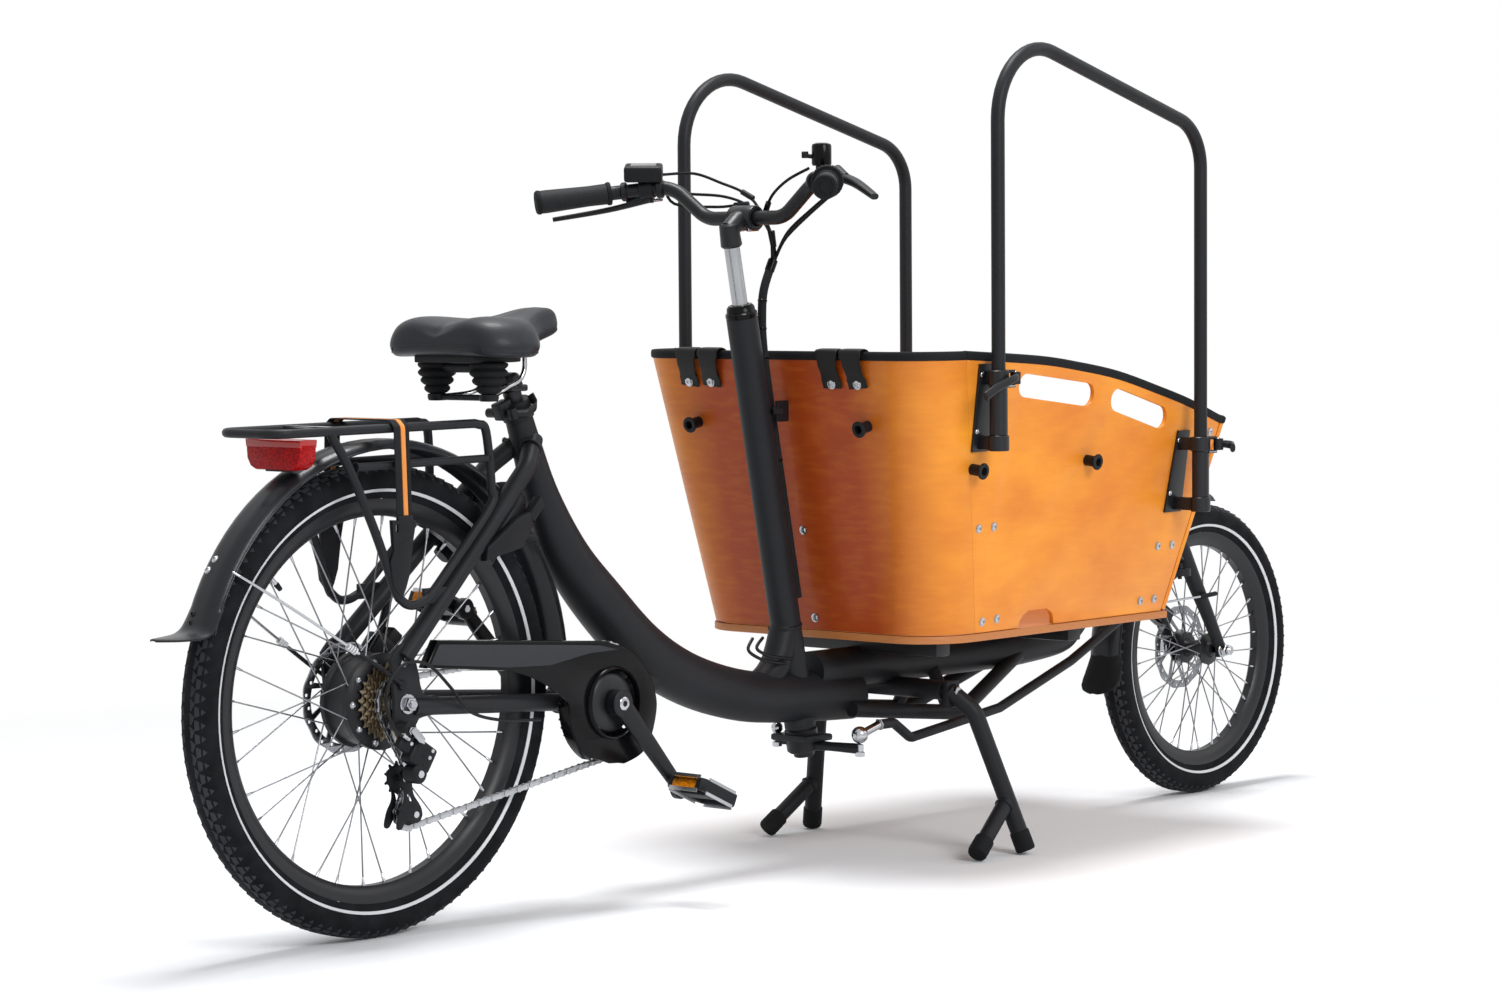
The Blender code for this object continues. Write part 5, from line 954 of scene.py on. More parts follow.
def side_frame(side):
    """Origin and two directions in a side panel's plane: forward, and up the wall."""
    origin = at(SIDE_FOOT_X, side * side_half(SIDE_FOOT_X, SIDE_FOOT_Z), SIDE_FOOT_Z)
    across = Vector((1, -side * SIDE_TAPER, 0)).normalized()
    rise = Vector((0, side * SIDE_FLARE, 1))
    return origin, across, (rise - across * rise.dot(across)).normalized()


def side_uv(side, x, z):
    origin, across, up = side_frame(side)
    offset = at(x, side * side_half(x, z), z) - origin
    return offset.dot(across), offset.dot(up)


def outward(side):
    _, across, up = side_frame(side)
    return across.cross(up) * (-side)


RIM_LINE = ((1.14, 0.797), (1.249, 0.785), (1.362, 0.768), (1.48, 0.741), (1.571, 0.718),
            (1.66, 0.69))
SLOTS = (((1.113, 0.752), (1.28, 0.733)), ((1.366, 0.722), (1.492, 0.69)))


def rim_points():
    """Top edge (x, z) of a side panel as a smooth line."""
    return smooth_flat(((seam_x(0.808) + 0.0003, 0.808),) + RIM_LINE, 5)


def slot_loop(side, ends):
    (u0, v0), (u1, v1) = (side_uv(side, x, z) for x, z in ends)
    heading = math.degrees(math.atan2(v1 - v0, u1 - u0))
    return (arc((u0, v0), 0.0185, heading + 270, heading + 90, 12)
            + arc((u1, v1), 0.0185, heading + 90, heading - 90, 12))


def rear_sheet():
    """The bent sheet at the box's rear, in one piece round both corners."""
    panel = Shape("rear_sheet", "plywood_rear")
    rows = []
    for step in range(13):
        z = 0.3675 + (0.8035 - 0.3675) * step / 12
        outer, inner = rear_sheet_line(z, -0.0008), rear_sheet_line(z, -0.0085)
        rows.append([at(x, y, z) for x, y in outer + list(reversed(inner))])
    panel.rings(rows)
    panel.ride("frame", "box_rear_panel", slot="plywood")


def side_sheets():
    for side, hand in SIDES:
        origin, across, up = side_frame(side)
        corner = [(front_wall_x(0.676) - 0.012, 0.676), (front_wall_x(0.366) - 0.0115, 0.3667)]
        notch = [(1.2465, 0.3667), (1.244, 0.378), (1.238, 0.3865), (1.224, 0.393), (1.176, 0.393),
                 (1.162, 0.3865), (1.154, 0.378), (1.151, 0.3667)]
        edge = [(seam_x(0.3663) + 0.0003, 0.3667)]
        outline = [side_uv(side, x, z) for x, z in rim_points() + corner + notch + edge]
        panel = Shape("side_sheet_" + hand, "plywood")
        panel.plate(outline, sizes().board, origin - outward(side) * 0.0045, across, up,
                    [slot_loop(side, ends) for ends in SLOTS], 0.0008)
        panel.ride("frame", "box_side_" + hand, slot="plywood")


def box_rubber():
    """Black edge trim pressed over the top of the sheets, all the way round."""
    trim = Shape("rim_trim", "rubber")
    section = oval(0.0058, 0.0072, 12, 0.6)
    back = [at(x, y, 0.802) for x, y in rear_sheet_line(0.802, -0.0045)]
    trim.sweep(back, section, UP)
    for side in (-1, 1):
        points = [at(x, side * (side_half(x, z) - 0.0045), z - 0.0055) for x,
                  z in rim_points() + [(front_wall_x(0.685) - 0.006, 0.685)]]
        trim.sweep(points, section, Vector((0, side * SIDE_FLARE, 1)))
        trim.ball(points[-1], 0.007)
    half = side_half(front_wall_x(FRONT_TOP_Z), FRONT_TOP_Z)
    crest = smooth([at(front_wall_x(z) - 0.0052, share * half, z - 0.006) for share,
                    z in FRONT_TOP], 4)
    trim.sweep(crest + [Vector((p.x, -p.y, p.z)) for p in reversed(crest)], section, FORWARD)
    trim.ride("frame", slot="rubber")


FRONT_TOP = ((0.985, 0.686), (0.955, 0.688), (0.8, 0.68), (0.6, 0.65), (0.38, 0.616), (0.16, 0.602))


def front_sheet():
    """The front sheet, its top edge dipping in the middle."""
    low, high = 0.3684, FRONT_TOP_Z
    slope = Vector((front_wall_x(high) - front_wall_x(low), 0, high - low))
    half_low = side_half(front_wall_x(low), low)
    half_high = side_half(front_wall_x(high), high)
    top = smooth_flat([(half_high * share, slope.length * (z - low) / (high - low)) for share,
                       z in ((1.0, 0.684),) + FRONT_TOP[1:]], 4)
    outline = [(-half_low, 0), (half_low, 0)] + top + [(-u, v) for u, v in reversed(top)]
    panel = Shape("front_sheet", "plywood")
    panel.plate(outline, 0.009, at(front_wall_x(low) - 0.0052, 0, low), AXLE, slope.normalized(),
                bevel=0.001)
    panel.ride("frame", "box_front_panel", slot="plywood")


def base_sheet():
    """The thick base sheet, its cut edge showing as a darker layered band."""
    front = front_wall_x(BASE_Z) + 0.004
    half = [(front, side_half(front, BASE_Z) + 0.002)] + corner_line(BASE_Z, 0.002)
    outline = half + [(x, -y) for x, y in reversed(half)]
    board = Shape("base_sheet", "ply_edge")
    board.plate(outline, 0.012, at(0, 0, BASE_Z - 0.006), FORWARD, AXLE, bevel=0.0015)
    board.ride("frame", "box_floor", slot="plywood")


SIDE_SCREWS = ((1.023, 0.532), (1.062, 0.533), (1.054, 0.384), (1.092, 0.386), (1.521, 0.476),
               (1.562, 0.476), (1.485, 0.387), (1.525, 0.388), (1.642, 0.661))


def side_place(side, x, z):
    """A place on the outside of a side sheet, for a part that stands on it."""
    return at(x, side * side_half(x, z), z), facing(outward(side), UP), ONE


def rear_place(y, z, off=0.0):
    return at(rear_wall_x(z) - off, y, z), facing(REAR_WALL_OUT, UP), ONE


def box_fittings():
    """Screws and the spools that a rain cover hooks over."""
    places = [side_place(side, x, z) for side in (-1, 1) for x, z in SIDE_SCREWS]
    places += [rear_place(y, z) for y, z in ((-0.014, 0.526), (-0.013, 0.386))]
    spool = Shape("spool", "moulded")
    spool.lathe([(0.0088, -0.003), (0.0088, 0.018), (0.0098, 0.0195), (0.0128, 0.0205),
                 (0.013, 0.0225), (0.0118, 0.0238), (0.007, 0.0238), (0.0062, 0.02),
                 (0.0058, 0.008), (0.0002, 0.008)], Vector(), UP, 28)
    spools = [rear_place(y, 0.694) for y in (-0.177, 0.177)]
    spools += [side_place(side, x, z) for side in (-1, 1) for x,
               z in ((0.992, 0.626), (1.294, 0.628))]
    copies("cover_spools", spool, spools, "moulded", "frame", "black_plastic")
    copies("box_screws", pan_screw(), places, "bright_screws", "frame", "bright_alloy")
    rim_straps()


def rim_straps():
    """Four leather straps over the rear rim, each held by a screw."""
    straps = Shape("rim_straps", "leather")
    heads = []
    for y in (0.181, 0.134, -0.119, -0.171):
        lean = 0.006 if y > 0 else (-0.004 if y < -0.15 else 0.0)
        line = []
        for z, off in ((0.752, 0.0028), (0.758, 0.003), (0.77, 0.0062), (0.785, 0.0095),
                       (0.8, 0.01), (0.8095, 0.0075), (0.812, 0.0), (0.812, -0.008),
                       (0.807, -0.015), (0.79, -0.0165)):
            line.append(at(rear_wall_x(z) - off, y - lean * (z - 0.752) / 0.06, z))
        scales = [0.95, 0.95, 0.84, 0.92, 1.08, 1.1, 1.05, 1.02, 1.0, 1.0]
        path = smooth(line, 3)
        widths = [scales[min(index // 3, 9)] for index in range(len(path))]
        straps.sweep(path, oval(0.0013, 0.02, 20, 0.45), AXLE, False, widths)
        heads.append(rear_place(y, 0.7585, 0.0046))
    straps.ride("frame", slot="rubber")
    copies("strap_screws", pan_screw(0.0064), heads, "bright_screws", "frame", "bright_alloy")


def battery():
    """The battery's case just inside the rear sheet, and its lid."""
    case = Shape("battery_case", "moulded")
    centre = at(1.012, 0, 0.4113)
    case.block(centre - Vector((0, 0, 0.008)), (0.108, 0.358, 0.0735), bevel=0.008, segments=4)
    case.block(centre + Vector((0, 0, 0.0355)), (0.104, 0.354, 0.0175), bevel=0.006, segments=3)
    case.ride("frame", "battery_pack", slot="black_plastic")


# Covers over the wheels

def guard_shell(shape, centre, radius, half, first, last):
    """An arched strip over a tyre with a rolled bead along both edges."""
    steps = 40
    path = [centre + Vector((u, 0, v)) for u, v in arc((0, 0), radius, first, last, steps)]
    across = [half * (2 * index / 14 - 1) for index in range(15)]
    outer = [(0.012 * (b / half) ** 4 - 0.001, b) for b in across]
    inner = [(a + 0.002, b) for a, b in reversed(outer)]
    shape.sweep(path, outer + inner, AXLE)
    for b in (-half, half):
        bead = [centre + Vector((u, b, v)) for u, v in arc((0, 0), radius - 0.0115, first, last,
                                                           steps)]
        shape.tube(bead, 0.0014, 8)


def flap(shape, line, widths, arch):
    """A moulded flap: arched where it hugs the guard, flat and rounded at its tip."""
    path = smooth([at(x, 0, z) for x, z in line], 4)
    rows = []
    for index, (side, other) in enumerate(directions(path, False, AXLE)):
        share = index / (len(path) - 1)
        place = share * (len(widths) - 1)
        low = min(int(place), len(widths) - 2)
        half = widths[low] + (widths[low + 1] - widths[low]) * (place - low)
        top, bottom = [], []
        for step in range(13):
            v = step / 6 - 1
            depth = arch * (1 - share) ** 1.5 * v ** 4 + 0.0015 * v * v
            centre = path[index] + other * (v * half) + side * depth
            top.append(centre - side * 0.0014)
            bottom.append(centre + side * 0.0014)
        rows.append(top + bottom[::-1])
    shape.rings(rows)


def rear_cover():
    centre = at(0.018, 0, 0.3484)
    shape = Shape("rear_guard_shell", "mudguard")
    guard_shell(shape, centre, 0.353, 0.0305, -1, 162.5)
    flap(shape, ((-0.3045, 0.4905), (-0.313, 0.472), (-0.32, 0.459), (-0.333, 0.452),
                 (-0.36, 0.4492), (-0.3885, 0.4486)), (0.0312, 0.0325, 0.034, 0.0345, 0.032, 0.025,
                                                       0.006), 0.012)
    for side in (-1, 1):
        shape.use("chrome")
        wire = smooth([at(-0.269, side * 0.024, 0.531), at(-0.265, side * 0.033, 0.5275),
                       at(-0.18, side * 0.06, 0.471), at(-0.08, side * 0.075, 0.406)])
        shape.tube(wire, 0.0021, 12)
        shape.use("moulded")
        shape.tube([at(-0.088, side * 0.074, 0.4112), at(-0.05, side * 0.079, 0.387),
                    at(-0.012, side * 0.079, 0.362)], 0.003, 12)
        shape.pin(-0.012, 0.362, side * 0.0755, side * 0.0805, 0.007)
        for step in range(4):
            shape.use("white")
            near = at(-0.106 + 0.0038 * step, side * (0.0712 + 0.0005 * step),
                      0.4228 - 0.0024 * step)
            shape.lathe([(0.0022, -0.0011), (0.0052, -0.0011), (0.0052, 0.0011), (0.0022, 0.0011)],
                        near, Vector((0.83, side * 0.12, -0.54)), 20, True)
    shape.ride("frame", "rear_mudguard", slot="black_plastic")
    for name, look, spots in (("guard_screws", "bright_screws", ((148.2, 0.0118), (145.4, 0.0078))),
                              ("flap_screws", "forged", ((158.6, 0.0097), (160.6, 0.0087)))):
        places = []
        for angle, y in spots:
            out = Vector((math.cos(math.radians(angle)), 0, math.sin(math.radians(angle))))
            places.append((centre + out * 0.3536 + Vector((0, y, 0)), facing(out), ONE))
        copies(name, pan_screw(0.0044), places, look, "frame", "bright_alloy")


def front_cover():
    centre = at(FRONT_AXLE_X, 0, FRONT_AXLE_Z)
    shape = Shape("front_guard_shell", "mudguard")
    guard_shell(shape, centre, 0.276, 0.0305, 86, 188)
    shape.use("rubber")
    flap(shape, ((1.701, 0.272), (1.6995, 0.255), (1.697, 0.24), (1.692, 0.226), (1.686, 0.215),
                 (1.68, 0.207), (1.675, 0.202)), (0.0312, 0.0345, 0.037, 0.0375, 0.035, 0.027,
                                                  0.007), 0.014)
    shape.use("chrome")
    stay = smooth([at(1.79, -0.024, 0.37), at(1.83, -0.034, 0.352), at(1.868, -0.052, 0.355),
                   at(1.905, -0.07, 0.359), at(1.941, -0.07, 0.361)])
    shape.tube(stay, 0.0021, 12)
    shape.use("rubber").tube(stay[-8:], 0.004, 14)
    shape.ride("fork_unit", "front_mudguard", slot="black_plastic")


# Luggage rack, lamp and lock

def rack_side(side, x, z):
    return at(x, side * (0.06 + (0.72 - z) * 0.045), z)


RACK_LOOP = ((-0.124, 0.719), (-0.1203, 0.7097), (-0.092, 0.6651), (-0.0507, 0.5794),
             (-0.0169, 0.4951), (-0.0063, 0.4803), (0.0073, 0.4721), (0.0237, 0.4718),
             (0.0376, 0.4765), (0.0488, 0.4827), (0.0798, 0.5112), (0.1716, 0.6005),
             (0.1766, 0.6291), (0.1704, 0.7076), (0.1563, 0.7183), (0.14, 0.72))
HOOK = ((-0.0278, 0.5923), (-0.0247, 0.5499), (-0.0315, 0.5343), (-0.0266, 0.5018),
        (-0.0106, 0.4807), (-0.0022, 0.4962), (0.0052, 0.5159), (0.0126, 0.5639), (0.0185, 0.5899))


def rack():
    """A top loop on two bent side loops, with cross bars and the strap's hook plates."""
    shape = Shape("luggage_rack", "powder_coat")
    corners = [rack_side(-1, 0.15, 0.72), rack_side(-1, -0.222, 0.717), rack_side(1, -0.222, 0.717),
               rack_side(1, 0.15, 0.72)]
    shape.tube(rounded(corners, 0.03), 0.0065)
    for side in (-1, 1):
        shape.tube(smooth([rack_side(side, x, z) for x, z in RACK_LOOP]), 0.0065)
        shape.rod(rack_side(side, -0.08, 0.667), rack_side(side, 0.176, 0.67), 0.0057)
        shape.block(at(0.06, side * 0.068, 0.482), (0.044, 0.006, 0.022))
        for x, z in ((-0.08, 0.667), (0.1725, 0.67)):
            shape.weld(rack_side(side, x, z), FORWARD, 0.0062, 0.0012)
        shape.use("moulded")
        shape.plate(HOOK, 0.008, at(0, side * 0.0745, 0), FORWARD, UP,
                    [[(-0.02, 0.585), (-0.02, 0.576), (0.009, 0.576), (0.009, 0.585)]], 0.0022)
        shape.use("powder_coat")
    shape.block(at(-0.1, 0, 0.72), (0.016, 0.118, 0.006))
    shape.use("chrome")
    for side in (-1, 1):
        shape.pin(-0.002, 0.398, side * 0.0715, side * 0.077, 0.0048, sides=6)
    shape.ride("frame", "rear_rack", slot="frame_paint")


def rack_band():
    """Two dark elastic bands with a coloured one between, stretched over the rack."""
    low, high = 0.5935, 0.731
    shape = Shape("luggage_strap", "webbing")
    for x, half, look in ((-0.011, 0.0062, "webbing"), (0.0, 0.0042, "orange_band"),
                          (0.008, 0.0036, "webbing")):
        path = []
        for y, z in ((-0.076, low), (-0.0712, high - 0.01), (-0.061, high - 0.0012),
                     (0.061, high - 0.0012), (0.0712, high - 0.01), (0.076, low)):
            path.append(at(x, y, z))
        shape.use(look).sweep(rounded(path, 0.008, 5), oval(0.0011, half, 12, 0.5), FORWARD)
    for side in (-1, 1):
        shape.use("moulded").block(at(-0.0025, side * 0.076, 0.583), (0.029, 0.006, 0.03),
                                   bevel=0.0025)
    shape.ride("frame", "rack_strap", slot="webbing")


LAMP_X = -0.16


def rear_lamp():
    """A wide red lamp: a plain band above, a prismed lens below and a foot under it."""
    outline = [(-0.0565, 0.7), (-0.055, 0.681), (-0.048, 0.67), (-0.038, 0.6655), (0.038, 0.6655),
               (0.048, 0.67), (0.055, 0.681), (0.0565, 0.7)]
    shape = Shape("rear_lamp", "red_lens")
    shape.plate(outline, 0.031, at(LAMP_X, 0, 0), AXLE, UP, bevel=0.004)
    shape.use("dark_lens")
    shape.plate([(-0.0575, 0.7075), (-0.056, 0.6965), (0.056, 0.6965), (0.0575, 0.7075)], 0.0318,
                at(LAMP_X, 0, 0), AXLE, UP, bevel=0.0025)
    shape.use("moulded")
    shape.block(at(LAMP_X, 0, 0.6655), (0.024, 0.04, 0.004), bevel=0.0012)
    shape.ride("frame", "tail_light", slot="red_lens")


def frame_lock():
    """A ring lock over the tyre, held to the stays, with its key housing on the right."""
    axle = at(0, 0, REAR_AXLE_Z)
    angle = math.radians(46.5)
    out = Vector((math.cos(angle), 0, math.sin(angle)))
    line = [(-0.046, 0.262)] + arc((0, 0.345), 0.046, 180, 0, 24) + [(0.046, 0.262)]
    path = [axle + out * v + AXLE * u for u, v in line]
    shape = Shape("frame_lock", "moulded")
    shape.sweep(path, oval(0.0088, 0.0135, 24, 0.7), AXLE.cross(out))
    for side in (-1, 1):
        shape.rod(axle + out * 0.29 + AXLE * side * 0.046, at(0.164, side * 0.0535, 0.548), 0.007)
    shape.plate([(0.1584, 0.5241), (0.2301, 0.5385), (0.2548, 0.571), (0.248, 0.589),
                 (0.225, 0.583), (0.162, 0.544)], 0.015, at(0, -0.064, 0), FORWARD, UP, bevel=0.003)
    shape.plate([(0.245, 0.586), (0.256, 0.574), (0.2795, 0.5979), (0.2707, 0.6113)], 0.017,
                at(0, -0.062, 0), FORWARD, UP, bevel=0.003)
    shape.rod(at(0.243, -0.064, 0.556), at(0.2646, -0.064, 0.55), 0.005)
    shape.ride("frame", "ring_lock", slot="black_plastic")


# Seat

SADDLE = (
    (0.126, 0.074, 0.85, 0.8465, 0.826, 0.01), (0.131, 0.098, 0.862, 0.855, 0.815, 0.01),
    (0.148, 0.115, 0.87, 0.8605, 0.81, 0.007), (0.175, 0.125, 0.872, 0.862, 0.809, 0.003),
    (0.205, 0.127, 0.871, 0.8635, 0.809, 0.0), (0.233, 0.112, 0.8675, 0.866, 0.81, 0.0),
    (0.256, 0.084, 0.8665, 0.869, 0.815, 0.0), (0.28, 0.054, 0.871, 0.8735, 0.826, 0.0),
    (0.306, 0.04, 0.879, 0.8805, 0.832, 0.0), (0.332, 0.034, 0.883, 0.884, 0.838, 0.0),
    (0.351, 0.027, 0.88, 0.8805, 0.843, 0.0), (0.362, 0.015, 0.87, 0.87, 0.85, 0.0),
)


def saddle():
    """Foam pad under vinyl: two lobes with a crease, a raised nose and a sewn seam."""
    rows, seam = [], {-1: [], 1: []}
    for x, half, crown, middle, skirt, notch in SADDLE:
        shoulder, flank = crown - 0.16 * (crown - skirt), crown - 0.6 * (crown - skirt)
        under = max(0.8155, skirt + 0.003)
        side = [(0.42 * half, crown), (0.62 * half, crown), (0.88 * half, shoulder), (half, flank),
                (0.985 * half, skirt + 0.012), (0.9 * half, skirt + 0.001), (0.78 * half, under)]
        crease = [(0.14 * half, 0.55 * middle + 0.45 * crown)]
        across = [(-y, z) for y, z in reversed(crease + side)] + [(0, middle)] + crease + side
        rows.append([at(x + notch * max(1 - abs(y) / (0.5 * half), 0), y, z) for y, z in across])
        for hand in seam:
            seam[hand].append(at(x, hand * half, skirt + 0.004))
    shape = Shape("saddle_cushion", "vinyl")
    shape.rings(rows)
    pad = shape.object()
    soften = pad.modifiers.new("soft form", "SUBSURF")
    soften.levels = soften.render_levels = 3
    bpy.context.view_layer.update()
    graph = bpy.context.evaluated_depsgraph_get()
    pad.data = bpy.data.meshes.new_from_object(pad.evaluated_get(graph))
    pad.modifiers.clear()
    skin = bmesh.new()
    skin.from_mesh(pad.data)
    tree = BVHTree.FromBMesh(skin)
    skin.free()
    hold(pad, "seat", "saddle_pad", slot="vinyl", angle=70)
    piping = Shape("saddle_seam", "vinyl")
    line = smooth(seam[-1][::-1] + seam[1], 6)
    piping.tube([tree.find_nearest(point)[0] for point in line], 0.0012, 8)
    piping.ride("seat", slot="vinyl")


def seat_post():
    """The post with the clamp that holds the saddle's rails."""
    shape = Shape("seat_post_tube", "anodised")
    shape.rod(seat_point(0.5), seat_point(0.764), 0.0136, sides=32)
    shape.pin(0.276, 0.7755, -0.016, 0.016, 0.0135, sides=28, bevel=0.004)
    shape.block(at(0.276, 0, 0.7665), (0.034, 0.046, 0.01), bevel=0.003)
    shape.use("forged")
    shape.pin(0.276, 0.7725, -0.0245, 0.0245, 0.005, sides=6)
    shape.ride("seat", "seatpost", slot="black_alloy")


SPRING_X, SPRING_Y = 0.184, 0.0535


def saddle_underside():
    """The saddle's base plate, its two rails and the cups under the bellows."""
    under = Shape("saddle_underside", "moulded")
    edge = [(x - MIDDLE_X, 0.54 * half) for x, half, _, _, _, _ in SADDLE[2:7]]
    under.plate(edge + [(x, -y) for x, y in reversed(edge)], 0.012, Vector((0, 0, 0.811)), FORWARD,
                AXLE, bevel=0.002)
    under.pin(0.18, 0.7985, -0.046, 0.046, 0.008, sides=24)
    for side in (-1, 1):
        under.use("chrome")
        rail = smooth([at(SPRING_X, side * SPRING_Y, 0.7555), at(0.225, side * 0.03, 0.76),
                       at(0.248, side * 0.027, 0.7687), at(0.27, side * 0.0265, 0.777),
                       at(0.281, side * 0.0265, 0.792), at(0.283, side * 0.026, 0.815),
                       at(0.29, side * 0.022, 0.835)])
        under.tube(rail, 0.0036)
        under.use("moulded")
        under.lathe([(0.014, 0.7594), (0.0142, 0.754), (0.0125, 0.75), (0.004, 0.7496)],
                    at(SPRING_X, side * SPRING_Y, 0), UP, 32)
    under.use("moulded").pin(SPRING_X, 0.755, -SPRING_Y, SPRING_Y, 0.0045)
    under.ride("seat", "saddle_base", slot="black_plastic")


def bellows():
    """Two ribbed rubber covers over the saddle's springs, narrower towards the foot."""
    for side, hand in SIDES:
        profile = [(0.0002, 0.8056), (0.02, 0.8056)]
        for step in range(45):
            share = step / 44
            widest = 0.028 - 0.0176 * max(share - 0.3, 0) ** 1.25 * 1.1
            rib = abs(math.sin(math.pi * (0.3 + 3.7 * share)))
            profile.append((widest - 0.0054 * (1 - rib ** 0.7), 0.8045 - 0.0447 * share))
        profile += [(0.013, 0.7596), (0.0002, 0.7596)]
        cover = Shape("ribbed_spring_cover_" + hand, "rubber")
        cover.lathe(profile, at(SPRING_X, side * SPRING_Y, 0), UP, 40)
        cover.ride("seat", "saddle_bellows_" + hand, slot="rubber")


def clamp_lever():
    pivot = seat_point(0.73, -0.03, -0.0215)
    lever = Shape("clamp_lever", "forged")
    path = rounded([pivot, seat_point(0.7305, -0.01, -0.033), seat_point(0.74, 0.014, -0.029),
                    seat_point(0.756, 0.018, -0.019)], 0.01, 6)
    lever.sweep(path, oval(0.0028, 0.006, 16), UP)
    lever.rod(seat_point(0.722, -0.03, -0.0215), seat_point(0.738, -0.03, -0.0215), 0.007)
    lever.ride("seat_lever", "seat_clamp_lever", slot="black_alloy")


# Drive

GUARD_OUTER = ((0.028, 0.383), (0.05, 0.419), (0.361, 0.3945), (0.393, 0.39), (0.441, 0.374),
               (0.473, 0.343), (0.49, 0.306), (0.49, 0.2775), (0.476, 0.239), (0.455, 0.221),
               (0.4225, 0.2116))
GUARD_INNER = ((0.3905, 0.2136), (0.367, 0.2215), *arc(BRACKET, 0.0915, 237, 177, 6),
               (0.297, 0.318), (0.278, 0.331), (0.236, 0.352), (0.183, 0.3675))


RING_TEETH, DRIVEN_TEETH, PULLEY_TEETH = 42, 16, 10
GUIDE_PULLEY, TENSION_PULLEY = (0.0, 0.23), (0.02, 0.177)
CHAIN_Y = -0.0585
CRANK_LENGTH = 0.175


def chain_y(x):
    return CHAIN_Y + 0.0085 * min(max((0.3 - x) / 0.26, 0), 1)


def chain_line():
    """Evenly spaced places along the chain's path round both sprockets and pulleys."""
    wheels = [(place, pitch_radius(teeth), sense) for place, teeth, sense in (
        (BRACKET, RING_TEETH, 1), ((0.0, REAR_AXLE_Z), DRIVEN_TEETH, 1),
        (GUIDE_PULLEY, PULLEY_TEETH, -1), (TENSION_PULLEY, PULLEY_TEETH, 1))]
    headings = []
    for (here, radius, sense), (there, other, way) in zip(wheels, wheels[1:] + wheels[:1]):
        dx, dz = there[0] - here[0], there[1] - here[1]
        offset = way * other - sense * radius
        headings.append(math.atan2(dz, dx) - math.asin(offset / math.hypot(dx, dz)))
    line = []
    for index, (centre, radius, sense) in enumerate(wheels):
        start = math.degrees(headings[index - 1]) - 90 * sense
        sweep = (math.degrees(headings[index] - headings[index - 1]) * sense) % 360
        line += arc(centre, radius, start, start + sweep * sense, 60)
    points = [at(x, chain_y(x), z) for x, z in line]
    points.append(points[0])
    lengths = [0.0]
    for first, second in zip(points, points[1:]):
        lengths.append(lengths[-1] + (second - first).length)
    count = 2 * round(lengths[-1] / (2 * CHAIN_PITCH))
    places, index = [], 0
    for number in range(count):
        reach = lengths[-1] * number / count
        while lengths[index + 1] < reach:
            index += 1
        run = points[index + 1] - points[index]
        share = (reach - lengths[index]) / max(run.length, 1e-9)
        places.append((points[index] + run * share, facing(run), ONE))
    return places


def chain_link(name, spread):
    """Two waisted side plates with one roller between them."""
    part = Shape(name, "chain")
    half = CHAIN_PITCH / 2
    waist = arc((0, half), 0.0048, -38, 218, 8) + arc((0, -half), 0.0048, 142, 398, 8)
    for y in (-spread, spread):
        part.plate(waist, 0.0009, Vector((0, y, 0)), FORWARD, UP, bevel=0.0002)
    part.rod(Vector((0, -spread, half)), Vector((0, spread, half)), 0.0024, sides=8, bevel=0.0001)
    return part


def chain():
    places = chain_line()
    outer = copies("chain_outer_links", chain_link("outer_link", 0.0031), places[::2], "chain",
                   "frame", "chain_steel")
    copies("chain_inner_links", chain_link("inner_link", 0.002), places[1::2], "chain", "frame",
           "chain_steel")
    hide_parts("chain")


def chainring():
    """The toothed ring with its carrier and the spindle through the bracket."""
    ring = Shape("chainring_disc", "anodised")
    centre = at(BRACKET[0], 0, BRACKET[1])
    holes = [arc((0.062 * math.cos(a), 0.062 * math.sin(a)), 0.008, 0, 340,
                 17) for a in (math.radians(72 * step + 36) for step in range(5))]
    toothed(ring, RING_TEETH, CHAIN_Y, centre, 0.003, 0.009, holes)
    ring.lathe([(0.042, -0.059), (0.044, -0.062), (0.043, -0.082), (0.038, -0.085),
                (0.018, -0.0862), (0.0098, -0.0862)], centre, AXLE, 48)
    ring.rod(centre - AXLE * 0.092, centre + AXLE * 0.092, 0.0095)
    ring.ride("crank", "chainring", slot="black_alloy")


def crank(side, hand):
    """A forged arm, thicker at its boss, with a bright bolt, and its cage pedal."""
    swing = math.radians(-50.7) + (0 if side < 0 else math.pi)
    along = Vector((math.cos(swing), side * 0.0125 / CRANK_LENGTH, math.sin(swing)))
    root = at(BRACKET[0], side * 0.1, BRACKET[1])
    tip = root + along * CRANK_LENGTH
    arm = Shape("crank_forging_" + hand, "forged")
    path = [root + along * (CRANK_LENGTH * step / 12) for step in range(13)]
    scales = [1.22 - 0.42 * step / 12 for step in range(13)]
    arm.sweep(path, oval(0.0135, 0.0065, 24, 0.7), AXLE, False, scales)
    arm.rod(root - AXLE * side * 0.0135, root + AXLE * side * 0.0075, 0.02, sides=36, bevel=0.002)
    arm.rod(tip - AXLE * side * 0.0065, tip + AXLE * side * 0.0065, 0.016, sides=32, bevel=0.002)
    arm.use("chrome")
    arm.lathe([(0.01, 0.0074), (0.01, 0.0085), (0.0085, 0.0095), (0.0045, 0.0095), (0.0045, 0.006),
               (0.0002, 0.006)], root, AXLE * side, 32)
    arm.rod(tip - AXLE * side * 0.0078, tip - AXLE * side * 0.006, 0.006, sides=6)
    arm.rod(tip, tip + AXLE * side * 0.082, 0.0045)
    arm.ride("crank", "crank_arm_" + hand, slot="black_alloy")
    pedal(hand, tip + AXLE * side * 0.0465)


PEDAL_TILT = Matrix.Rotation(math.radians(25), 3, "Y")


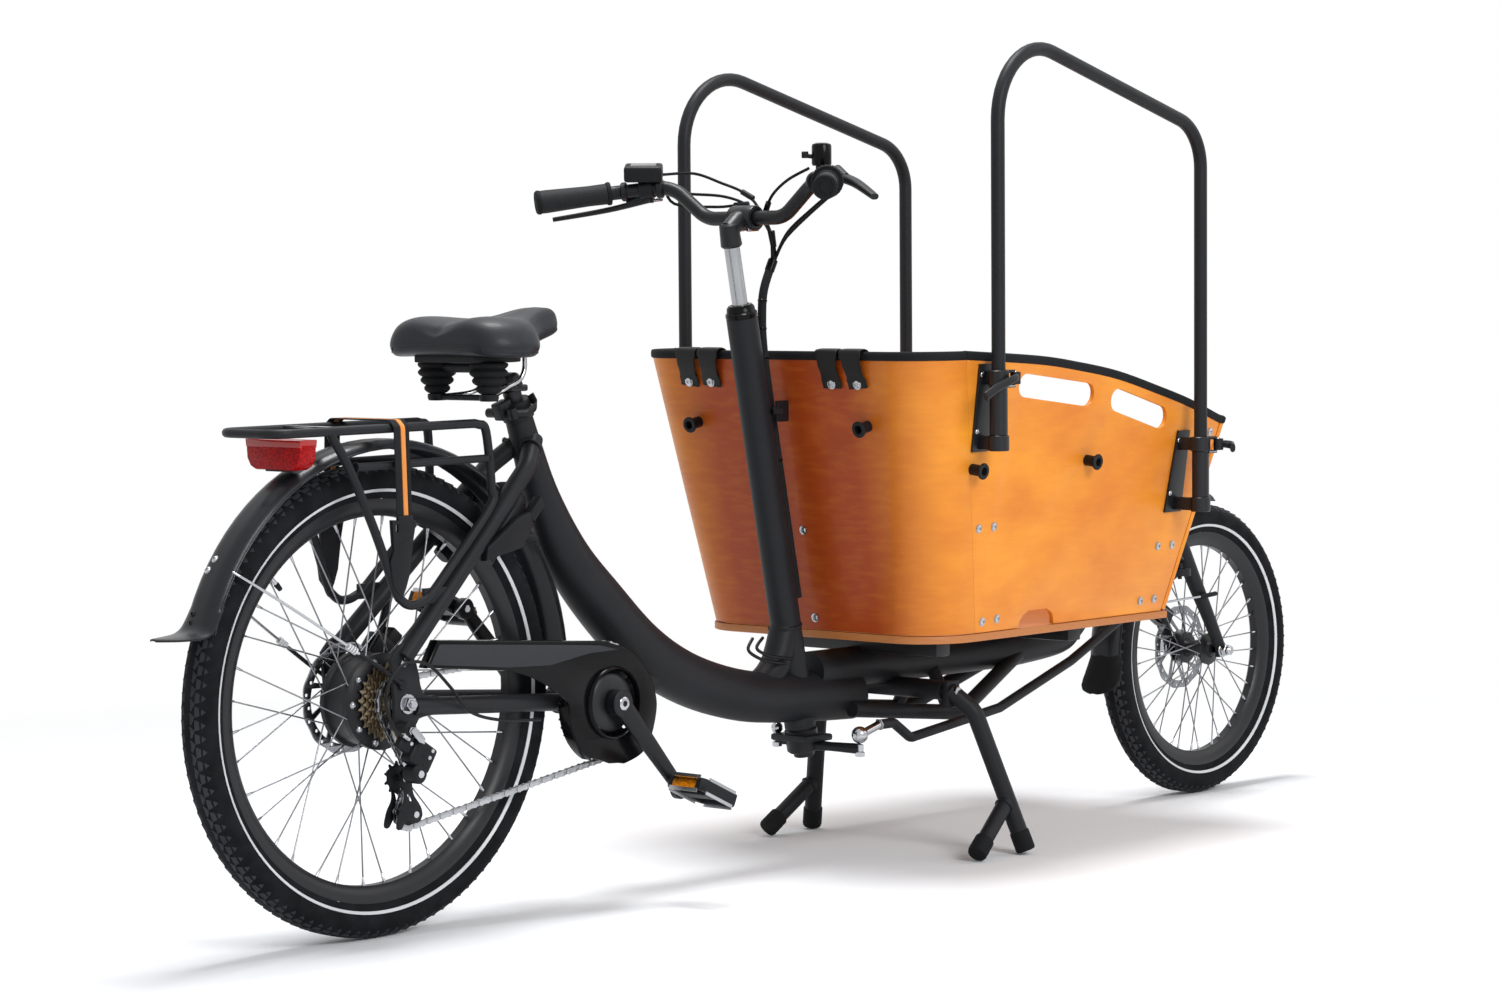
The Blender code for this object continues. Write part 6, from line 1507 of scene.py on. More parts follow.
def pedal(hand, centre):
    body = Shape("pedal_cage_" + hand, "moulded")
    outline = [(-0.042, -0.031), (-0.035, -0.038), (0.035, -0.038), (0.042, -0.031), (0.042, 0.031),
               (0.035, 0.038), (-0.035, 0.038), (-0.042, 0.031)]
    windows = [[(x - 0.0125, -0.028), (x + 0.0125, -0.028), (x + 0.0125, 0.028),
                (x - 0.0125, 0.028)] for x in (-0.0235, 0.0235)]
    body.plate(outline, 0.019, centre, PEDAL_TILT @ FORWARD, AXLE, windows, 0.0025)
    body.rod(centre - AXLE * 0.0375, centre + AXLE * 0.0375, 0.0092)
    for look, x, y, size in (("brushed", 0.0412, 0, (0.0014, 0.056, 0.027)),
                             ("brushed", 0, 0.0368, (0.062, 0.0014, 0.026)),
                             ("amber", 0.0405, 0, (0.003, 0.046, 0.016))):
        body.use(look)
        for way in (-1, 1):
            body.block(centre + PEDAL_TILT @ Vector((way * x, way * y, 0)), size, PEDAL_TILT,
                       0.0005)
    body.ride("pedal_" + hand[0], "pedal_" + hand, slot="black_plastic")


def chain_cover():
    """Glossy cover plate with a stippled upper band, a rolled lip and a hole collar."""
    centre = at(0, -0.0835, 0)
    shape = Shape("chain_cover", "gloss")
    outer = [GUARD_OUTER[0]] + smooth_flat(GUARD_OUTER[1:], 4)
    outline = outer + smooth_flat(GUARD_INNER, 3)
    hole = arc(BRACKET, 0.049, 0, 352, 44)
    shape.plate(outline, 0.003, centre, FORWARD, UP, [hole], 0.0008)
    lip = [at(x, -0.0765, z) for x, z in outer]
    shape.sweep(lip, oval(0.0016, 0.0085, 12, 0.5), AXLE)
    inner_lip = [at(x, -0.0735, z) for x, z in arc(BRACKET, 0.0916, 240, 178, 16)]
    shape.sweep(inner_lip, oval(0.0012, 0.01, 12, 0.5), AXLE)
    collar = [(0.049, -0.082), (0.049, -0.09), (0.0505, -0.0918), (0.0525, -0.0905),
              (0.0545, -0.0848), (0.0545, -0.0835)]
    shape.lathe(collar, at(BRACKET[0], 0, BRACKET[1]), AXLE, 64, True)
    shape.use("stippled")
    band = [(0.034, 0.387), (0.052, 0.4145), (0.3, 0.395), (0.372, 0.389), (0.41, 0.38),
            (0.35, 0.379), (0.27, 0.368), (0.185, 0.3715)]
    shape.plate(band, 0.001, at(0, -0.0854, 0), FORWARD, UP, bevel=0.0003)
    shape.ride("frame", "chain_guard", slot="gloss_plastic")


def gear_changer():
    shape = Shape("gear_changer_body", "moulded")
    tilt = Matrix.Rotation(math.radians(33), 3, "Y")
    shape.block(at(0.01, -0.085, 0.263), (0.044, 0.022, 0.038), tilt, 0.006, 4)
    shape.block(at(-0.004, -0.085, 0.274), (0.056, 0.012, 0.024), tilt, 0.005, 4)
    shape.pin(-0.015, 0.3, -0.0752, -0.0985, 0.0125, sides=32, bevel=0.003)
    shape.pin(0.002, 0.238, -0.072, -0.098, 0.014, sides=32, bevel=0.003)
    cable = smooth([at(-0.012, -0.093, 0.286), at(-0.044, -0.095, 0.305), at(-0.06, -0.096, 0.345),
                    at(-0.048, -0.096, 0.378), at(-0.018, -0.096, 0.395), at(0.024, -0.093, 0.388),
                    at(0.07, -0.089, 0.352), at(0.11, -0.085, 0.315), at(0.18, -0.076, 0.296),
                    at(0.27, -0.064, 0.288)])
    shape.tube(cable, 0.0024, 12)
    shape.use("brushed")
    shape.plate([(-0.02, 0.299), (-0.013, 0.306), (-0.006, 0.301), (0.006, 0.288), (0.004, 0.28),
                 (-0.006, 0.284)], 0.0022, at(0, -0.103, 0), FORWARD, UP)
    shape.use("chrome")
    shape.pin(-0.015, 0.3, -0.0985, -0.101, 0.006, sides=6)
    shape.pin(0.002, 0.238, -0.098, -0.1, 0.0055)
    for x, z in ((-0.019, 0.283), (0.015, 0.26), (-0.011, 0.293), (0.021, 0.269)):
        shape.pin(x, z, -0.102, -0.1035, 0.003)
    shape.rod(at(-0.016, -0.0935, 0.2885), at(-0.028, -0.0942, 0.296), 0.0042)
    shape.ride("frame", "derailleur_body", slot="black_plastic")


def pulley_cage():
    """Two plates with both pulleys between them."""
    cage = Shape("pulley_cage", "moulded")
    pivot = at(GUIDE_PULLEY[0], chain_y(0), GUIDE_PULLEY[1])
    edge = smooth_flat((
        (-0.012, 0.008), (0.0, 0.014), (0.012, 0.008), (0.013, -0.007),
        (0.016, -0.024), (0.029, -0.042), (0.032, -0.056), (0.023, -0.065),
        (0.01, -0.062), (0.001, -0.06), (-0.008, -0.071), (-0.017, -0.068),
        (-0.012, -0.048), (-0.002, -0.028), (-0.009, 0.008)), 4)[:-1]
    slot_hole = [(0.0035, -0.023), (0.008, -0.024), (0.013, -0.033), (0.007, -0.035)]
    for y in (-0.017, 0.0085):
        cage.plate(edge, 0.0022, pivot + AXLE * y, FORWARD, UP, [slot_hole])
    for place in (Vector((0, 0, 0)), Vector((0.02, 0, -0.053))):
        toothed(cage.use("rubber"), PULLEY_TEETH, 0.0, pivot + place, 0.0022, 0.0046)
        cage.use("moulded").rod(pivot + place - AXLE * 0.0028, pivot + place + AXLE * 0.0028,
                                0.0172, sides=32)
        cage.rod(pivot + place - AXLE * 0.0165, pivot + place + AXLE * 0.0085, 0.0046)
        cage.use("chrome").rod(pivot + place - AXLE * 0.0181, pivot + place - AXLE * 0.0198, 0.005)
    cage.ride("cage", "derailleur_cage", slot="black_plastic")


# Steering

TIE_PIN, REAR_BALL = at(1.785, -0.105, 0.41), at(0.938, -0.1, 0.192)


def fork():
    """Crown, steerer, legs with axle nuts, caliper and hose, and the tie rod's pin."""
    shape = Shape("fork_legs", "powder_coat")
    crown = at(1.813, 0, 0.518)
    shape.rod(crown - AXLE * 0.064, crown + AXLE * 0.064, 0.018, sides=32, bevel=0.006)
    shape.rod(head_point(-0.005), head_point(0.14), 0.015)
    shape.rod(head_point(-0.004), head_point(0.0232), 0.0215, 0.02, 32)
    for side in (-1, 1):
        leg = smooth([at(1.805, side * 0.0535, 0.534), at(1.8285, side * 0.0535, 0.5),
                      at(1.893, side * 0.0535, 0.394), at(1.9315, side * 0.0535, 0.335),
                      at(FRONT_AXLE_X, side * 0.055, 0.262)])
        scales = [0.95 - 0.32 * (index / (len(leg) - 1)) ** 2 for index in range(len(leg))]
        shape.tube(leg, 0.0156, 24, scales=scales)
        shape.block(at(FRONT_AXLE_X, side * 0.055, FRONT_AXLE_Z), (0.022, 0.008, 0.026),
                    bevel=0.003)
    shape.use("chrome")
    for side in (-1, 1):
        shape.pin(FRONT_AXLE_X, FRONT_AXLE_Z, side * 0.059, side * 0.062, 0.0125)
        shape.pin(FRONT_AXLE_X, FRONT_AXLE_Z, side * 0.062, side * 0.071, 0.0105, sides=6)
        shape.pin(FRONT_AXLE_X, FRONT_AXLE_Z, side * 0.071, side * 0.08, 0.0085, sides=24,
                  bevel=0.003)
    shape.use("gloss").rod(head_point(0.1325), head_point(0.144), 0.0205, 0.0185, 32, 0.002)
    shape.use("forged")
    caliper(shape, 32, ((1.918, 0.025, 0.322), (0.044, 0.008, 0.03), 0.003),
            ((1.918, 0.045, 0.322), (0.044, 0.015, 0.03), 0.004),
            ((1.908, 0.035, 0.335), (0.02, 0.026, 0.028), 0.003))
    hose = smooth([at(1.908, 0.045, 0.34), at(1.86, 0.048, 0.39), at(1.81, 0.04, 0.445),
                   at(1.786, 0.02, 0.5), at(1.778, 0.005, 0.535)])
    shape.tube(hose, 0.0025, 12)
    shape.tube(smooth([head_point(-0.03, -0.045), at(1.798, -0.075, 0.46), TIE_PIN + UP * 0.017]),
               0.0085, 20)
    shape.rod(TIE_PIN + UP * 0.016, TIE_PIN - UP * 0.012, 0.0038)
    shape.ride("fork_unit", "fork", slot="frame_paint")


def steering_lever():
    """The shaft in the column and the arm at its foot, with an unused second eye."""
    shape = Shape("steering_lever", "forged")
    spare = at(0.9, 0.04, 0.201)
    shape.rod(column_point(0.168), column_point(0.56), 0.0164)
    shape.rod(column_point(0.176), column_point(0.2135), 0.026, sides=36, bevel=0.003)
    shape.block(column_point(0.198), (0.062, 0.078, 0.011), bevel=0.004)
    for end, start in ((REAR_BALL - UP * 0.008, column_point(0.186)),
                       (spare - UP * 0.008, column_point(0.19))):
        shape.tube([start, start.lerp(end, 0.5), end], 0.0085, 20, scales=[1.1, 0.85, 1.0])
    shape.use("chrome")
    for place, top in ((REAR_BALL, -0.001), (spare, 0.006)):
        shape.rod(place - UP * 0.02, place - UP * 0.0125, 0.008, sides=6)
        shape.rod(place - UP * 0.0125, place + UP * top, 0.006)
    shape.ball(spare + UP * 0.01, 0.0095)
    shape.ride("steering", "steering_shaft", slot="black_alloy")


def tie_rod():
    """The bent rod from the steering arm to the fork's pin, with a threaded rear end."""
    rod = Shape("steering_rod", "powder_coat")
    path = rounded([REAR_BALL + Vector((0.002, 0, 0.014)), at(0.985, -0.1, 0.218),
                    at(1.02, -0.1, 0.218), at(1.062, -0.1, 0.19), at(1.29, -0.1, 0.218),
                    at(1.48, -0.101, 0.28), TIE_PIN - Vector((0.016, 0, 0.002))], 0.018, 6)
    rod.tube(path[4:], 0.008, 20)
    rod.use("chrome").tube(path[:6], 0.0066, 20)
    rod.rod(path[3], path[6], 0.0098, sides=6)
    rod.ball(REAR_BALL + UP * 0.014, 0.0135)
    rod.use("powder_coat").lathe([(0.0125, -0.006), (0.019, -0.006), (0.019, 0.006),
                                  (0.0125, 0.006)], TIE_PIN, UP, 40, True)
    rod.ride("link", "tie_rod", slot="frame_paint")


# Handlebar

GRIP_ENDS = {-1: ((0.728, -0.223, 1.069), (0.634, -0.298, 1.055)),
             1: ((0.7298, 0.223, 1.0575), (0.6293, 0.298, 1.0422))}
SHOULDER, KNEE = (0.782, 0.147, 1.067), (0.789, 0.08, 1.015)
CLAMP = (0.789, 0.0, 1.015)
LEVERS = {
    "right": ((0.786, -0.19, 1.076), (0.765, -0.245, 1.064), (0.742, -0.302, 1.042)),
    "left": ((0.766, 0.186, 1.046), (0.733, 0.241, 1.031), (0.6787, 0.309, 1.0165)),
}


def mirrored(point, side):
    return at(point[0], side * point[1], point[2])


def on_bar(side, y):
    shoulder, inner = mirrored(SHOULDER, side), at(*GRIP_ENDS[side][0])
    return shoulder.lerp(inner, (y - SHOULDER[1]) / (0.223 - SHOULDER[1]))


def stem():
    """The quill in the column, its collar, the forward extension and the bar's clamp."""
    shape = Shape("quill_tube", "brushed")
    clamp = at(*CLAMP)
    shape.rod(column_point(0.642), column_point(0.975), 0.01225, sides=36)
    shape.use("anodised")
    shape.rod(column_point(0.97), column_point(1.007), 0.0168, 0.015, 36, 0.003)
    shape.tube([column_point(0.996), column_point(1.006).lerp(clamp, 0.5), clamp], 0.015, 28)
    shape.lathe([(0.0128, -0.0238), (0.0185, -0.0238), (0.0196, -0.022), (0.0196, 0.022),
                 (0.0185, 0.0238), (0.0128, 0.0238)], clamp, AXLE, 40, True)
    shape.use("bright_screws")
    shape.rod(column_point(1.006), column_point(1.0095), 0.006, sides=20)
    for y in (-0.015, 0.015):
        shape.rod(clamp + Vector((-0.012, y, -0.018)), clamp + Vector((0.013, y, -0.017)), 0.0032)
    shape.ride("bars", "quill_stem", slot="bright_alloy")


def bar():
    halves = []
    for side in (-1, 1):
        inner, outer = (at(*end) for end in GRIP_ENDS[side])
        halves.append([outer.lerp(inner, 0.03), inner, mirrored(SHOULDER, side),
                       mirrored(KNEE, side)])
    path = rounded(halves[0] + halves[1][::-1], 0.055, 10)
    shape = Shape("swept_bar", "forged")
    shape.tube(path, 0.0111, 28)
    for side, hand in SIDES:
        pivot = at(*LEVERS[hand][0])
        above = pivot + UP * 0.0052
        shape.use("forged")
        shape.rod(on_bar(side, 0.159), on_bar(side, 0.168), 0.0165, sides=32, bevel=0.002)
        shape.tube(smooth([on_bar(side, 0.164), on_bar(side, 0.164).lerp(above, 0.6),
                           above + UP * 0.003], 4), 0.008, 20)
        shape.rod(above, above + UP * 0.006, 0.009)
        shape.tube([above + UP * 0.002, pivot.lerp(at(*LEVERS[hand][1]), 0.5) + UP * 0.002], 0.01,
                   20, scales=[1.0, 0.75])
        shape.rod(on_bar(side, 0.206), on_bar(side, 0.214), 0.015, sides=32, bevel=0.002)
        shape.use("bright_screws")
        shape.rod(above + UP * 0.006, above + UP * 0.0078, 0.0045)
        shape.rod(pivot + Vector((0.006, -side * 0.004, 0.0)),
                  pivot + Vector((0.022, -side * 0.012, 0.001)), 0.0034, 0.0026)
    shape.ride("bars", "handlebar", slot="black_alloy")


def brake_blades():
    for hand in ("right", "left"):
        pivot, middle, tip = (at(*point) for point in LEVERS[hand])
        lever = Shape("brake_blade_" + hand, "forged")
        path = smooth([pivot, middle, tip], 10)
        thick, thin = (1.5, 0.85) if hand == "right" else (0.95, 0.66)
        scales = [thick + (thin - thick) * index / 20 for index in range(len(path))]
        lever.sweep(path, oval(0.008, 0.0056, 20, 0.8), UP, False, scales)
        lever.rod(pivot - UP * 0.0045, pivot + UP * 0.0045, 0.01)
        lever.ride("brake_" + hand[0], "brake_lever_" + hand, slot="black_alloy")


def grips():
    """Dotted rubber grips with smooth end rings; the right one starts past the shifter."""
    for side, hand in SIDES:
        inner, outer = (at(*end) for end in GRIP_ENDS[side])
        along = (outer - inner).normalized()
        start = inner + along * (0.042 if side < 0 else 0.006)
        length = (outer - start).length
        shape = Shape("grip_sleeve_" + hand, "rubber")
        shape.lathe([(0.0122, 0), (0.0178, 0.0005), (0.0186, 0.003), (0.0178, 0.0065),
                     (0.0164, 0.0075)], start, along, 36)
        shape.use("grip")
        shape.lathe([(0.0164, 0.007), (0.016, length * 0.3), (0.0172, length * 0.62),
                     (0.0182, length * 0.86), (0.018, length - 0.008)], start, along, 36)
        shape.use("rubber")
        shape.lathe([(0.018, length - 0.0082), (0.019, length - 0.007), (0.019, length - 0.003),
                     (0.017, length - 0.0004), (0.013, length), (0.0124, length - 0.0012),
                     (0.008, length - 0.0012), (0.0074, length), (0.0002, length)], start, along,
                    36)
        shape.ride("bars", "grip_" + hand, slot="rubber")
        if side < 0:
            shifter_ring(inner + along * 0.022, along)


def shifter_ring(centre, along):
    """The twist shifter: a ring with raised ribs round it."""
    ring = Shape("shifter_ring", "rubber")
    ring.lathe([(0.012, 0.0178), (0.0236, 0.0178), (0.0244, 0.016), (0.024, 0.002),
                (0.0234, -0.006), (0.0222, -0.008), (0.02, -0.0176), (0.012, -0.0178)], centre,
               along, 40, True)
    ring.ride("shifter", "twist_shifter", slot="rubber")
    rib = Shape("shifter_rib", "rubber")
    rib.block(Vector((0, 0, 0)), (0.0016, 0.0024, 0.018), bevel=0.0006)
    turn, ribs = facing(along, UP), 26
    places = []
    for index in range(ribs):
        spun = turn @ Matrix.Rotation(math.tau * index / ribs, 3, "Z")
        places.append((centre + spun @ Vector((0.0238, 0, 0.0075)), spun, ONE))
    copies("shifter_ribs", rib, places, "rubber", "shifter", "rubber")


def display():
    centre = at(0.751, 0.18, 1.09)
    turn = (Matrix.Rotation(math.radians(40), 3, "Z") @ Matrix.Rotation(math.radians(-12), 3, "Y"))
    shape = Shape("assist_display", "moulded")
    shape.block(centre - UP * 0.0015, (0.04, 0.06, 0.025), turn, 0.006, 4)
    shape.rod(on_bar(1, 0.172), on_bar(1, 0.19), 0.015, sides=32)
    shape.block(on_bar(1, 0.18) + UP * 0.008, (0.018, 0.02, 0.012), turn, 0.002)
    shape.use("screen")
    shape.block(centre + turn @ Vector((0, 0, 0.0102)), (0.027, 0.04, 0.0018), turn, 0.0006)
    shape.use("rubber")
    for y in (-0.0235, 0.0235):
        shape.block(centre + turn @ Vector((0.0, y, 0.01)), (0.012, 0.0048, 0.0026), turn, 0.001)
    shape.ride("bars", "display", slot="black_plastic")


def bell():
    foot = on_bar(-1, 0.19)
    shape = Shape("bell_cup", "gloss")
    shape.lathe([(0.0002, 0.057), (0.009, 0.0568), (0.0138, 0.0548), (0.015, 0.052), (0.015, 0.025),
                 (0.0135, 0.0225), (0.0002, 0.022)], foot, UP, 40)
    shape.use("moulded")
    shape.rod(foot + UP * 0.005, foot + UP * 0.024, 0.009)
    shape.rod(on_bar(-1, 0.184), on_bar(-1, 0.196), 0.0142, sides=32)
    side = Vector((-0.671, 0.742, 0))
    shape.tube([foot + side * 0.012 + UP * 0.036, foot + side * 0.025 + UP * 0.038], 0.0034, 12)
    shape.rod(foot + side * 0.025 + UP * 0.034, foot + side * 0.025 + UP * 0.044, 0.0052)
    shape.ride("bars", "bell", slot="black_plastic")


BUNDLE_TOP = (0.854, -0.002, 0.956)
CABLE_RUNS = (
    ((0.786, 0.17, 1.086), (0.836, 0.15, 1.0877), (0.8558, 0.11, 1.0721),
     (0.8594, 0.07, 1.058), (0.8578, 0.04, 1.0388), (0.852, 0.004, 0.995)),
    ((0.787, 0.172, 1.076), (0.7991, 0.16, 1.0404), (0.8272, 0.095, 1.0342),
     (0.8419, 0.04, 1.035), (0.85, 0.008, 1.005)),
    ((0.79, 0.166, 1.058), (0.8171, 0.14, 1.0551), (0.8307, 0.08, 1.0499),
     (0.8419, 0.038, 1.033), (0.85, 0.005, 0.995)),
    ((0.77, -0.148, 1.088), (0.7707, -0.105, 1.0716), (0.786, -0.06, 1.05),
     (0.8051, -0.03, 1.0266), (0.8273, -0.012, 1.006)),
    ((0.7932, -0.186, 1.056), (0.8156, -0.11, 1.0202), (0.8393, -0.04, 0.9847)),
    ((0.789, -0.194, 1.062), (0.82, -0.112, 1.029), (0.844, -0.04, 0.994)),
)


def cables():
    """Six cables from the bar meet in a sleeve down the column, held by clips."""
    shape = Shape("cable_loom", "rubber")
    bundle = smooth([at(*BUNDLE_TOP)] + [column_point(z, forward, -0.002) for z,
                                         forward in ((0.905, 0.058), (0.86, 0.044), (0.815, 0.0375),
                                                     (0.74, 0.035), (0.42, 0.035))])
    for index, points in enumerate(CABLE_RUNS):
        spread = Vector((0.0034 * math.cos(1.26 * index), 0.0034 * math.sin(1.26 * index), 0))
        path = smooth([at(*point) for point in points] + [at(*BUNDLE_TOP) + spread])
        shape.use("rubber").tube(path + [p + spread for p in bundle[1:]], 0.0023, 12)
        if index in (0, 1, 3):
            place = min(len(path) // 2, len(path) - 2)
            run = path[place + 1] - path[place]
            shape.use("moulded").rod(path[place], path[place] + run.normalized() * 0.026, 0.0046)
    shape.use("webbing").tube(bundle[2:], 0.0068, 20)
    shape.use("gloss").rod(bundle[1], bundle[3], 0.0078)
    shape.rod(at(0.8525, 0.003, 0.996), at(0.8538, -0.001, 0.97), 0.0058, 0.0048)
    for index in range(8, len(bundle), 6):
        run = (bundle[min(index + 1, len(bundle) - 1)] - bundle[index]).normalized()
        shape.rod(bundle[index], bundle[index] + run * 0.004, 0.0076)
    shape.ride("bars", "control_cables", slot="rubber")


# Stand and hoops

STAND_X, STAND_Z = 1.125, 0.262
HOOP_FEET = {"rear": (1.003, 0.328), "front": (1.553, 0.314)}
RIGHT_HOOP_RAISED = 0.022


def stand():
    """Two bent legs on one axle, each with a second foot branching off behind."""
    shape = Shape("two_leg_stand", "powder_coat")
    shape.pin(STAND_X, STAND_Z, -0.142, 0.142, 0.0093)
    for side in (-1, 1):
        hip, knee = at(STAND_X, side * 0.13, STAND_Z), at(1.145, side * 0.164, 0.229)
        front_foot, rear_foot = at(1.198, side * 0.229, 0.0), at(1.06, side * 0.225, 0.0)
        branch = knee.lerp(front_foot, 0.62)
        shape.use("powder_coat")
        shape.block(at(1.129, side * 0.1295, 0.256), (0.032, 0.01, 0.044), bevel=0.003)
        legs = []
        for start, foot, lift in ((knee, front_foot, 0.0063), (branch, rear_foot, 0.0215)):
            along = (foot - start).normalized()
            legs.append((foot - along * lift, along))
        shape.tube(rounded([hip, knee, legs[0][0] - legs[0][1] * 0.008], 0.045), 0.0142, 24)
        shape.tube([branch, legs[1][0] - legs[1][1] * 0.008], 0.013, 24)
        shape.weld(branch.lerp(rear_foot, 0.1), rear_foot - branch, 0.0136, 0.0016)
        shape.use("chrome")
        shape.pin(STAND_X, STAND_Z, side * 0.141, side * 0.148, 0.008, sides=6)
        shape.use("rubber")
        for end, along in legs:
            shape.lathe([(0.014, -0.034), (0.0158, -0.032), (0.016, -0.004), (0.0148, -0.0004),
                         (0.0002, 0.0)], end, along, 28)
    shape.ride("stand", "center_stand", slot="frame_paint")


def hoops():
    for side, hand in SIDES:
        raised = RIGHT_HOOP_RAISED if side < 0 else 0.0
        rear, rear_top, front_top, front = (
            at(HOOP_FEET[end][0], side * HOOP_FEET[end][1], z + raised) for end, z in (
                ("rear", 0.662), ("rear", 1.286), ("front", 1.136), ("front", 0.5415)))
        first = rounded([rear, rear_top, front_top], 0.112, 14)
        second = rounded([rear_top, front_top, front], 0.08, 12)
        shape = Shape("cover_hoop_" + hand, "powder_coat")
        shape.tube(first[:-1] + second[1:], 0.0108, 28)
        shape.ride("hoop_" + hand[0], "hoop_" + hand, slot="frame_paint")
        for end in ("rear", "front"):
            socket(side, hand, end)
            hoop_lever(side, hand, end)


def lever_pivot(side, end):
    if end == "rear":
        return 1.032, side * 0.338
    return 1.575, side * 0.334


def socket(side, hand, end):
    """A wall bracket with a clamp ring above and a cup below, and its two screws."""
    x, y = HOOP_FEET[end][0], side * HOOP_FEET[end][1]
    if end == "rear":
        low, high, foot, head, screws = 0.655, 0.779, -0.02, -0.02, (-0.0145, -0.0145)
    else:
        low, high, foot, head, screws = 0.534, 0.657, -0.027, -0.01, (-0.019, -0.008)
    origin, across, up = side_frame(side)
    shape = Shape("hoop_socket_%s_%s" % (end, hand), "anodised")
    corners = [(x + foot, low - 0.002), (x + 0.02, low - 0.002), (x + 0.024, high + 0.01),
               (x + head, high + 0.01)]
    shape.plate([side_uv(side, u, v) for u, v in corners], 0.004, origin + outward(side) * 0.0023,
                across, up, bevel=0.001)
    for z in (low, high - 0.024):
        wall = side * (side_half(x, z + 0.012) + 0.0028)
        shape.block(at(x, (wall + y) / 2, z + 0.012), (0.014, abs(wall - y), 0.021), bevel=0.002)
        shape.lathe([(0.0118, 0.0), (0.015, 0.0), (0.0162, 0.0012), (0.0162, 0.0228),
                     (0.015, 0.024), (0.0118, 0.024)], at(x, y, z), UP, 36, True)
    shape.lathe([(0.0118, 0.006), (0.015, 0.0), (0.012, -0.0002), (0.0002, -0.0002),
                 (0.0002, 0.004), (0.0118, 0.004)], at(x, y, low), UP, 36)
    shape.rod(at(x, y, low + 0.024), at(x, y, high - 0.024), 0.014, sides=32)
    lug_x, lug_y = lever_pivot(side, end)
    for drop in (0.002, 0.0245):
        shape.block(at((x + lug_x) / 2 + 0.002, (y + lug_y) / 2 - side * 0.001, high - drop),
                    (0.024, 0.015, 0.005), bevel=0.0015)
    shape.use("bright_screws")
    for offset_x, z in zip(screws, (low + 0.03, high - 0.006)):
        place = at(x + offset_x, side * side_half(x + offset_x, z), z) + outward(side) * 0.0043
        shape.rod(place, place + outward(side) * 0.0022, 0.0042, sides=20)
    shape.ride("frame", "hoop_bracket_%s_%s" % (end, hand), slot="black_alloy")


def hoop_lever(side, hand, end):
    x, y = lever_pivot(side, end)
    z = 0.7665 if end == "rear" else 0.6445
    pivot = at(x, y, z)
    if end == "rear":
        path = [pivot, at(x + side * 0.02, y + side * 0.016, z),
                at(x + side * 0.06, y + side * 0.015, z - 0.012),
                at(x + side * 0.09, y + side * 0.013, z - 0.026)]
    else:
        path = [pivot, at(x + 0.012, y + side * 0.004, z),
                at(x + 0.02, y + side * 0.012, z - 0.002), at(x + 0.008, y + side * 0.023,
                                                              z - 0.006)]
    shape = Shape("socket_lever_%s_%s" % (end, hand), "forged")
    line = smooth(path, 6)
    scales = [0.8 + 0.2 * index / (len(line) - 1) for index in range(len(line))]
    shape.sweep(line, oval(0.0044, 0.0072, 20, 0.8), UP, False, scales)
    shape.rod(pivot - UP * 0.0095, pivot + UP * 0.0095, 0.0082)
    shape.use("bright_screws").rod(pivot + UP * 0.009, pivot + UP * 0.0105, 0.0036)
    shape.ride("lever_%s_%s" % (end, hand[0]), "hoop_lever_%s_%s" % (end, hand), slot="black_alloy")


# Stage

CAMERA_PLACE = (-3.648, -4.018, 0.926)
AZIMUTH, ELEVATION, ROLL = math.radians(-47.88), math.radians(3.32), math.radians(-0.4)
LENS_MM = 92.736
SKY_LIGHT = 0.36
# Name, place, width in metres and power in watts
LIGHTS = (("key", (-0.3, -4.7, 3.0), 2.4, 150), ("fill", (4.2, -2.6, 2.8), 3.0, 24),
          ("top", (1.0, 0.2, 4.2), 1.6, 155))
# Where the paper starts to run into the background, and where it has become it
FADE_START, FADE_END = 1.4, 2.8


def camera():
    data = bpy.data.cameras.new("view")
    data.lens, data.sensor_width = sizes().lens_mm, 36.0
    data.clip_start, data.clip_end = 0.1, 200.0
    back = Vector((math.sin(AZIMUTH) * math.cos(ELEVATION),
                   -math.cos(AZIMUTH) * math.cos(ELEVATION), math.sin(ELEVATION)))
    right = UP.cross(back).normalized()
    over = back.cross(right)
    tilted = right * math.cos(ROLL) + over * math.sin(ROLL)
    axes = Matrix((tilted, back.cross(tilted), back)).transposed().to_4x4()
    eye = bpy.data.objects.new("view", data)
    eye.matrix_world = Matrix.Translation(at(*CAMERA_PLACE)) @ axes
    bpy.context.scene.collection.objects.link(eye)
    bpy.context.scene.camera = eye


def area_light(name, place, target, size, power):
    data = bpy.data.lights.new(name, "AREA")
    data.shape, data.size, data.energy = "DISK", size, power
    lamp = bpy.data.objects.new(name, data)
    lamp.location = place
    lamp.rotation_euler = (target - place).to_track_quat("-Z", "Y").to_euler()
    bpy.context.scene.collection.objects.link(lamp)


def stage():
    camera()
    scene = bpy.context.scene
    scene.view_settings.view_transform = "Standard"
    world = bpy.data.worlds.new("studio")
    world.use_nodes = True
    sky = world.node_tree.nodes["Background"]
    sky.inputs["Color"].default_value = (1, 1, 1, 1)
    level = world.node_tree.nodes.new("ShaderNodeMapRange")
    level.inputs["To Min"].default_value = SKY_LIGHT
    world.node_tree.links.new(seen_rays(world.node_tree), level.inputs["Value"])
    world.node_tree.links.new(level.outputs["Result"], sky.inputs["Strength"])
    scene.world = world
    shape = Shape("studio_floor", "white")
    shape.plate([(-60, -60), (60, -60), (60, 60), (-60, 60)], 0.02, Vector((0, 0, -0.0105)),
                FORWARD, AXLE, bevel=0.001)
    floor = shape.object()
    floor.data.materials[0] = paper()
    middle = at(0.92, 0, 0.5)
    for name, place, size, power in LIGHTS:
        area_light(name, at(*place), middle, size, power)


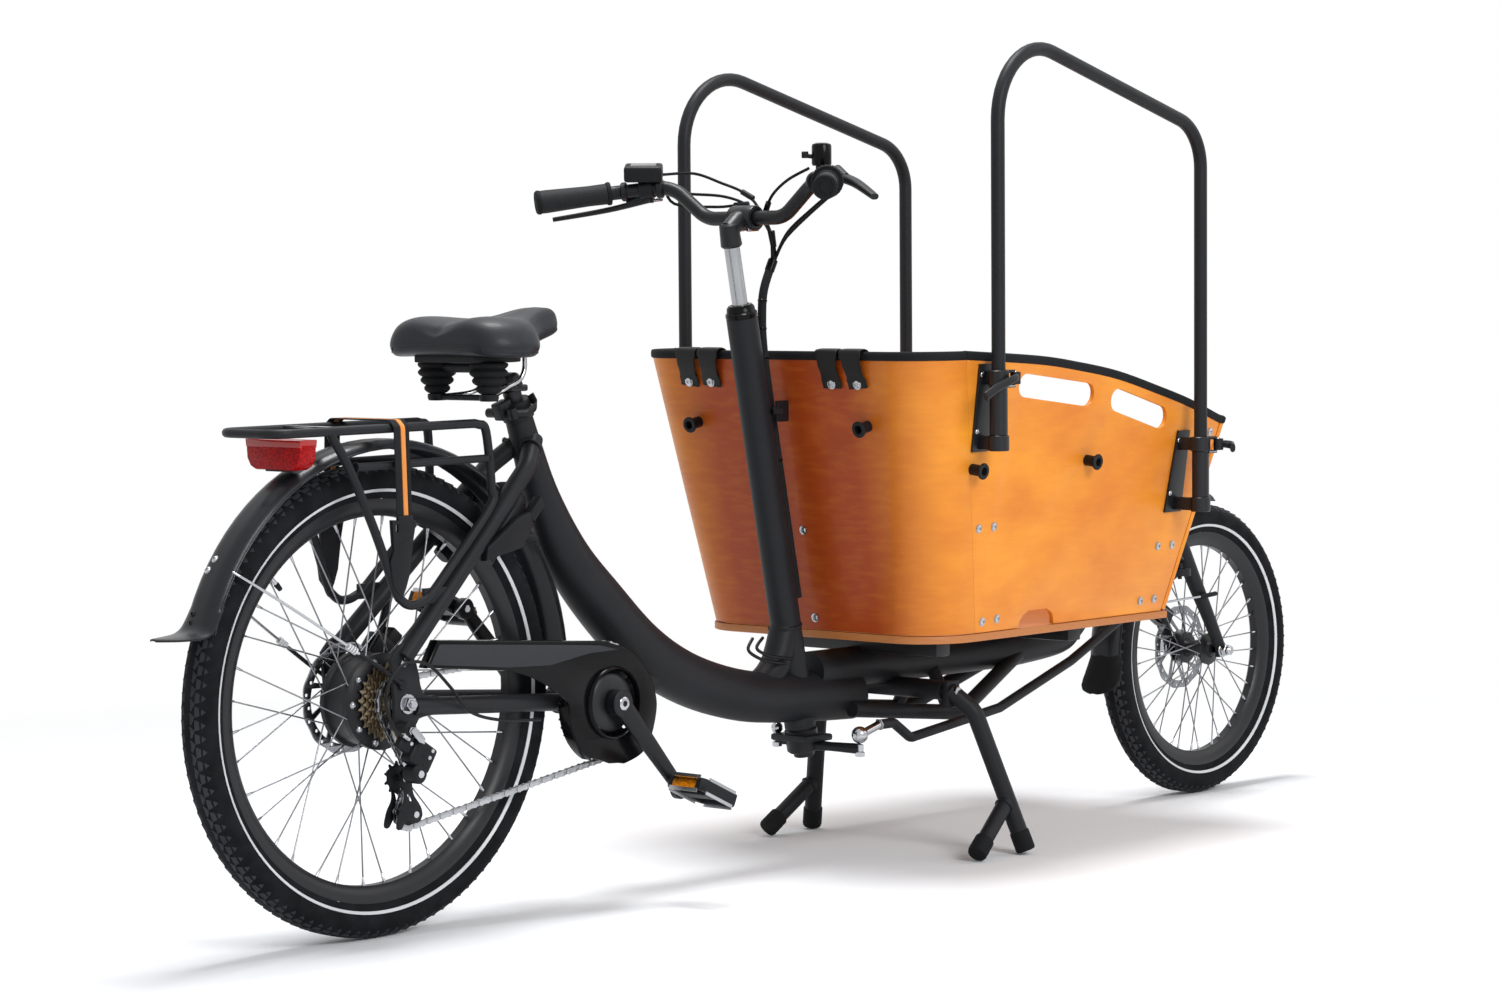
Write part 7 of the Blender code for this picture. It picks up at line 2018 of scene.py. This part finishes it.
def seen_rays(tree):
    """1 for rays that show the background: from the camera, a mirror or through glass."""
    path = tree.nodes.new("ShaderNodeLightPath")
    total = path.outputs["Is Camera Ray"]
    for name in ("Is Glossy Ray", "Is Transmission Ray"):
        either = tree.nodes.new("ShaderNodeMath")
        either.operation = "MAXIMUM"
        tree.links.new(total, either.inputs[0])
        tree.links.new(path.outputs[name], either.inputs[1])
        total = either.outputs["Value"]
    return total


def paper():
    """White studio paper that runs into the white background further out."""
    look = Finish("pale_studio_paper")
    gloss = look.node("MapRange", "Result", {**NOISE, "Value": look.pattern(3.0), "To Min": 0.85,
                                             "To Max": 0.95})
    material = look.done(Base_Color=linear(0xFAFCFF), Roughness=gloss, Specular_IOR_Level=0.05)
    reach = look.node("VectorMath", "Value", {0: look.place}, operation="LENGTH")
    far = look.node("MapRange", "Result", {"Value": reach, "From Min": FADE_START,
                                           "From Max": FADE_END})
    share = look.node("Math", "Value", {0: far, 1: seen_rays(look.tree)}, operation="MULTIPLY")
    glow = look.node("Emission", "Emission", {"Color": (1, 1, 1, 1), "Strength": 1.0})
    blend = look.node("MixShader", "Shader", {0: share, 1: look.shader.outputs["BSDF"], 2: glow})
    look.tree.links.new(blend, look.tree.nodes["Material Output"].inputs["Surface"])
    return material


# Settings, operators and panel

class CargoBikeColours(bpy.types.PropertyGroup):
    """Colours that a user would change before building."""
    plywood: bpy.props.FloatVectorProperty(
        name="Plywood", description="Stain of the box's side sheets", subtype="COLOR",
        min=0, max=1, default=linear(0xEA962C)[:3])
    frame_coat: bpy.props.FloatVectorProperty(
        name="Frame coat", description="Powder coat on the frame's tubes", subtype="COLOR",
        min=0, max=1, default=linear(0x1E1F22)[:3])
    band: bpy.props.FloatVectorProperty(
        name="Luggage band", description="Middle band of the luggage strap",
        subtype="COLOR", min=0, max=1, default=linear(0xD98A45)[:3])


class CargoBikeSizes(bpy.types.PropertyGroup):
    """Sizes that a user would change before building."""
    board: bpy.props.FloatProperty(
        name="Board thickness", description="Thickness of the box's side sheets",
        min=0.004, max=0.0088, default=0.008, subtype="DISTANCE", unit="LENGTH")
    lens_mm: bpy.props.FloatProperty(
        name="Lens", description="Focal length in mm on a sensor 36 mm wide", min=10,
        max=400, default=LENS_MM)


class CARGOBIKE_OT_materials(bpy.types.Operator):
    """Make the materials and the node group for repeated parts"""
    bl_idname = "cargobike.materials"
    bl_label = "Materials"

    def execute(self, context):
        LOOKS.update(make_looks(context.scene.cargo_bike_colours))
        copies_group()
        return {"FINISHED"}


class CARGOBIKE_OT_frame(bpy.types.Operator):
    """Build the welded rear and front frames"""
    bl_idname = "cargobike.frame"
    bl_label = "Frame"

    def execute(self, context):
        rear_frame()
        front_frame()
        return {"FINISHED"}


class CARGOBIKE_OT_wheels(bpy.types.Operator):
    """Build both wheels with tyres, spokes, hubs and brake rotors"""
    bl_idname = "cargobike.wheels"
    bl_label = "Wheels"

    def execute(self, context):
        rear_wheel()
        sprockets()
        front_wheel()
        return {"FINISHED"}


class CARGOBIKE_OT_box(bpy.types.Operator):
    """Build the plywood box, its trim, screws, straps and battery"""
    bl_idname = "cargobike.box"
    bl_label = "Cargo box"

    def execute(self, context):
        rear_sheet()
        side_sheets()
        front_sheet()
        base_sheet()
        box_rubber()
        box_fittings()
        battery()
        return {"FINISHED"}


class CARGOBIKE_OT_covers(bpy.types.Operator):
    """Build the mudguards over both wheels"""
    bl_idname = "cargobike.covers"
    bl_label = "Mudguards"

    def execute(self, context):
        rear_cover()
        front_cover()
        return {"FINISHED"}


class CARGOBIKE_OT_rack(bpy.types.Operator):
    """Build the luggage rack with its strap, the rear lamp and the frame lock"""
    bl_idname = "cargobike.rack"
    bl_label = "Rack, lamp and lock"

    def execute(self, context):
        rack()
        rack_band()
        rear_lamp()
        frame_lock()
        return {"FINISHED"}


class CARGOBIKE_OT_seat(bpy.types.Operator):
    """Build the padded saddle, its post and its clamp lever"""
    bl_idname = "cargobike.seat"
    bl_label = "Seat"

    def execute(self, context):
        saddle()
        seat_post()
        saddle_underside()
        bellows()
        clamp_lever()
        return {"FINISHED"}


class CARGOBIKE_OT_drive(bpy.types.Operator):
    """Build the chain, cranks, pedals, chain guard and gear changer"""
    bl_idname = "cargobike.drive"
    bl_label = "Drive"

    def execute(self, context):
        chain()
        chainring()
        for side, hand in SIDES:
            crank(side, hand)
        chain_cover()
        gear_changer()
        pulley_cage()
        return {"FINISHED"}


class CARGOBIKE_OT_steering(bpy.types.Operator):
    """Build the fork, the steering lever and the rod between them"""
    bl_idname = "cargobike.steering"
    bl_label = "Steering"

    def execute(self, context):
        fork()
        steering_lever()
        tie_rod()
        return {"FINISHED"}


class CARGOBIKE_OT_handlebar(bpy.types.Operator):
    """Build the stem, handlebar, grips, levers, display, bell and cables"""
    bl_idname = "cargobike.handlebar"
    bl_label = "Handlebar"

    def execute(self, context):
        stem()
        bar()
        grips()
        brake_blades()
        display()
        bell()
        cables()
        return {"FINISHED"}


class CARGOBIKE_OT_supports(bpy.types.Operator):
    """Build the centre stand and the two cover hoops with their sockets and levers"""
    bl_idname = "cargobike.supports"
    bl_label = "Stand and hoops"

    def execute(self, context):
        stand()
        hoops()
        return {"FINISHED"}


class CARGOBIKE_OT_stage(bpy.types.Operator):
    """Set the camera, the lights and the pale floor"""
    bl_idname = "cargobike.stage"
    bl_label = "Stage"

    def execute(self, context):
        stage()
        return {"FINISHED"}


OPERATORS = (
    CARGOBIKE_OT_materials, CARGOBIKE_OT_frame, CARGOBIKE_OT_wheels, CARGOBIKE_OT_box,
    CARGOBIKE_OT_covers, CARGOBIKE_OT_rack, CARGOBIKE_OT_seat, CARGOBIKE_OT_drive,
    CARGOBIKE_OT_steering, CARGOBIKE_OT_handlebar, CARGOBIKE_OT_supports,
    CARGOBIKE_OT_stage,
)


class CARGOBIKE_PT_panel(bpy.types.Panel):
    """Settings and building steps of the cargo bike"""
    bl_idname = "CARGOBIKE_PT_panel"
    bl_label = "Electric Cargo Bike"
    bl_space_type = "VIEW_3D"
    bl_region_type = "UI"
    bl_category = "Cargo Bike"

    def draw(self, context):
        column = self.layout.column()
        for settings, names in ((context.scene.cargo_bike_colours,
                                 ("plywood", "frame_coat", "band")),
                                (context.scene.cargo_bike_sizes, ("board", "lens_mm"))):
            for name in names:
                column.prop(settings, name)
        for operator in OPERATORS:
            column.operator(operator.bl_idname)


CLASSES = (CargoBikeColours, CargoBikeSizes, *OPERATORS, CARGOBIKE_PT_panel)


def register():
    for item in CLASSES:
        bpy.utils.register_class(item)
    bpy.types.Scene.cargo_bike_colours = bpy.props.PointerProperty(type=CargoBikeColours)
    bpy.types.Scene.cargo_bike_sizes = bpy.props.PointerProperty(type=CargoBikeSizes)


def unregister():
    del bpy.types.Scene.cargo_bike_sizes
    del bpy.types.Scene.cargo_bike_colours
    for item in reversed(CLASSES):
        bpy.utils.unregister_class(item)


def main():
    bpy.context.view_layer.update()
    register()
    for operator in OPERATORS:
        group, step = operator.bl_idname.split(".")
        getattr(getattr(bpy.ops, group), step)()


if __name__ == "__main__":
    main()
